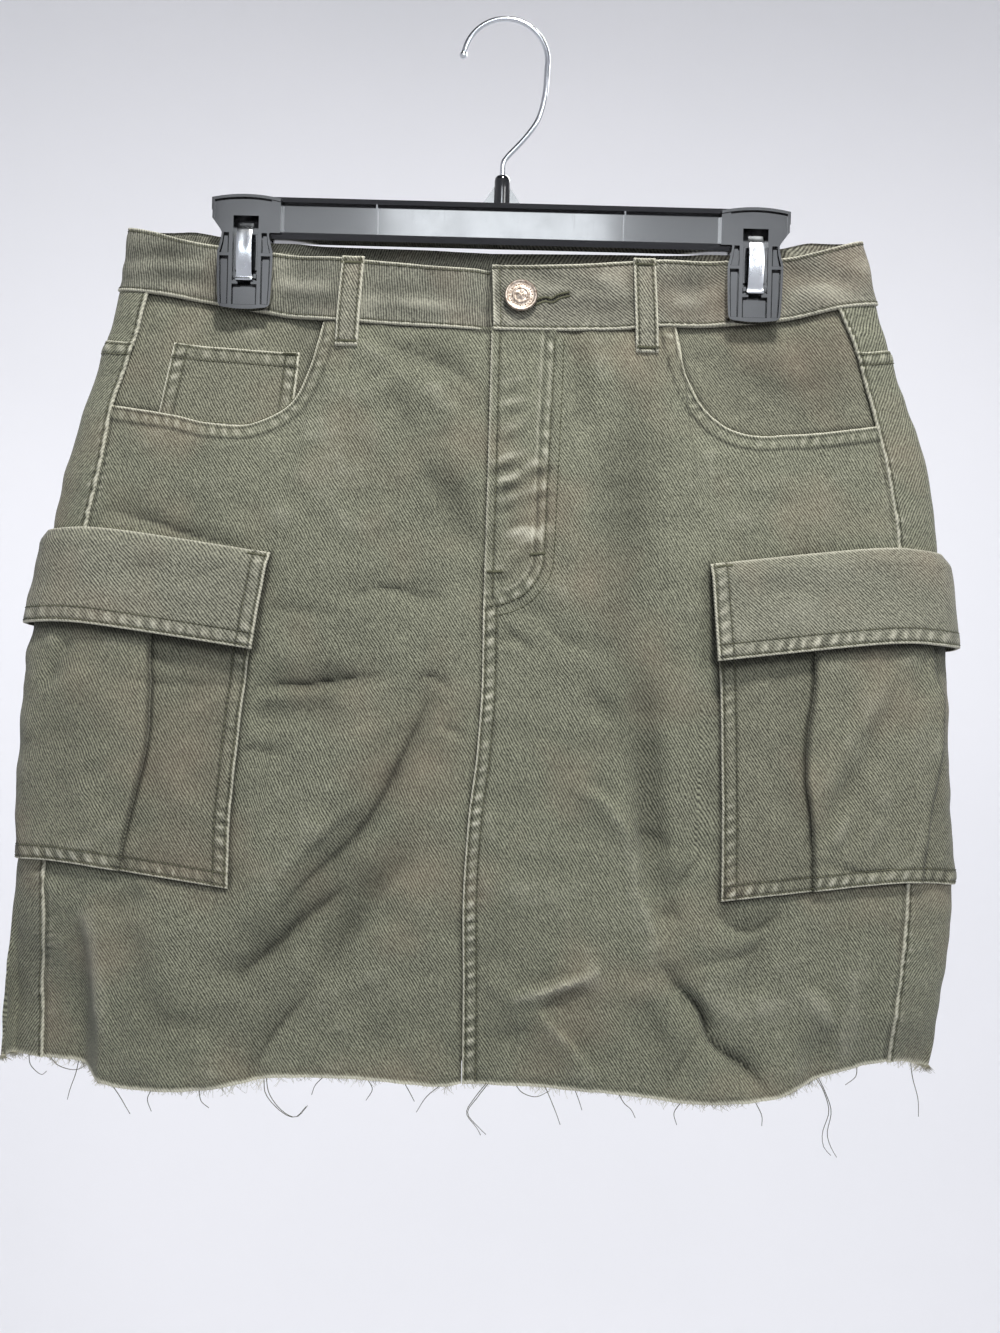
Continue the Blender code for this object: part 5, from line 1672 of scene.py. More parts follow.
@dataclass
class FrontPanel:
    """A front panel with its pocket mouth, and on the right the fly and the centre seam."""

    side: Side
    thickness: float = 1.2
    width: float = 214
    mouth_rows: tuple[float, float] = (2.1, 8.2)
    seam_rows: tuple[float, float] = (1.8, 7.6)
    fly_end: float = -327.5
    fly_row: float = 5.0
    # how far inside the fly's J its second row runs
    inner_row: float = 5.2
    fly_bumps: Table = (
        (9.5, -209, 0.8), (8.5, -221, 1.0), (9, -235, 0.9), (6, -252, 1.7), (8, -263, 2.2),
        (24, -254, 1.7), (25, -268, 0.9), (24, -287, -1.3), (14, -287, -1.2), (8, -274, 0.9),
        (14, -303, 0.9), (20, -296, 0.8), (4, -312, 1.2),
    )
    fine_creases: tuple[Crease, ...] = crease_rows(
        (-28, -196, -14, -214, 4, 1.4), (-44, -184, -20, -200, 4.5, -1.5),
        (-70, -186, -48, -204, 5, 1.1), (40, -182, 46, -226, 5, -1.2),
        (56, -182, 62, -236, 6, 1.1), (22, -330, 60, -352, 5, -1.1),
        (-165, -176, -150, -196, 5, 1.0), (-128, -178, -118, -200, 5, -0.9),
        (-190, -505, -175, -560, 8, -1.6), (-215, -500, -205, -560, 5, 2.0),
        (205, -520, 196, -575, 6, 1.6), (-150, -560, -146, -592, 7, 1.2),
        (73, -222, 71, -340, 13, -2.2), (48, -235, 45, -310, 8, 1.1),
        (100, -250, 97, -310, 9, 1.3), (-36, -205, -22, -245, 9, 1.3),
    )

    @property
    def fly_outline(self) -> Array:
        """The outer row of the fly's J, from the waist to the centre seam."""
        return smooth_path((
            (31.5, -177), (30.5, -215), (29.4, -255), (28.3, -298), (27, -308), (22.5, -316),
            (16, -322.5), (7, -326.6), (-1.5, -328.2),
        ))

    def columns(self, mouth_start: float) -> Array:
        """Shares across the panel, crowded at the fly and at the steep end of the pocket mouth.

        Args:
            mouth_start: the share where the mouth meets the waist.

        Returns:
            Growing shares from 0 to 1.
        """
        width = self.width
        mouth = mouth_start * width
        steps = [np.array(SEWN if self.side is Side.RIGHT else FOLDED)]
        if self.side is Side.RIGHT:
            steps.append(np.arange(13.4, 36, 1.2))
        begin = steps[-1][-1]
        count = round((mouth - begin) / 1.8)
        steps.append(np.linspace(begin, mouth, count + 1)[1:])
        steps.append(mouth + 0.4 * np.arange(1, 9))
        steps.append(mouth + 3.2 + 0.7 * np.arange(1, 13))
        begin = steps[-1][-1]
        end = width - 4
        steps.append(np.linspace(begin, end, round((end - begin) / 1.7) + 1)[1:])
        steps.append(width - np.array([2.6, 1.6, 0.8, 0]))
        return np.concatenate(steps) / width

    def build(self) -> bpy.types.Object:
        """Makes the panel and its thread.

        Returns:
            The piece.
        """
        side, sign = self.side, self.side.value
        mouth, mouth_start = mouth_line(side)
        fractions = self.columns(mouth_start)
        waist = front_edge(side, fractions, WAIST_SEAM_FRONT, -174) + SEAM_TUCK
        tops = np.where(fractions <= mouth_start + 1e-6, waist, mouth(fractions))
        bottoms = front_edge(side, fractions, HEM_FRONT, -588)
        shares = spread(400, 2.0, SEWN, (0, 0.7, 1.8, 3.4))
        heights = rows_between(tops, bottoms, shares)
        angles = FORM.angle_at(front_x(side, fractions[:, None], heights), heights)
        word = side.word
        sheet = Sheet(f"front_panel_{word}", angles, heights, 0.0, self.thickness, f"front_thread_{word}")
        x, height = sheet.spot
        flat = np.stack([x, height], axis=-1)
        mouth_path = smooth_path(POCKET_MOUTH[side])
        away, along, _ = to_path(mouth_path, flat)
        mouth_edge = SewnEdge(
            rows=self.mouth_rows, thick=0.75, pucker=0.26, wavelength=6.4, seed=11 + sign, worn=1.0
        )
        below_waist = smooth_step((WAIST_SEAM_FRONT(x) - height) / 1.5)
        sheet.sew(mouth_edge, away, along, below_waist)
        under = fractions[:, None] <= mouth_start
        sheet.mark(sheet.from_top, 2.4, out=-0.7, share=under)
        # painted shade along the foot of the waistband
        sheet.mark(sheet.from_top - SEAM_TUCK - 0.5, 1.3, worn=-1.1, share=under)
        away_from_pocket, _, _ = to_path(CargoPocket(side).outline(), flat)
        # painted shade along the outline of the pocket and flap: a dark line and a wider soft band
        sheet.mark(away_from_pocket, 1.4, worn=-1)
        sheet.mark(away_from_pocket, 6, worn=-0.25)
        gathers = below_waist * Ripple(31, 9, 17)(x, 0.25 * height)
        sheet.mark(WAIST_SEAM_FRONT(x) - height - 3, 9, out=0.35, share=gathers)
        side_edge = SewnEdge(rows=(2.4,), thick=0.0, pucker=0.3, wavelength=5.2, seed=17 + sign, worn=0.0)
        sheet.sew(side_edge, sheet.from_end, sheet.from_top)
        sheet.mark(sheet.from_end, 1.4, out=-0.9)
        if side is Side.RIGHT:
            self.shape_fly(sheet, flat)
        else:
            sheet.mark(sheet.from_start, 1.5, out=-1.3)
            # painted shade along the centre edge, where it runs under the right panel
            sheet.mark(sheet.from_start, 1.8, worn=-0.5)
        # painted light on crests and painted shade in troughs; the main creases add more painted shade in
        # theirs
        sheet.crease(self.fine_creases, painted_tone=0.1)
        sheet.crease(FRONT_FOLDS, painted_tone=0.105)
        for crease in MAIN_CREASES:
            sheet.worn += 0.05 * np.minimum(crease.lift(x, height, sheet.front), 0)
        sheet.crumple(Ripple(41 + sign, 14, 40), 0.4, painted_tone=0.05)
        sheet.crumple(Ripple(44 + sign, 5, 11), 0.08, painted_tone=0.04)
        sheet.mark(sheet.from_foot, 1.5, worn=2, share=1 + 0.25 * Ripple(5, 3, 9)(x, height))
        sheet.mark(sheet.from_foot - 3.2, 1.4, worn=-0.3)
        sheet.mark(sheet.from_foot, 5, out=0.5, share=Ripple(6, 12, 30)(x, 0 * x))
        skin = sheet.skin()
        for distance in self.mouth_rows:
            sheet.thread.run(on_front(beside(mouth_path, -sign * distance)[3:-2]), skin)
        if side is Side.RIGHT:
            self.sew_fly(sheet.thread, skin)
        return sheet.finish(PANEL, [f"waistband_{word}"])

    def shape_fly(self, sheet: Sheet, flat: Array) -> None:
        """Raises the fly's layers inside its J and the felled centre seam below it.

        Args:
            sheet: the right panel.
            flat: each place's x and height.
        """
        x, height = flat[..., 0], flat[..., 1]
        away, along, _ = to_path(self.fly_outline, flat)
        inside = (x < np.interp(height, self.fly_outline[::-1, 1], self.fly_outline[::-1, 0])) & (
            height > self.fly_end
        )
        signed = np.where(inside, away, -away)
        sheet.offset += 0.55 * smooth_step((signed + 0.6) / 1.6)
        waves = SewnEdge(wavelength=9.5, seed=23).waves(along, away)
        # the puckers' crests are paler, partly rubbed and partly painted light, with painted shade in their
        # hollows
        sheet.mark(signed - self.inner_row / 2, 2.6, out=0.42, worn=0.5, share=waves)
        for row in (0.0, self.inner_row):
            # painted shade in each row's groove, and a paler strip beside it
            sheet.mark(signed - row, 0.8, out=-0.36, worn=-0.7)
            sheet.mark(signed - row - 1.6, 0.9, worn=0.35)
        fly = smooth_step((height - self.fly_end) / 6)
        fly_edge = SewnEdge(rows=(self.fly_row,), thick=0.35, pucker=0.12, wavelength=11, seed=29, worn=0.55)
        seam = SewnEdge(rows=self.seam_rows, thick=0.6, pucker=0.55, wavelength=7.0, seed=31, worn=0.95)
        sheet.sew(fly_edge, sheet.from_start, sheet.from_top, fly)
        sheet.sew(seam, sheet.from_start, sheet.from_top, 1 - fly)
        # painted shade in the dents beside the fly
        for place_x, place_z, depth in self.fly_bumps:
            slanted = height - place_z - 0.3 * (x - place_x)
            dent = (bell(slanted, 2.6) - 0.6 * bell(slanted - 5, 2.4)) * depth
            sheet.mark(x - place_x, 7, out=-0.36, worn=-0.6, share=dent)

    def sew_fly(self, thread: Stitching, skin: BVHTree) -> None:
        """Sews the fly's J, its edge row, the centre seam and the two bar tacks.

        Args:
            thread: the panel's thread.
            skin: the cloth beneath.
        """
        outline = self.fly_outline
        thread.run(on_front(outline[1:]), skin)
        inner = beside(outline, -self.inner_row)
        inner = inner[(inner[:, 0] > 0) & (inner[:, 1] < -178)]
        thread.run(on_front(inner), skin)
        levels = np.linspace(-178, -322, 60)
        thread.run(on_front(np.stack([CENTRE_SEAM(levels) + self.fly_row, levels], 1)), skin)
        levels = np.linspace(self.fly_end - 1, -585, 120)
        for distance in self.seam_rows:
            thread.run(on_front(np.stack([CENTRE_SEAM(levels) + distance, levels], 1)), skin)
        for start, end in (((20.5, -299.5), (28.5, -298.5)), ((-2.5, -309.5), (5.5, -309))):
            thread.tack(on_front(np.array([start, end])), 1.7, skin)


@dataclass
class PocketFacing:
    """The cloth behind a pocket mouth."""

    side: Side
    depths: tuple[float, float] = (-2.75, -2.45)
    thickness: float = 0.9
    underlay: float = 11
    creases: tuple[Crease, ...] = crease_rows(
        (-150, -172, -156, -200, 6, -0.9), (-136, -176, -128, -198, 6, 0.8),
        (128, -172, 140, -205, 6, -0.8), (160, -175, 172, -210, 7, 0.8),
        (-190, -175, -196, -215, 5, -0.7), (186, -180, 194, -215, 5, -0.7),
    )

    def build(self) -> bpy.types.Object:
        """Makes the facing.

        Returns:
            The piece.
        """
        side = self.side
        mouth, mouth_start = mouth_line(side)
        width = abs(float(SIDE_SEAM[side](-200) - CENTRE_SEAM(-200)))
        reach = self.underlay / width
        fractions = np.linspace(mouth_start - reach * 0.8, 1, 64)
        tops = front_edge(side, fractions, WAIST_SEAM_FRONT, -166) + SEAM_TUCK
        bottoms = mouth(np.minimum(fractions + reach, 1)) - self.underlay
        heights = rows_between(tops, bottoms, np.linspace(0, 1, 38))
        angles = FORM.angle_at(front_x(side, fractions[:, None], heights), heights)
        depth = self.depths[side is Side.RIGHT]
        sheet = Sheet(f"pocket_facing_{side.word}", angles, heights, depth, self.thickness)
        # painted light on crests and painted shade in troughs
        sheet.crease(self.creases, painted_tone=0.1)
        sheet.crumple(Ripple(51 + side.value, 12, 30), 0.16, painted_tone=0.08)
        x, height = sheet.spot
        away, _, _ = to_path(smooth_path(POCKET_MOUTH[side]), np.stack([x, height], -1))
        # painted shade below the pocket mouth's edge and along the waistband's foot
        sheet.mark(away, 2.2, worn=-0.9)
        sheet.mark(sheet.from_top - SEAM_TUCK - 0.5, 1.4, worn=-1)
        return sheet.finish(FACING, [f"waistband_{side.word}"])


@dataclass
class CoinPocket:
    """The small patch pocket on the left facing. Its foot lies behind the pocket mouth."""

    top: Table = ((-110.2, -189.0), (-178.6, -185.4))
    foot: Table = ((-112.5, -233.0), (-186.5, -233.0))
    depth: float = -1.65
    thickness: float = 0.7

    def build(self) -> bpy.types.Object:
        """Makes the pocket and its thread.

        Returns:
            The piece.
        """
        across = spread(68, 1.7, SEWN, SEWN)[:, None]
        down = spread(46, 1.7, SEWN, TUCKED)[None, :]

        def place(axis: int) -> Array:
            """The x or height of each place, between the pocket's corners.

            Args:
                axis: 0 for x, 1 for height.

            Returns:
                (columns, rows).
            """
            upper = self.top[0][axis] + (self.top[1][axis] - self.top[0][axis]) * across
            lower = self.foot[0][axis] + (self.foot[1][axis] - self.foot[0][axis]) * across
            return upper + (lower - upper) * down

        x, heights = place(0), place(1)
        sheet = Sheet("coin_pocket", FORM.angle_at(x, heights), heights, self.depth, self.thickness)
        sides = SewnEdge(rows=(1.6, 7.8), thick=0.3, pucker=0.3, wavelength=7.5, seed=61)
        top = SewnEdge(rows=(1.8, 8.6), thick=0.35, pucker=0.22, wavelength=9, seed=63, worn=1.0)
        sheet.sew(sides, sheet.from_start, sheet.from_top, stitched=slice(4, -8))
        sheet.sew(sides, sheet.from_end, sheet.from_top, stitched=slice(4, -8))
        sheet.sew(top, sheet.from_top, sheet.from_start, stitched=ALL)
        sheet.offset = np.maximum(sheet.offset * 0.8, -0.6)
        skin = sheet.stitch()
        for ends in (((-169, -186.6), (-177, -186.2)), ((-112, -190.2), (-119, -189.8))):
            sheet.thread.tack(on_front(np.array(ends), self.depth + 0.8), 1.6, skin)
        return sheet.finish(FACING, ["pocket_facing_left"])


BACK_FOLDS = fold_rows(
    (((-188, -262), (-150, -254), (-108, -262), (-70, -268)), -2.4, 6, 8, 1.2),
    (((-168, -290), (-128, -284), (-92, -290)), -1.8, 5, 6, 1.2),
    (((58, -258), (98, -250), (140, -256), (184, -252)), -2.6, 6, 8, 1.2),
    (((84, -286), (120, -278), (158, -282)), -1.9, 5, 6, 1.2),
    (((-120, -352), (-86, -343), (-50, -348)), -2.2, 2.8, 4.5, 1.2),
    (((36, -338), (72, -332), (112, -340)), -2.2, 2.8, 4.5, 1.2),
    (((-176, -470), (-140, -440), (-104, -404), (-82, -372)), -2.8, 9, 5, 1.3),
    (((-150, -556), (-116, -520), (-88, -486), (-66, -452)), -3.4, 4, 8, 1.3),
    (((-60, -578), (-44, -548), (-36, -512)), -2.6, 9, 6, 1.2),
    (((58, -380), (78, -418), (92, -456), (98, -500)), -2.8, 6, 9, 1.3),
    (((104, -508), (126, -536), (142, -562), (150, -590)), -3.4, 3, 5, 1.2),
    (((14, -520), (40, -508), (70, -506)), 2.4, 4, 5, 1.4),
    (((18, -532), (44, -522), (72, -520)), -2.4, 3, 6, 1.2),
    (((150, -404), (168, -440), (174, -480)), -2.2, 7, 7, 1.2),
    (((-30, -250), (-22, -284), (-26, -320)), -1.8, 6, 6, 1.2),
    (((168, -560), (190, -540), (208, -512)), -2.4, 7, 6, 1.2),
    front=False,
)


@dataclass
class Back:
    """One side of the back: a yoke above and a panel below, from the side seam to the centre."""

    side: Side
    thickness: float = 1.2
    reference: float = -330
    creases: tuple[Crease, ...] = crease_rows(
        (-60, -300, -92, -350, 8, -1.6, False), (-40, -420, -80, -470, 7, 1.8, False),
        (70, -340, 100, -400, 8, 1.6, False), (50, -450, 92, -500, 7, -1.8, False),
        (-120, -500, -150, -560, 8, -1.8, False), (120, -520, 150, -570, 7, 1.7, False),
        (-10, -250, -30, -300, 7, 1.1, False), (14, -260, 40, -310, 7, -1.1, False),
        (-150, -300, -120, -380, 9, 1.5, False), (165, -300, 140, -390, 9, -1.4, False),
        (0, -480, -30, -540, 6, 1.5, False), (60, -560, 84, -590, 6, 1.6, False),
    )

    def angles(self, heights: Array, shares: Array) -> Array:
        """Angles from the side seam to the centre back for each column and row.

        Args:
            heights: (columns, rows).
            shares: the columns' way from seam to seam.

        Returns:
            An angle for each place.
        """
        sign = self.side.value
        seam = FORM.angle_at(SIDE_SEAM[self.side](heights) - sign * 1.2, heights)
        ends = FORM.angle_at(sign * 0.15, heights, front=False, side=sign)
        start = float(FORM.angle_at(SIDE_SEAM[self.side](self.reference), self.reference))
        end = float(FORM.angle_at(sign * 0.15, self.reference, front=False, side=sign))
        even = (FORM.crowded(self.reference, start, end, shares) - start) / (end - start)
        return seam + (ends - seam) * even[:, None]

    def sheet(self, name: str, top: Callable, bottom: Callable, rows: Array) -> Sheet:
        """One piece of the back between two edges.

        Args:
            name: of its solid.
            top, bottom: the edges' heights for x and whether it is in front.
            rows: shares from top to bottom.

        Returns:
            The sheet.
        """
        shares = spread(300, 2.8, SEWN[:12], SEWN)

        def columns(heights: Array) -> Array:
            """The columns' angles at these heights."""
            return self.angles(np.broadcast_to(heights, len(shares))[:, None], shares)[:, 0]

        heights = rows_between(settle(columns, top, -180), settle(columns, bottom, -400), rows)
        return Sheet(name, self.angles(heights, shares), heights, 0.0, self.thickness)

    def build(self) -> list[bpy.types.Object]:
        """Makes the yoke and the panel with their thread.

        Returns:
            The pieces.
        """
        word, sign = self.side.word, self.side.value
        side_edge = SewnEdge(rows=(2.3,), thick=0.75, pucker=0.42, wavelength=4.9, seed=71 + sign, worn=0.7)
        centre = SewnEdge(rows=(1.8, 7.8), thick=0.6, pucker=0.4, wavelength=7.4, seed=75)
        yoke = self.sheet(
            f"back_yoke_{word}",
            lambda x, front: WAIST_SEAM(x, front) + SEAM_TUCK,
            lambda x, front: YOKE_SEAM(x, front) - SEAM_TUCK,
            spread(40, 2.2, FOLDED, FOLDED),
        )
        panel = self.sheet(
            f"back_panel_{word}", YOKE_SEAM, HEM, spread(390, 3.0, SEWN, (0, 0.7, 1.8, 3.4)),
        )
        right = self.side is Side.RIGHT
        for sheet in (yoke, panel):
            sheet.sew(side_edge, sheet.from_start, sheet.from_top, stitched=ALL)
            if right:
                sheet.sew(centre, sheet.from_end, sheet.from_top, stitched=ALL)
            else:
                sheet.mark(sheet.from_end, 1.5, out=-1.3)
            # painted light on crests and painted shade in troughs
            sheet.crease(self.creases, painted_tone=0.08)
            sheet.crease(BACK_FOLDS, painted_tone=0.105)
            sheet.crumple(Ripple(81 + sign, 14, 40), 0.36, painted_tone=0.05)
        seam = SewnEdge(rows=(1.8, 7.6), thick=0.6, pucker=0.28, wavelength=8, seed=85)
        panel.sew(seam, panel.from_top, panel.from_start, stitched=ALL)
        panel.mark(panel.from_foot, 1.8, worn=0.8)
        yoke.mark(yoke.from_top, 2.4, out=-0.7)
        yoke.mark(yoke.from_foot, 2.2, out=-0.7)
        yoke.stitch()
        panel.stitch()
        return [yoke.finish(PANEL, [f"waistband_{word}"]), panel.finish(PANEL, [f"back_yoke_{word}"])]


@dataclass
class BeltLoop:
    """A folded strip sewn down over the waistband with a bar tack at each end."""

    name: str
    front: bool
    top_x: float
    foot_x: float
    width: float = 12.3
    thickness: float = 1.5
    clearance: float = 0.75
    loft: float = 0.9
    band_step: float = 0.75
    arch: float = 1.5
    tail: float = 14

    def build(self) -> bpy.types.Object:
        """Makes the loop and its thread.

        Returns:
            The piece.
        """
        top_line = WAIST_TOP_LEFT if self.top_x < 0 else WAIST_TOP_RIGHT
        top_line = top_line if self.front else WAIST_TOP_BACK
        seam = float((WAIST_SEAM_FRONT if self.front else WAIST_SEAM_BACK)(self.top_x))
        top = float(top_line(self.top_x)) + 0.8
        shares = spread(53, 1.0, FOLDED, FOLDED)
        levels = top + (seam - self.tail - top) * shares
        middle = self.top_x + (self.foot_x - self.top_x) * shares
        across = (spread(self.width, 0.9, FOLDED[:6], FOLDED[:6]) - 0.5) * self.width
        heights = np.repeat(levels[None, :], len(across), axis=0)
        side = -1 if self.top_x <= 0 else 1
        angles = FORM.angle_at(middle[None, :] + across[:, None], heights, self.front, side)
        on_band = smooth_step((heights - seam + 5) / 4)
        arch = self.arch * np.sin(math.pi * shares) ** 0.7
        seat = self.clearance + self.loft + self.band_step * on_band + arch[None, :]
        sheet = Sheet(self.name, angles, heights, seat, self.thickness, pitch=2.7)
        edge = SewnEdge(rows=(2.0,), thick=0.45, roll=1.0, pucker=0.22, wavelength=4.6, worn=0.9, seed=91)
        sheet.sew(edge, sheet.from_start, sheet.from_top, stitched=slice(3, -3))
        sheet.sew(edge, sheet.from_end, sheet.from_top, stitched=slice(3, -3))
        end = SewnEdge(rows=(2.2,), thick=0.2, roll=1.0, pucker=0.0, worn=1.0, seed=92)
        sheet.sew(end, sheet.from_foot, sheet.from_start)
        sheet.sew(end, sheet.from_top, sheet.from_start)
        skin, outer = sheet.stitch(), sheet.outer()
        for row in (row_at(outer, sheet.from_foot, 2.4, 1), row_at(outer, sheet.from_top, 4.0, 1)):
            sheet.thread.tack(row[[1, -2]], 1.7, skin, pitch=0.5)
        return sheet.finish(LOOP, [f"waistband_{'left' if side < 0 else 'right'}"])


# the pleat's two folds: distance from the side seam by height
PLEATS: dict[Side, tuple[Line, Line]] = {
    Side.LEFT: (
        Line((
            (-472, 43), (-452, 47), (-428, 51.5), (-398, 55), (-370, 53), (-353, 50), (-301, 47),
        )),
        Line((
            (-472, -11), (-440, -17), (-406, -25), (-385, -26), (-366, -21), (-345, -15),
            (-301, -14),
        )),
    ),
    Side.RIGHT: (
        Line((
            (-472, 53), (-444, 54), (-428, 55.5), (-410, 58), (-390, 57), (-356, 52), (-301, 50),
        )),
        Line(((-472, -5), (-436, -8.5), (-402, -15), (-372, -17), (-352, -12), (-301, -10))),
    ),
}


@dataclass
class CargoPocket:
    """A bellows pocket across the side seam, its pleat held by two folds, and its flap.

    Distances run round the skirt from the side seam, + towards the front.
    """

    side: Side
    front_edge: float = 104
    back_edge: float = -78
    top: float = -301
    bottom: float = -472
    rows: tuple[float, float] = (1.7, 8.0)
    seat: float = 1.05
    rise: float = 4.2
    pressed: float = 0.45
    belly: float = 1.6
    flap_top: float = -290
    flap_bottom: float = -342.5
    flap_margin: float = 2.5
    flap_thickness: float = 1.8
    flap_lift: float = 3.4
    tack_length: float = 9.5
    tilt: float = 0.135
    tilt_rounding: float = 18
    # about where the pleat's two folds are, and how far from them it is level again
    pleat: tuple[float, float] = (50, -12)
    lap: float = 4
    # distance past the fold's edge and share of the rise, from the base up and over the fold
    fold: Table = (
        (5, 0), (4, 0), (3, 0), (2.2, 0), (1.2, 0), (0.2, 0.02), (-0.8, 0.06), (-1.5, 0.16),
        (-1.2, 0.32), (-0.2, 0.42), (0.8, 0.5), (1.3, 0.64), (1.4, 0.8), (1.0, 0.93), (0.2, 1),
        (-1, 1.02), (-2.4, 1), (-4, 1),
    )
    creases: tuple[Crease, ...] = crease_rows(
        (224, -367, 183, -441, 6, -2.0), (206, -372, 176, -428, 6, 1.3),
        (236, -352, 228, -384, 4, -1.6), (196, -400, 214, -430, 5, 1.2),
        (188, -452, 196, -430, 4, 1.6), (205, -455, 214, -440, 4, 1.1),
        (140, -396, 158, -420, 5, -1.0), (-229, -352, -240, -376, 4.5, -2.6),
        (-238, -350, -232, -366, 3.5, 1.4), (-225, -398, -245, -402, 7, -1.3),
        (-222, -418, -214, -452, 8, 1.3), (-168, -380, -150, -384, 6, -0.8),
        (-170, -420, -156, -446, 8, 0.9), (-210, -462, -232, -466, 4, 1.2),
    )

    pocket_folds: tuple[Fold, ...] = fold_rows(
        (((-206, -370), (-180, -373), (-160, -373.5), (-128, -374)), -1.6, 4, 2.5),
        (((166, -466), (185, -463), (205, -466), (224, -464)), -1.8, 2, 2),
        (((-192, -352), (-176, -362), (-160, -366)), -1.2, 5, 4),
    )
    flap_folds: tuple[Fold, ...] = fold_rows(
        (((-168, -320), (-137, -306)), -1.2, 4, 4), (((140, -313), (182, -316)), -1.0, 5, 5),
        (((-200, -312), (-176, -309)), -0.9, 4, 5), (((196, -300), (222, -306)), -1.0, 5, 5),
    )

    def place(self, distances: Array, levels: Array) -> tuple[Array, Array]:
        """Angles and heights of places on the pocket, tilted square to the flared seam.

        Args:
            distances: round from the side seam.
            levels: heights at the seam.

        Returns:
            Angles and heights on the form.
        """
        rounded = np.sqrt(distances**2 + self.tilt_rounding**2) - self.tilt_rounding
        heights = levels - self.tilt * rounded
        return FORM.from_seam(self.side, distances, heights), heights

    def columns(self, levels: Array, margin: float, folded: bool) -> tuple[Array, Array]:
        """Each column's distance and how far up the pleat it is.

        Args:
            levels: the rows' heights at the side seam.
            margin: how far past the pocket's edges the columns reach.
            folded: whether they follow the folds' undercuts or pass smoothly over them.

        Returns:
            Distances and shares of the pleat's rise, both (columns, rows).
        """
        first, last = PLEATS[self.side]
        first, last = first(levels), last(levels)
        fold = np.array(self.fold)
        reach = fold[0, 0]
        near, far = self.pleat
        front = spread(self.front_edge + margin - near - reach, 2.3, SEWN, TUCKED)
        back = spread(far - reach - self.back_edge + margin, 2.3, TUCKED, SEWN)
        middle = np.linspace(0, 1, 26)[1:-1]
        past, lift = fold.T
        if not folded:
            past = np.interp(lift, (0, 1), (self.lap, -self.lap))

        def between(near: Array | float, far: Array | float, shares: Array) -> Array:
            """Columns these shares of the way from one place to another."""
            return near + (far - near) * shares[:, None]

        distances = np.concatenate([
            between(self.front_edge + margin, first + reach, front[:-1]),
            first + past[:, None],
            between(first - self.lap, last + self.lap, middle),
            last - past[::-1, None],
            between(last - reach, self.back_edge - margin, back[1:]),
        ])
        shares = [0 * front[:-1], lift, 0 * middle + 1, lift[::-1], 0 * back[1:]]
        return distances, np.repeat(np.concatenate(shares)[:, None], len(levels), axis=1)

    def outline(self) -> Array:
        """The front edge of the flap and pocket and the pocket's foot, as x and height."""
        levels = np.linspace(self.flap_top, self.bottom, 40)
        reach = self.front_edge + np.where(levels > self.flap_bottom, self.flap_margin, 0)
        edge = FORM.points(*self.place(reach, levels))
        foot = FORM.points(*self.place(np.linspace(self.front_edge, 0, 30), np.full(30, self.bottom)))
        return np.concatenate([edge, foot])[:, [0, 2]]

    def swell(self, levels: Array) -> Array:
        """0 at the pocket's top and foot and 1 at its middle."""
        return np.sin(math.pi * np.clip((self.top - levels) / (self.top - self.bottom), 0, 1))

    def rise_at(self, distances: Array, shares: Array, levels: Array) -> Array:
        """How far the pocket's cloth stands off its seat.

        Args:
            distances: round from the side seam.
            shares: how far up the pleat each place is.
            levels: heights of the rows.

        Returns:
            Millimetres outwards.
        """
        swell = self.swell(levels)[None, :]
        over = np.clip((distances - self.back_edge) / (self.front_edge - self.back_edge), 0, 1)
        pleat = self.rise * shares * (self.pressed + (1 - self.pressed) * swell)
        return pleat + self.belly * np.sin(math.pi * over) * swell

    def build(self) -> list[bpy.types.Object]:
        """Makes the pocket and the flap."""
        return [self.build_pocket(), self.build_flap()]

    def build_pocket(self) -> bpy.types.Object:
        """Makes the pocket and its thread.

        Returns:
            The piece.
        """
        word, sign = self.side.word, self.side.value
        levels = self.top + (self.bottom - self.top) * spread(171, 2.3, TUCKED, SEWN)
        distances, shares = self.columns(levels, 0, True)
        angles, heights = self.place(distances, np.broadcast_to(levels, distances.shape))
        seat = self.seat + self.rise_at(distances, shares, levels) + 1.2
        name = f"cargo_pocket_{word}"
        sheet = Sheet(name, angles, heights, seat, thread_name=f"cargo_pocket_thread_{word}")
        front = SewnEdge(rows=self.rows, thick=0.35, pucker=0.5, wavelength=7.1, seed=101 + sign, worn=0.9)
        foot = SewnEdge(rows=self.rows, thick=0.35, pucker=0.45, wavelength=7.6, seed=105 + sign, worn=1.0)
        sheet.sew(front, self.front_edge - distances, sheet.from_top)
        sheet.sew(front, distances - self.back_edge, sheet.from_top)
        sheet.sew(foot, sheet.from_foot, distances)
        # a paler line on the pleat's folded edge, partly rubbed and partly painted light
        sheet.mark(shares - 0.85, 0.1, worn=0.45)
        # painted shade in the pleat's undercut and beside its folds
        sheet.mark(shares - 0.22, 0.16, worn=-1.5)
        first, last = (line(levels)[None, :] for line in PLEATS[self.side])
        beside_fold = np.minimum(np.abs(distances - first - 1.2), np.abs(distances - last + 1.2))
        sheet.mark(beside_fold, 1.4, worn=-1.1)
        # painted light on crests and painted shade in troughs
        sheet.crease(self.creases, painted_tone=0.1)
        sheet.crease(self.pocket_folds, painted_tone=0.14)
        sheet.crumple(Ripple(111 + sign, 12, 34), 0.36, painted_tone=0.06)
        # painted shadow of the flap over the pocket's top
        sheet.mark(np.minimum(levels - self.flap_bottom + 1, 0), 3.4, worn=-1.3)
        skin, outer = sheet.skin(), sheet.outer()
        flat_part = shares[:, 0] == 0
        flat_row = flat_part | (shares[:, 0] == 1)
        for distance in self.rows:
            for away in (self.front_edge - distances, distances - self.back_edge):
                row = row_at(outer[flat_part], away[flat_part], distance, 0)[:-6]
                sheet.thread.run(row, skin)
            sheet.thread.run(row_at(outer, sheet.from_foot, distance, 1)[flat_row], skin)
        return sheet.finish(POCKET, [f"front_panel_{word}", f"back_panel_{word}"])

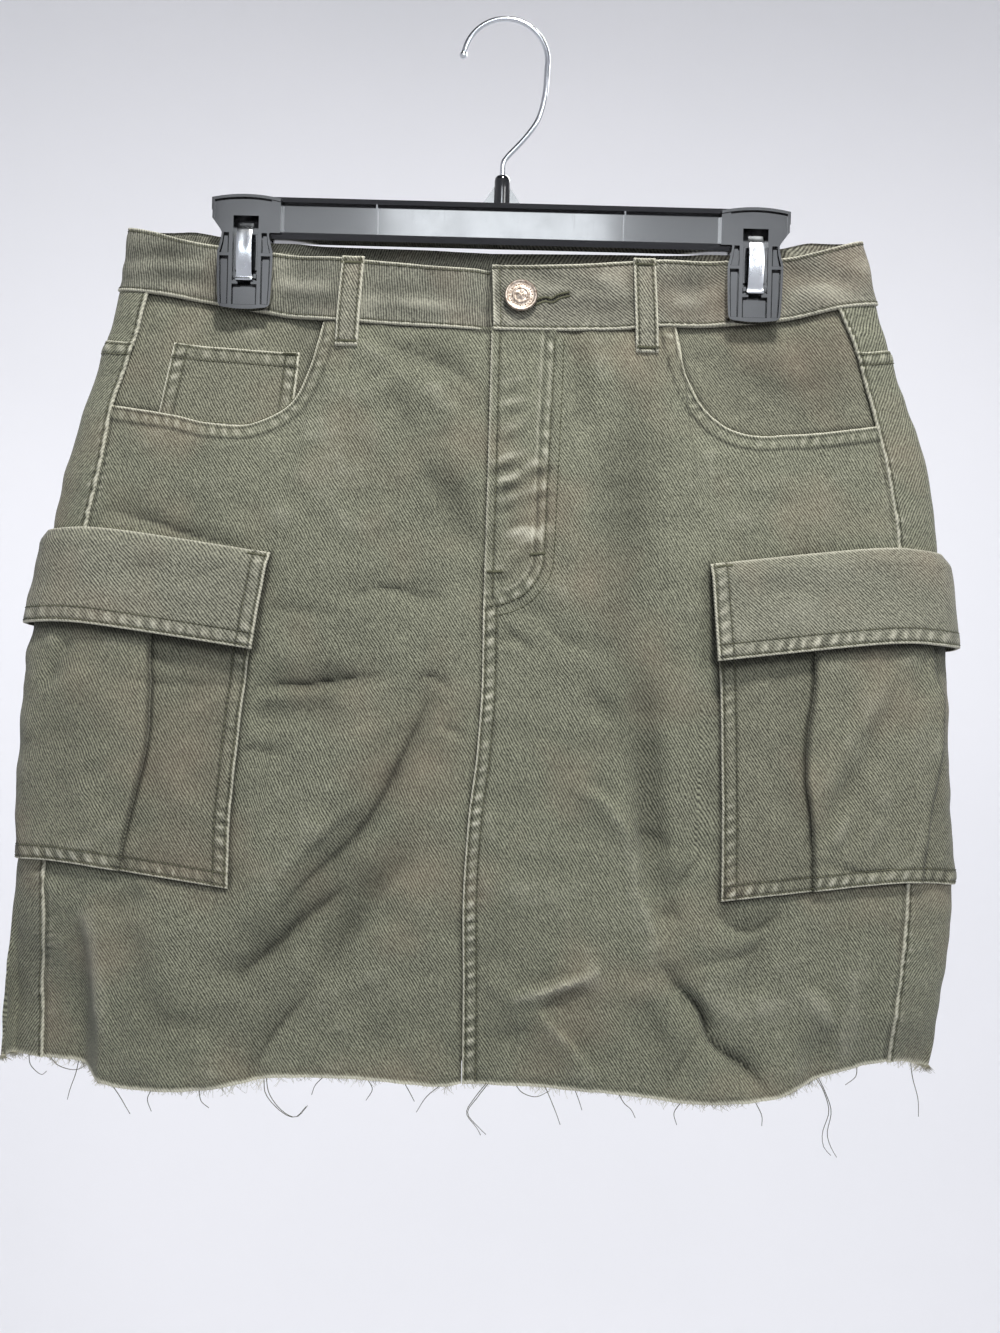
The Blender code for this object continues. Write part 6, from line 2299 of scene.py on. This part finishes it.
    def build_flap(self) -> bpy.types.Object:
        """Makes the flap and its thread.

        Returns:
            The piece.
        """
        word, sign = self.side.word, self.side.value
        length = self.flap_top - self.flap_bottom
        levels = self.flap_top - length * spread(length, 1.9, FOLDED, SEWN)
        distances, shares = self.columns(levels, self.flap_margin, False)
        angles, heights = self.place(distances, np.broadcast_to(levels, distances.shape))
        down = (self.flap_top - levels) / length
        over = smooth_step((self.flap_top + 1 - levels) / 9)
        softened = 0.5 * self.rise + self.belly * down
        pocket_face = 1.2 + np.maximum(self.rise_at(distances, shares, levels), softened[None, :])
        seat = self.seat + over * (pocket_face + 0.5) + (self.flap_lift * down**2)[None, :]
        sheet = Sheet(
            f"cargo_flap_{word}", angles, heights, seat + self.flap_thickness, self.flap_thickness,
            f"cargo_flap_thread_{word}",
        )
        front_away = self.front_edge + self.flap_margin - distances
        back_away = distances - self.back_edge + self.flap_margin
        edge = SewnEdge(rows=(1.8, 8.4), thick=0.3, roll=1.0, pucker=0.42, wavelength=7.3, seed=121 + sign)
        foot = SewnEdge(
            rows=(1.8, 8.6), thick=0.3, roll=1.1, pucker=0.42, wavelength=7.6, seed=124 + sign, worn=1.0
        )
        top = SewnEdge(rows=(60.0,), thick=0.0, roll=1.0, pucker=0.0, worn=0.55, seed=5)
        sheet.sew(edge, front_away, sheet.from_top, stitched=slice(2, -6))
        sheet.sew(edge, back_away, sheet.from_top, stitched=slice(2, -6))
        sheet.sew(foot, sheet.from_foot, distances, stitched=slice(6, -6))
        sheet.sew(top, sheet.from_top, distances)
        # painted light on crests and painted shade in troughs
        sheet.crease(self.flap_folds, painted_tone=0.15)
        sheet.crumple(Ripple(131 + sign, 18, 46, stretch=1.8), 0.42, painted_tone=0.07)
        waves = Ripple(135 + sign, 30, 80)(distances, 0 * distances)
        sheet.mark(sheet.from_foot, 12, out=0.7, share=waves)
        skin = sheet.stitch()
        for spot in (self.front_edge + 0.5, self.back_edge - 0.5):
            inward = spot - self.tack_length * np.sign(spot)
            ends = self.place(np.array([spot, inward]), np.full(2, self.flap_top - 3.0))
            sheet.thread.tack(FORM.surface(*ends, np.full(2, 3.0)), 2.0, skin)
        return sheet.finish(FLAP, [f"cargo_pocket_{word}"])


@dataclass
class HemFringe:
    """The raw hem: short fuzz all round, and the long loose threads."""

    fuzz: int = 3200
    fuzz_length: tuple[float, float] = (1.2, 6.0)
    # how far the fuzz sways along the hem and out of it
    fuzz_reach: tuple[float, float] = (0.8, 0.35)
    long_points: int = 16
    seed: int = 7
    # root x, then sideways and downward steps of each long thread
    long_threads: tuple = (
        (-253, (3, 6), (7, 5), (5, -2)), (-223, (-1, 8), (-4, 9), (-2, 6)),
        (-198, (3, 6), (4, 6), (2, 4)), (-116, (2, 9), (8, 9), (9, 3), (6, -6)),
        (-84, (-4, 5), (-3, 5)), (-21, (-5, 6), (-6, 8)), (4, (-5, 8), (-4, 8), (5, 8), (3, 4)),
        (36, (3, 8), (3, 7), (1, 5)), (52, (1, 6), (2, 5)),
        (184, (4, 7), (2, 11), (-3, 12), (1, 8), (3, 5)), (237, (1, 9), (3, 11), (1, 10)),
        (-240, (6, 5), (9, 2), (8, -4)), (-60, (2, 5), (-3, 6)), (76, (3, 5), (5, 4), (2, 4)),
        (110, (-3, 6), (1, 6)), (150, (3, 7), (1, 6)), (206, (-2, 6), (-5, 5)), (-150, (2, 6), (4, 4)),
        (-176, (-2, 5), (2, 6)), (20, (3, 4), (8, 2), (7, -3)), (-40, (3, 5), (2, 5)),
    )

    def hem_point(self, angle: Array, inward: Array) -> Array:
        """The raw edge at each angle, this far under the outer face."""
        heights = settle(lambda _: angle, HEM, -588)
        return FORM.surface(angle, heights + 0.4, -inward)

    def build(self) -> list[bpy.types.Object]:
        """Makes the fuzz as one mesh and the long threads as another.

        Returns:
            The pieces.
        """
        rng = np.random.default_rng(self.seed)
        shares = np.sort(rng.uniform(0, 1, self.fuzz))
        angles = FORM.crowded(-588, math.radians(-89.5), math.radians(269.5), shares)
        root = self.hem_point(angles, rng.uniform(0.05, 1.15, self.fuzz))
        low, high = self.fuzz_length
        length = low + (high - low) * rng.uniform(0, 1, self.fuzz) ** 2.2
        clump = 0.75 + 0.5 * np.clip(Ripple(3, 30, 90)(root[:, 0], root[:, 1] * 3), -1, 1.4)
        length = length * clump
        lean = rng.normal(0, 0.55, (self.fuzz, 2))
        curl = rng.normal(0, 0.5, (self.fuzz, 2))
        t = np.linspace(0, 1, 5)
        paths = np.repeat(root[:, None, :], 5, axis=1)
        for axis, reach in enumerate(self.fuzz_reach):
            sway = lean[:, axis, None] * t + curl[:, axis, None] * t**2
            paths[:, :, axis] += length[:, None] * sway * reach
        paths[:, :, 2] -= length[:, None] * (t * 0.85)
        up = np.tile([0.0, -1.0, 0.2], (self.fuzz, 1))
        points, faces = tubes(paths, np.linspace(0.13, 0.07, 5), up, 3)
        fringe = make_piece("hem_fuzz", points, faces, LOOSE_YARN, sharp=120)
        stand_for("hem_fringe")
        return [fringe, self.build_long()]

    def build_long(self) -> bpy.types.Object:
        """Makes the long loose threads, a few of them two together.

        Returns:
            The piece.
        """
        rng = np.random.default_rng(self.seed + 1)
        paths = []
        for root_x, *steps in self.long_threads:
            for twin in range(2 if len(steps) > 3 else 1):
                angle = np.atleast_1d(FORM.angle_at(root_x + twin * 1.2, -588))
                spot = self.hem_point(angle, np.array([0.6]))[0]
                knots = [spot]
                for sideways, down in steps:
                    spot = spot + np.array([sideways + rng.normal(0, 0.8), rng.normal(0, 0.8), -down])
                    knots.append(spot)
                curve = smooth_path(np.array(knots), 1.0)
                even, steps_along = np.linspace(0, len(curve) - 1, self.long_points), np.arange(len(curve))
                paths.append(np.stack([np.interp(even, steps_along, axis) for axis in curve.T], 1))
        radii = np.linspace(0.26, 0.17, self.long_points)
        up = np.tile([0.0, -1.0, 0.3], (len(paths), 1))
        points, faces = tubes(np.array(paths), radii, up, 5)
        threads = make_piece("hem_threads", points, faces, DARK_YARN, sharp=120)
        return threads


@dataclass
class WaistButton:
    """The rubbed metal shank button at the front."""

    x: float = 12
    height: float = -157.4
    profile: Table = (
        (0, 0), (4.6, 0), (4.6, 1.0), (8.4, 1.2), (9.0, 1.7), (9.1, 2.2), (8.9, 2.7), (8.4, 3.05),
        (7.9, 3.05), (7.5, 2.8), (7.1, 2.65), (5.0, 2.6), (4.7, 2.75), (4.4, 2.95), (4.0, 2.95),
        (3.7, 2.7), (3.4, 2.6), (2.6, 2.7), (1.6, 3.1), (0.8, 3.3), (0, 3.35),
    )
    sides: int = 72
    beads: int = 26
    bead_ring: float = 6.1
    bead: Table = ((0.48, 2.5), (0.38, 2.82), (0.16, 2.95))

    def build(self) -> bpy.types.Object:
        """Makes the button, with a ring of plain beads in place of any lettering.

        Returns:
            The piece.
        """
        rings = turned_rings(self.profile[1:-1], self.sides)
        turn = 2 * math.pi * np.arange(self.sides) / self.sides
        radius = np.array(self.profile)[1:-1, :1]
        rings[..., 2] += bell(radius - 2.2, 1.4) * 0.16 * np.cos(5 * turn)
        faces = ring_faces(len(rings), self.sides)
        points = [*rings.reshape(-1, 3), (0, 0, self.profile[0][1]), (0, 0, self.profile[-1][1])]
        foot, last = len(points) - 2, len(points) - 2 - self.sides
        for side in range(self.sides):
            after = (side + 1) % self.sides
            faces += [[foot, after, side], [foot + 1, last + side, last + after]]
        for around in 2 * math.pi * np.arange(self.beads) / self.beads:
            first = len(points)
            middle = (self.bead_ring * math.cos(around), self.bead_ring * math.sin(around))
            points += [*turned_rings(self.bead, 8, middle).reshape(-1, 3)]
            faces += ring_faces(len(self.bead), 8, first)
            faces += [list(range(len(points) - 8, len(points))), list(range(first + 7, first - 1, -1))]
        angle = np.array(FORM.angle_at(self.x, self.height))
        seat = FORM.surface(angle, np.array(self.height), 1.25)
        outward = Vector(FORM.normals(angle, np.array(self.height)))
        button = make_piece("waist_button", points, faces, BUTTON_METAL, sharp=35)
        tilt = Matrix.Rotation(math.radians(-6), 4, "X") @ Matrix.Rotation(math.radians(5), 4, "Z")
        turned = outward.to_track_quat("Z", "Y").to_matrix().to_4x4() @ tilt
        button.data.transform(Matrix.Translation(Vector(seat) * MM) @ turned)
        stand_for("button")
        return button


# ---- The hanger ----


def prism(outline: Sequence[Sequence[float]], low: float, high: float, axis: int) -> tuple[list, list]:
    """A solid drawn out of an outline.

    Args:
        outline: points in the two other axes, in order of x, y, z.
        low, high: its ends along the axis.
        axis: 0, 1 or 2.

    Returns:
        Points in millimetres and faces.
    """
    points = [np.insert(np.array(corner, float), axis, end) for end in (low, high) for corner in outline]
    count = len(outline)
    faces = [list(range(count)), list(range(2 * count - 1, count - 1, -1))]
    for index in range(count):
        after = (index + 1) % count
        faces.append([index, count + index, count + after, after])
    return points, faces


def rectangle(left: float, right: float, top: float, foot: float) -> Table:
    """A rectangle's corners, for a prism's outline."""
    return (left, top), (right, top), (right, foot), (left, foot)


def recess(outline: Sequence[Sequence[float]], face: float, depth: float) -> tuple[list, list]:
    """What is cut from a moulding's front face to sink this outline in it."""
    return prism(outline, -face - 1, -face + depth, 1)


def solid(name: str, shape: tuple[list, list], finish: "Finish") -> bpy.types.Object:
    """A closed solid with its faces turned outwards.

    Args:
        name: the piece's name.
        shape: points in millimetres and faces.
        finish: what it is made of.

    Returns:
        The piece.
    """
    piece = make_piece(name, *shape, finish, sharp=35)
    mesh = bmesh.new()
    mesh.from_mesh(piece.data)
    bmesh.ops.recalc_face_normals(mesh, faces=mesh.faces)
    if mesh.calc_volume(signed=True) < 0:
        bmesh.ops.reverse_faces(mesh, faces=mesh.faces)
    mesh.to_mesh(piece.data)
    mesh.free()
    return piece


def join_solids(base: bpy.types.Object, others: Sequence[tuple[list, list]], operation: str) -> None:
    """Adds to or cuts from a solid with others, at once.

    Args:
        base: the solid.
        others: points and faces of each.
        operation: UNION or DIFFERENCE.
    """
    for number, shape in enumerate(others):
        other = solid(f"{base.name}_{operation.lower()}_{number}", shape, BLACK_PLASTIC)
        modifier = base.modifiers.new(operation.lower(), "BOOLEAN")
        modifier.operation = operation
        modifier.object = other
        bpy.context.view_layer.update()
        graph = bpy.context.evaluated_depsgraph_get()
        made = bpy.data.meshes.new_from_object(base.evaluated_get(graph))
        base.modifiers.remove(modifier)
        base.data = made
        bpy.data.objects.remove(other, do_unlink=True)


def soften(piece: bpy.types.Object, width: float, segments: int = 3) -> None:
    """Rounds a moulded piece's edges by a width in millimetres.

    Args:
        piece: which piece.
        width: of the rounding.
        segments: faces across it.
    """
    bevel = piece.modifiers.new("soft edges", "BEVEL")
    bevel.width = width * MM
    bevel.segments = segments
    bevel.limit_method = "ANGLE"
    bevel.angle_limit = math.radians(32)
    bevel.use_clamp_overlap = True
    bevel.harden_normals = True
    piece.data.shade_smooth()


CLIP_REACH = 141.0  # from the middle of the hanger to the middle of each clip


@dataclass
class HangerBar:
    """The moulded bar: a web between two flanges, a housing at each end and the hook's boss."""

    top: float = -103.0
    bottom: float = -126.1
    half_length: float = 128
    half_depth: float = 5
    top_flange: float = 2.5
    foot_flange: float = 3.6
    draft: float = 0.6
    web_half: float = 1.1
    ribs: tuple[float, ...] = (-69.2, 68.8)
    housing_half: float = 19
    housing_depth: float = 8.6
    corner: float = -105.0
    arch: float = 2.1
    # outwards from the clip's middle and height, down the outer side and back along the foot
    housing_side: Table = (
        (19, -111.8), (18.6, -112.2), (18.6, -116.4), (17.4, -118), (15.4, -120.6), (14, -122.6),
        (13.3, -124.2), (-13.2, -124.2), (-13.2, -123.8), (-19, -123.8),
    )
    rim: float = 1.6
    plate_inset: float = 0.8
    slot_half: float = 7.0
    slot_top: float = -114.6
    slot_floor: float = 3.4
    trench: float = 1.0
    trench_depth: float = 3.2
    boss: Table = (
        (-104, 4.4), (-94, 4.4), (-89.4, 4.3), (-88.1, 4.1), (-87.2, 3.6), (-86.6, 2.9),
    )
    gusset: Table = ((10.8, -104), (10.8, -102.6), (7.6, -97.6), (5.4, -94.4), (4.2, -92.6))

    def build(self) -> bpy.types.Object:
        """Makes the bar.

        Returns:
            The piece.
        """
        d, w, edge = self.half_depth, self.web_half, self.half_depth - self.draft
        high, low = self.top - self.top_flange, self.bottom + self.foot_flange
        front = ((-d, self.top), (-edge, high), (-w, high), (-w, low), (-d, low), (-edge, self.bottom))
        beam = front + tuple((-y, z) for y, z in reversed(front))
        bar = solid(
            "hanger_bar_moulding", prism(beam, -self.half_length, self.half_length, 0),
            BLACK_PLASTIC,
        )
        others, cuts = [], []
        for x in self.ribs:
            others.append(prism(rectangle(x - 0.5, x + 0.5, -edge, edge), low - 0.5, high + 0.5, 2))
        for side in Side:
            others.append(self.housing(side))
            cuts += self.housing_recesses(side)
        gusset = self.gusset + tuple((-x, z) for x, z in reversed(self.gusset))
        others.append(prism(gusset, -0.8, 0.8, 1))
        others.append(self.turned(self.boss))
        cuts.append(self.turned(((-99, 1.9), (-80, 1.9))))
        join_solids(bar, others, "UNION")
        join_solids(bar, cuts, "DIFFERENCE")
        soften(bar, 0.35)
        stand_for("hanger_bar")
        return bar

    def turned(self, profile: Table) -> tuple[Array, list]:
        """A solid turned round the hook's axis from heights and radii.

        Args:
            profile: heights and radii.

        Returns:
            Points in millimetres and faces.
        """
        heights, radii = np.array(profile).T
        axis = np.stack([0 * heights, 0 * heights, heights], axis=1)
        return tubes(axis[None], radii[None], np.array([[0.0, -1.0, 0.0]]), 28)

    def arched(self, drop: float, start: float, end: float) -> list[tuple[float, float]]:
        """The housing's arched top, this far down, between two distances outwards.

        Args:
            drop: how far below the housing's own top.
            start, end: from the clip's middle.

        Returns:
            Points as distance and height.
        """
        return [
            (u, self.corner - drop + self.arch * (1 - (u / self.housing_half) ** 2))
            for u in np.linspace(start, end, 9)
        ]

    def housing(self, side: Side) -> tuple[list, list]:
        """The block at the bar's end that holds one clip.

        Args:
            side: which end.

        Returns:
            Points in millimetres and faces.
        """
        outline = self.arched(0, -self.housing_half, self.housing_half) + list(self.housing_side)
        outline = [(side.value * (CLIP_REACH + u), z) for u, z in outline]
        return prism(outline, -self.housing_depth, self.housing_depth, 1)

    def housing_recesses(self, side: Side) -> list[tuple[list, list]]:
        """The sunk plate of the housing's front, and the dark slots behind the springs.

        Args:
            side: which housing.

        Returns:
            Points and faces of what is cut away.
        """
        depth, half = self.housing_depth, self.slot_half
        plate = self.arched(self.rim, -self.housing_half, self.housing_half - self.rim)
        plate = [(-30, plate[0][1])] + plate + [(self.housing_half - self.rim, -130), (-30, -130)]
        plate = [(side.value * (CLIP_REACH + u), z) for u, z in plate]
        centre = side.value * CLIP_REACH
        behind = rectangle(centre - half, centre + half, self.slot_top, -140)
        start, end = -14.0, self.housing_half - self.rim
        trench = self.arched(self.rim, start, end) + self.arched(self.rim + self.trench, start, end)[::-1]
        trench = [(side.value * (CLIP_REACH + u), z) for u, z in trench]
        return [
            recess(plate, depth, self.plate_inset),
            recess(trench, depth, self.trench_depth),
            recess(behind, depth, depth + self.slot_floor),
            prism(behind, depth - 3.2, depth + 1, 1),
        ]


@dataclass
class Clip:
    """One clip: a front jaw with moulded windows, a plain back jaw and the bowed spring."""

    side: Side
    top: float = -124.5
    bottom: float = -166.6
    face: float = 3.3
    front: float = 9.4
    back: float = 7.2
    # half width and height down one side
    half: Table = (
        (13.1, -124.5), (13.2, -126.4), (14.0, -130.2), (15.3, -134.9), (15.4, -139), (15.1, -150),
        (14.8, -158),
    )
    corner: float = 3.4
    # the moulded windows' outlines, as places from the middle, and the panel raised in each
    side_windows: tuple = (
        ((9.0, -124.6), (11.9, -124.6), (12.5, -129.6), (14.1, -135.6), (9.0, -135.6)),
        ((9.0, -137.4), (14.1, -137.4), (13.9, -150), (13.2, -164.0), (9.0, -164.0)),
    )
    foot_window: Table = rectangle(-6.9, 6.9, -152.9, -164.2)
    window_depth: float = 4.8
    panel_depth: float = 1.1
    gap_beside: float = 0.75
    gap_above: float = 1.5
    gap_below: float = 0.3
    # the spring's channel: depth, then from the middle outwards and down
    channel: Table = (
        (3.8, 0, 6.9, -120, -144.4), (5.6, 6.2, 6.9, -120, -151), (5.4, 0, 6.9, -144.2, -146.8),
        (1.6, 0, 6.3, -146.6, -149.5), (5.4, 0, 6.9, -149.3, -150.6), (4.8, 0, 3.6, -150.4, -153.0),
    )
    spring_half: float = 4.2
    spring_thickness: float = 0.8
    spring: Table = (
        (6.6, -118.6), (8.2, -121), (9.6, -122.4), (11.0, -123.3), (12.0, -126.5), (12.6, -131),
        (12.6, -136), (12.1, -141), (11.2, -145.4), (10.4, -148), (10.2, -149.4), (10.6, -150.3),
        (11.6, -150.9),
    )

    def outline(self, centre: float, drop: float) -> list[tuple[float, float]]:
        """A jaw seen from the front: a neck, shoulders and a tip with round corners.

        Args:
            centre: the clip's x.
            drop: how much longer the jaw is than the front one.

        Returns:
            Points as x and height.
        """
        half = list(self.half)
        foot = self.bottom - drop
        for step in range(7):
            turn = math.pi / 2 * step / 6
            across = 14.5 + self.corner * (math.cos(turn) - 1)
            half.append((across, foot + 0.8 + self.corner * (1 - math.sin(turn))))
        half.append((4, foot))
        right = [(centre + x, z) for x, z in half]
        return right + [(centre - x, z) for x, z in reversed(half)]

    def build(self) -> list[bpy.types.Object]:
        """Makes the clip's three pieces.

        Returns:
            The pieces.
        """
        centre = self.side.value * CLIP_REACH
        word = self.side.word
        made = []
        for name, facing, depth, drop in (("front", -1, self.front, 0), ("back", 1, self.back, 1.6)):
            near, far = sorted((facing * self.face, facing * depth))
            shape = prism(self.outline(centre, drop), near, far, 1)
            jaw = solid(f"clip_{name}_shell_{word}", shape, BLACK_PLASTIC)
            slope = (
                (facing * (depth + 2), self.bottom + 2.0), (facing * (depth + 2), self.bottom - 8),
                (facing * (depth - 3.4), self.bottom - 8),
            )
            lip = (
                (facing * (self.face - 2), -160.5), (facing * self.face, -160.5),
                (facing * (self.face + 2.2), self.bottom - 8), (facing * (self.face - 2), self.bottom - 8),
            )
            cuts = [prism(slope, centre - 30, centre + 30, 0), prism(lip, centre - 30, centre + 30, 0)]
            panels = []
            if facing < 0:
                windows, panels = self.moulded_windows(centre)
                cuts += windows
            join_solids(jaw, cuts, "DIFFERENCE")
            join_solids(jaw, panels, "UNION")
            soften(jaw, 0.22)
            stand_for(f"clip_{name}_jaw_{word}")
            made.append(jaw)
        made.append(self.build_spring(centre))
        return made

    def moulded_windows(self, centre: float) -> tuple[list, list]:
        """The windows' deep outlines with the spring's channel, and the panels raised in them.

        Args:
            centre: the clip's x.

        Returns:
            What is cut away and what is added.
        """
        cuts, panels = [], []
        outlines = [(sign, places) for places in self.side_windows for sign in (-1, 1)]
        for sign, places in outlines + [(1, self.foot_window)]:
            x, z = np.array(places).T
            wide, high = np.ptp(x), np.ptp(z)
            window = np.stack([centre + sign * x, z], axis=1)
            cuts.append(recess(window, self.front, self.window_depth))
            x = x.min() + self.gap_beside + (x - x.min()) * (1 - 2 * self.gap_beside / wide)
            z = z.max() - self.gap_above + (z - z.max()) * (1 - (self.gap_above + self.gap_below) / high)
            panel = np.stack([centre + sign * x, z], axis=1)
            top, foot = self.panel_depth - self.front, self.window_depth + 0.4 - self.front
            panels.append(prism(panel, top, foot, 1))
        for depth, near, far, top, foot in self.channel:
            for sign in (-1, 1):
                window = rectangle(centre + sign * near, centre + sign * far, top, foot)
                cuts.append(recess(window, self.front, depth))
        return cuts, panels

    def build_spring(self, centre: float) -> bpy.types.Object:
        """The bowed steel strip, wider at its lip, with a pressed teardrop.

        Args:
            centre: the clip's x.

        Returns:
            The piece.
        """
        path = smooth_path(self.spring, 0.6)
        along = np.gradient(path, axis=0)
        along /= np.linalg.norm(along, axis=1, keepdims=True)
        normal = np.stack([-along[:, 1], along[:, 0]], axis=1)
        across = np.array([-1, -0.97, -0.88, -0.6, -0.3, 0, 0.3, 0.6, 0.88, 0.97, 1.0])
        lip = smooth_step((-147.5 - path[:, 1]) / 2)
        half = self.spring_half + 0.5 * lip
        press = bell(across[:, None] * self.spring_half, 1.5) * bell(path[None, :, 1] + 129.5, 4.5) * 0.45
        rounding = 0.25 * np.abs(across[:, None]) ** 8
        points = []
        for face in (1, -1):
            out = face * (self.spring_thickness / 2 - rounding) - press
            depth, height = (path[None, :, axis] + normal[None, :, axis] * out for axis in (0, 1))
            x = centre + across[:, None] * half[None, :]
            points.append(np.stack([np.broadcast_to(x, height.shape), -depth, height], -1).reshape(-1, 3))
        shape = (np.concatenate(points), shell_faces(len(across), len(path)))
        spring = solid(f"clip_spring_strip_{self.side.word}", shape, SPRING_STEEL)
        stand_for(f"clip_spring_{self.side.word}")
        return spring


@dataclass
class Hook:
    """The plated wire hook with a ball at its tip."""

    wire: float = 1.5
    radius: float = 23.6
    start: float = -8
    end: float = 169
    stem: Table = (
        (0, -98.6), (0, -90), (0, -83), (0.3, -79), (3, -75), (7.6, -70), (13.6, -63), (18.8, -55),
        (21.6, -46), (23, -36),
    )
    ball: Table = ((0.6, 1.6), (1.2, 1.9), (1.8, 2.05), (2.5, 2.0), (3.1, 1.7), (3.6, 1.2), (3.9, 0.6))
    sides: int = 20

    def build(self) -> bpy.types.Object:
        """Makes the hook.

        Returns:
            The piece.
        """
        arc = np.radians(np.linspace(self.start, self.end, 40))
        bend = np.stack(
            [self.radius * np.cos(arc), self.wire - self.radius + self.radius * np.sin(arc)], axis=1
        )
        path = smooth_path(np.concatenate([np.array(self.stem), bend]), 1.6)
        ahead = (path[-1] - path[-2]) / np.linalg.norm(path[-1] - path[-2])
        tip = np.array([path[-1] + ahead * step for step, _ in self.ball])
        radii = np.concatenate([np.full(len(path), self.wire), [radius for _, radius in self.ball]])
        line = np.concatenate([path, tip])
        line = np.stack([line[:, 0], np.zeros(len(line)), line[:, 1]], axis=1)
        points, faces = tubes(line[None], radii[None], np.array([[0.0, -1.0, 0.0]]), self.sides)
        hook = solid("hook_plated_wire", (points, faces), CHROME)
        stand_for("hook_wire")
        return hook


@dataclass
class Studio:
    """Pale sweep all round, soft lights and the camera."""

    distance: float = 0.75
    aim: tuple[float, float] = (0.0058, -0.3603)
    roll: float = 1.5
    lens: float = 36.83
    near_plane: float = -0.012
    floor: float = -2.0
    room: float = 2.6
    wall: float = 2.2
    fillet: float = 1.2
    sides: int = 72
    # name, place, size, power, colour and, where it isn't the skirt, what the lamp is aimed at
    lights: tuple = (
        ("key", (0.16, -0.8, 0.92), (0.2, 0.2), 24, (1.0, 0.985, 0.96)),
        ("panel", (0, -1.95, 0.43), (1.15, 0.28), 3.0, (0.9, 0.95, 1.0)),
        ("strip", (-0.02, -1.9, 0.5), (0.44, 0.22), 3.2, (0.9, 0.95, 1.0)),
        ("side", (0.95, -1.1, 0.2), (0.5, 0.5), 5, (1.0, 1.0, 1.0)),
        ("wash", (0.0, 0.75, 0.15), (1.3, 1.3), 23, (1.0, 1.0, 1.0), (0, 2.6, -0.3)),
        ("back", (0.5, 1.2, 0.8), (0.7, 0.7), 20, (1.0, 1.0, 1.0)),
    )

    def build(self) -> None:
        """Sets up the studio."""
        scene = bpy.context.scene
        scene.view_settings.view_transform = "Standard"
        scene.view_settings.look = "None"
        data = bpy.data.cameras.new("camera")
        data.lens, data.sensor_width = self.lens, 36
        camera = bpy.data.objects.new("camera", data)
        camera.location = (self.aim[0], self.near_plane - self.distance, self.aim[1])
        facing = Matrix.Rotation(math.radians(90), 4, "X")
        rolled = facing @ Matrix.Rotation(math.radians(self.roll), 4, "Z")
        camera.rotation_euler = rolled.to_euler()
        scene.collection.objects.link(camera)
        scene.camera = camera
        self.sweep()
        world = bpy.data.worlds.new("studio")
        world.use_nodes = True
        background = world.node_tree.nodes["Background"]
        background.inputs["Color"].default_value = (0.93, 0.95, 1.0, 1)
        background.inputs["Strength"].default_value = 0.08
        scene.world = world
        for lamp in self.lights:
            self.light(*lamp)

    def light(
        self, name: str, place: Sequence[float], size: tuple[float, float], power: float,
        colour: Sequence[float], aim: Sequence[float] = (0, 0, -0.36),
    ) -> None:
        """Adds a soft panel of light that the camera doesn't see.

        Args:
            name: the lamp's name.
            place: where it is, in metres.
            size: its width and height.
            power: watts.
            colour: linear red, green and blue.
            aim: what it faces.
        """
        data = bpy.data.lights.new(name, "AREA")
        data.shape = "RECTANGLE"
        data.size, data.size_y = size
        data.energy, data.color = power, colour
        lamp = bpy.data.objects.new(name, data)
        lamp.location = place
        towards = Vector(aim) - Vector(place)
        lamp.rotation_euler = towards.to_track_quat("-Z", "Y").to_euler()
        lamp.visible_camera = False
        bpy.context.scene.collection.objects.link(lamp)

    def sweep(self) -> None:
        """A pale round floor that curves up into the wall."""
        fillet = self.fillet
        profile = [(0.001, self.floor)]
        for turn in np.linspace(0, math.pi / 2, 14):
            reach, rise = fillet * (math.sin(turn) - 1), fillet * (1 - math.cos(turn))
            profile.append((self.room + reach, self.floor + rise))
        profile.append((self.room, self.wall))
        mesh = bpy.data.meshes.new("sweep")
        points = turned_rings(profile, self.sides).reshape(-1, 3)
        mesh.from_pydata(points.tolist(), [], ring_faces(len(profile), self.sides))
        mesh.shade_smooth()
        material, nodes, shader = new_material("pale_sweep")
        place = nodes.add("TexCoord", {}).outputs["Object"]
        tone = nodes.mix(nodes.noise(place, 1.5, 2), linear((226, 227, 231)), linear((232, 232, 236)))
        nodes.feed(shader, {"Base Color": tone, "Roughness": 0.9})
        mesh.materials.append(material)
        sweep = bpy.data.objects.new("sweep", mesh)
        bpy.context.scene.collection.objects.link(sweep)


BELT_LOOPS = (
    BeltLoop("belt_loop_front_left", True, -80.4, -82.9),
    BeltLoop("belt_loop_front_right", True, 79.2, 81.8),
    BeltLoop("belt_loop_back_left", False, -74.0, -75.0),
    BeltLoop("belt_loop_back_centre", False, 0.0, 0.0),
    BeltLoop("belt_loop_back_right", False, 75.0, 76.0),
)


def main() -> None:
    """Builds every piece in order."""
    logging.basicConfig(level=logging.INFO, format="%(message)s")
    Studio().build()
    builders: list = [HangerBar(), Hook(), WaistButton(), HemFringe(), CoinPocket(), *BELT_LOOPS]
    for side in Side:
        builders += [
            Clip(side), Waistband(side), FrontPanel(side), PocketFacing(side), Back(side),
            CargoPocket(side),
        ]
    for builder in builders:
        made = builder.build()
        for piece in made if isinstance(made, list) else [made]:
            log.info("%s: %d faces", piece.name, len(piece.data.polygons))


if __name__ == "__main__":
    main()
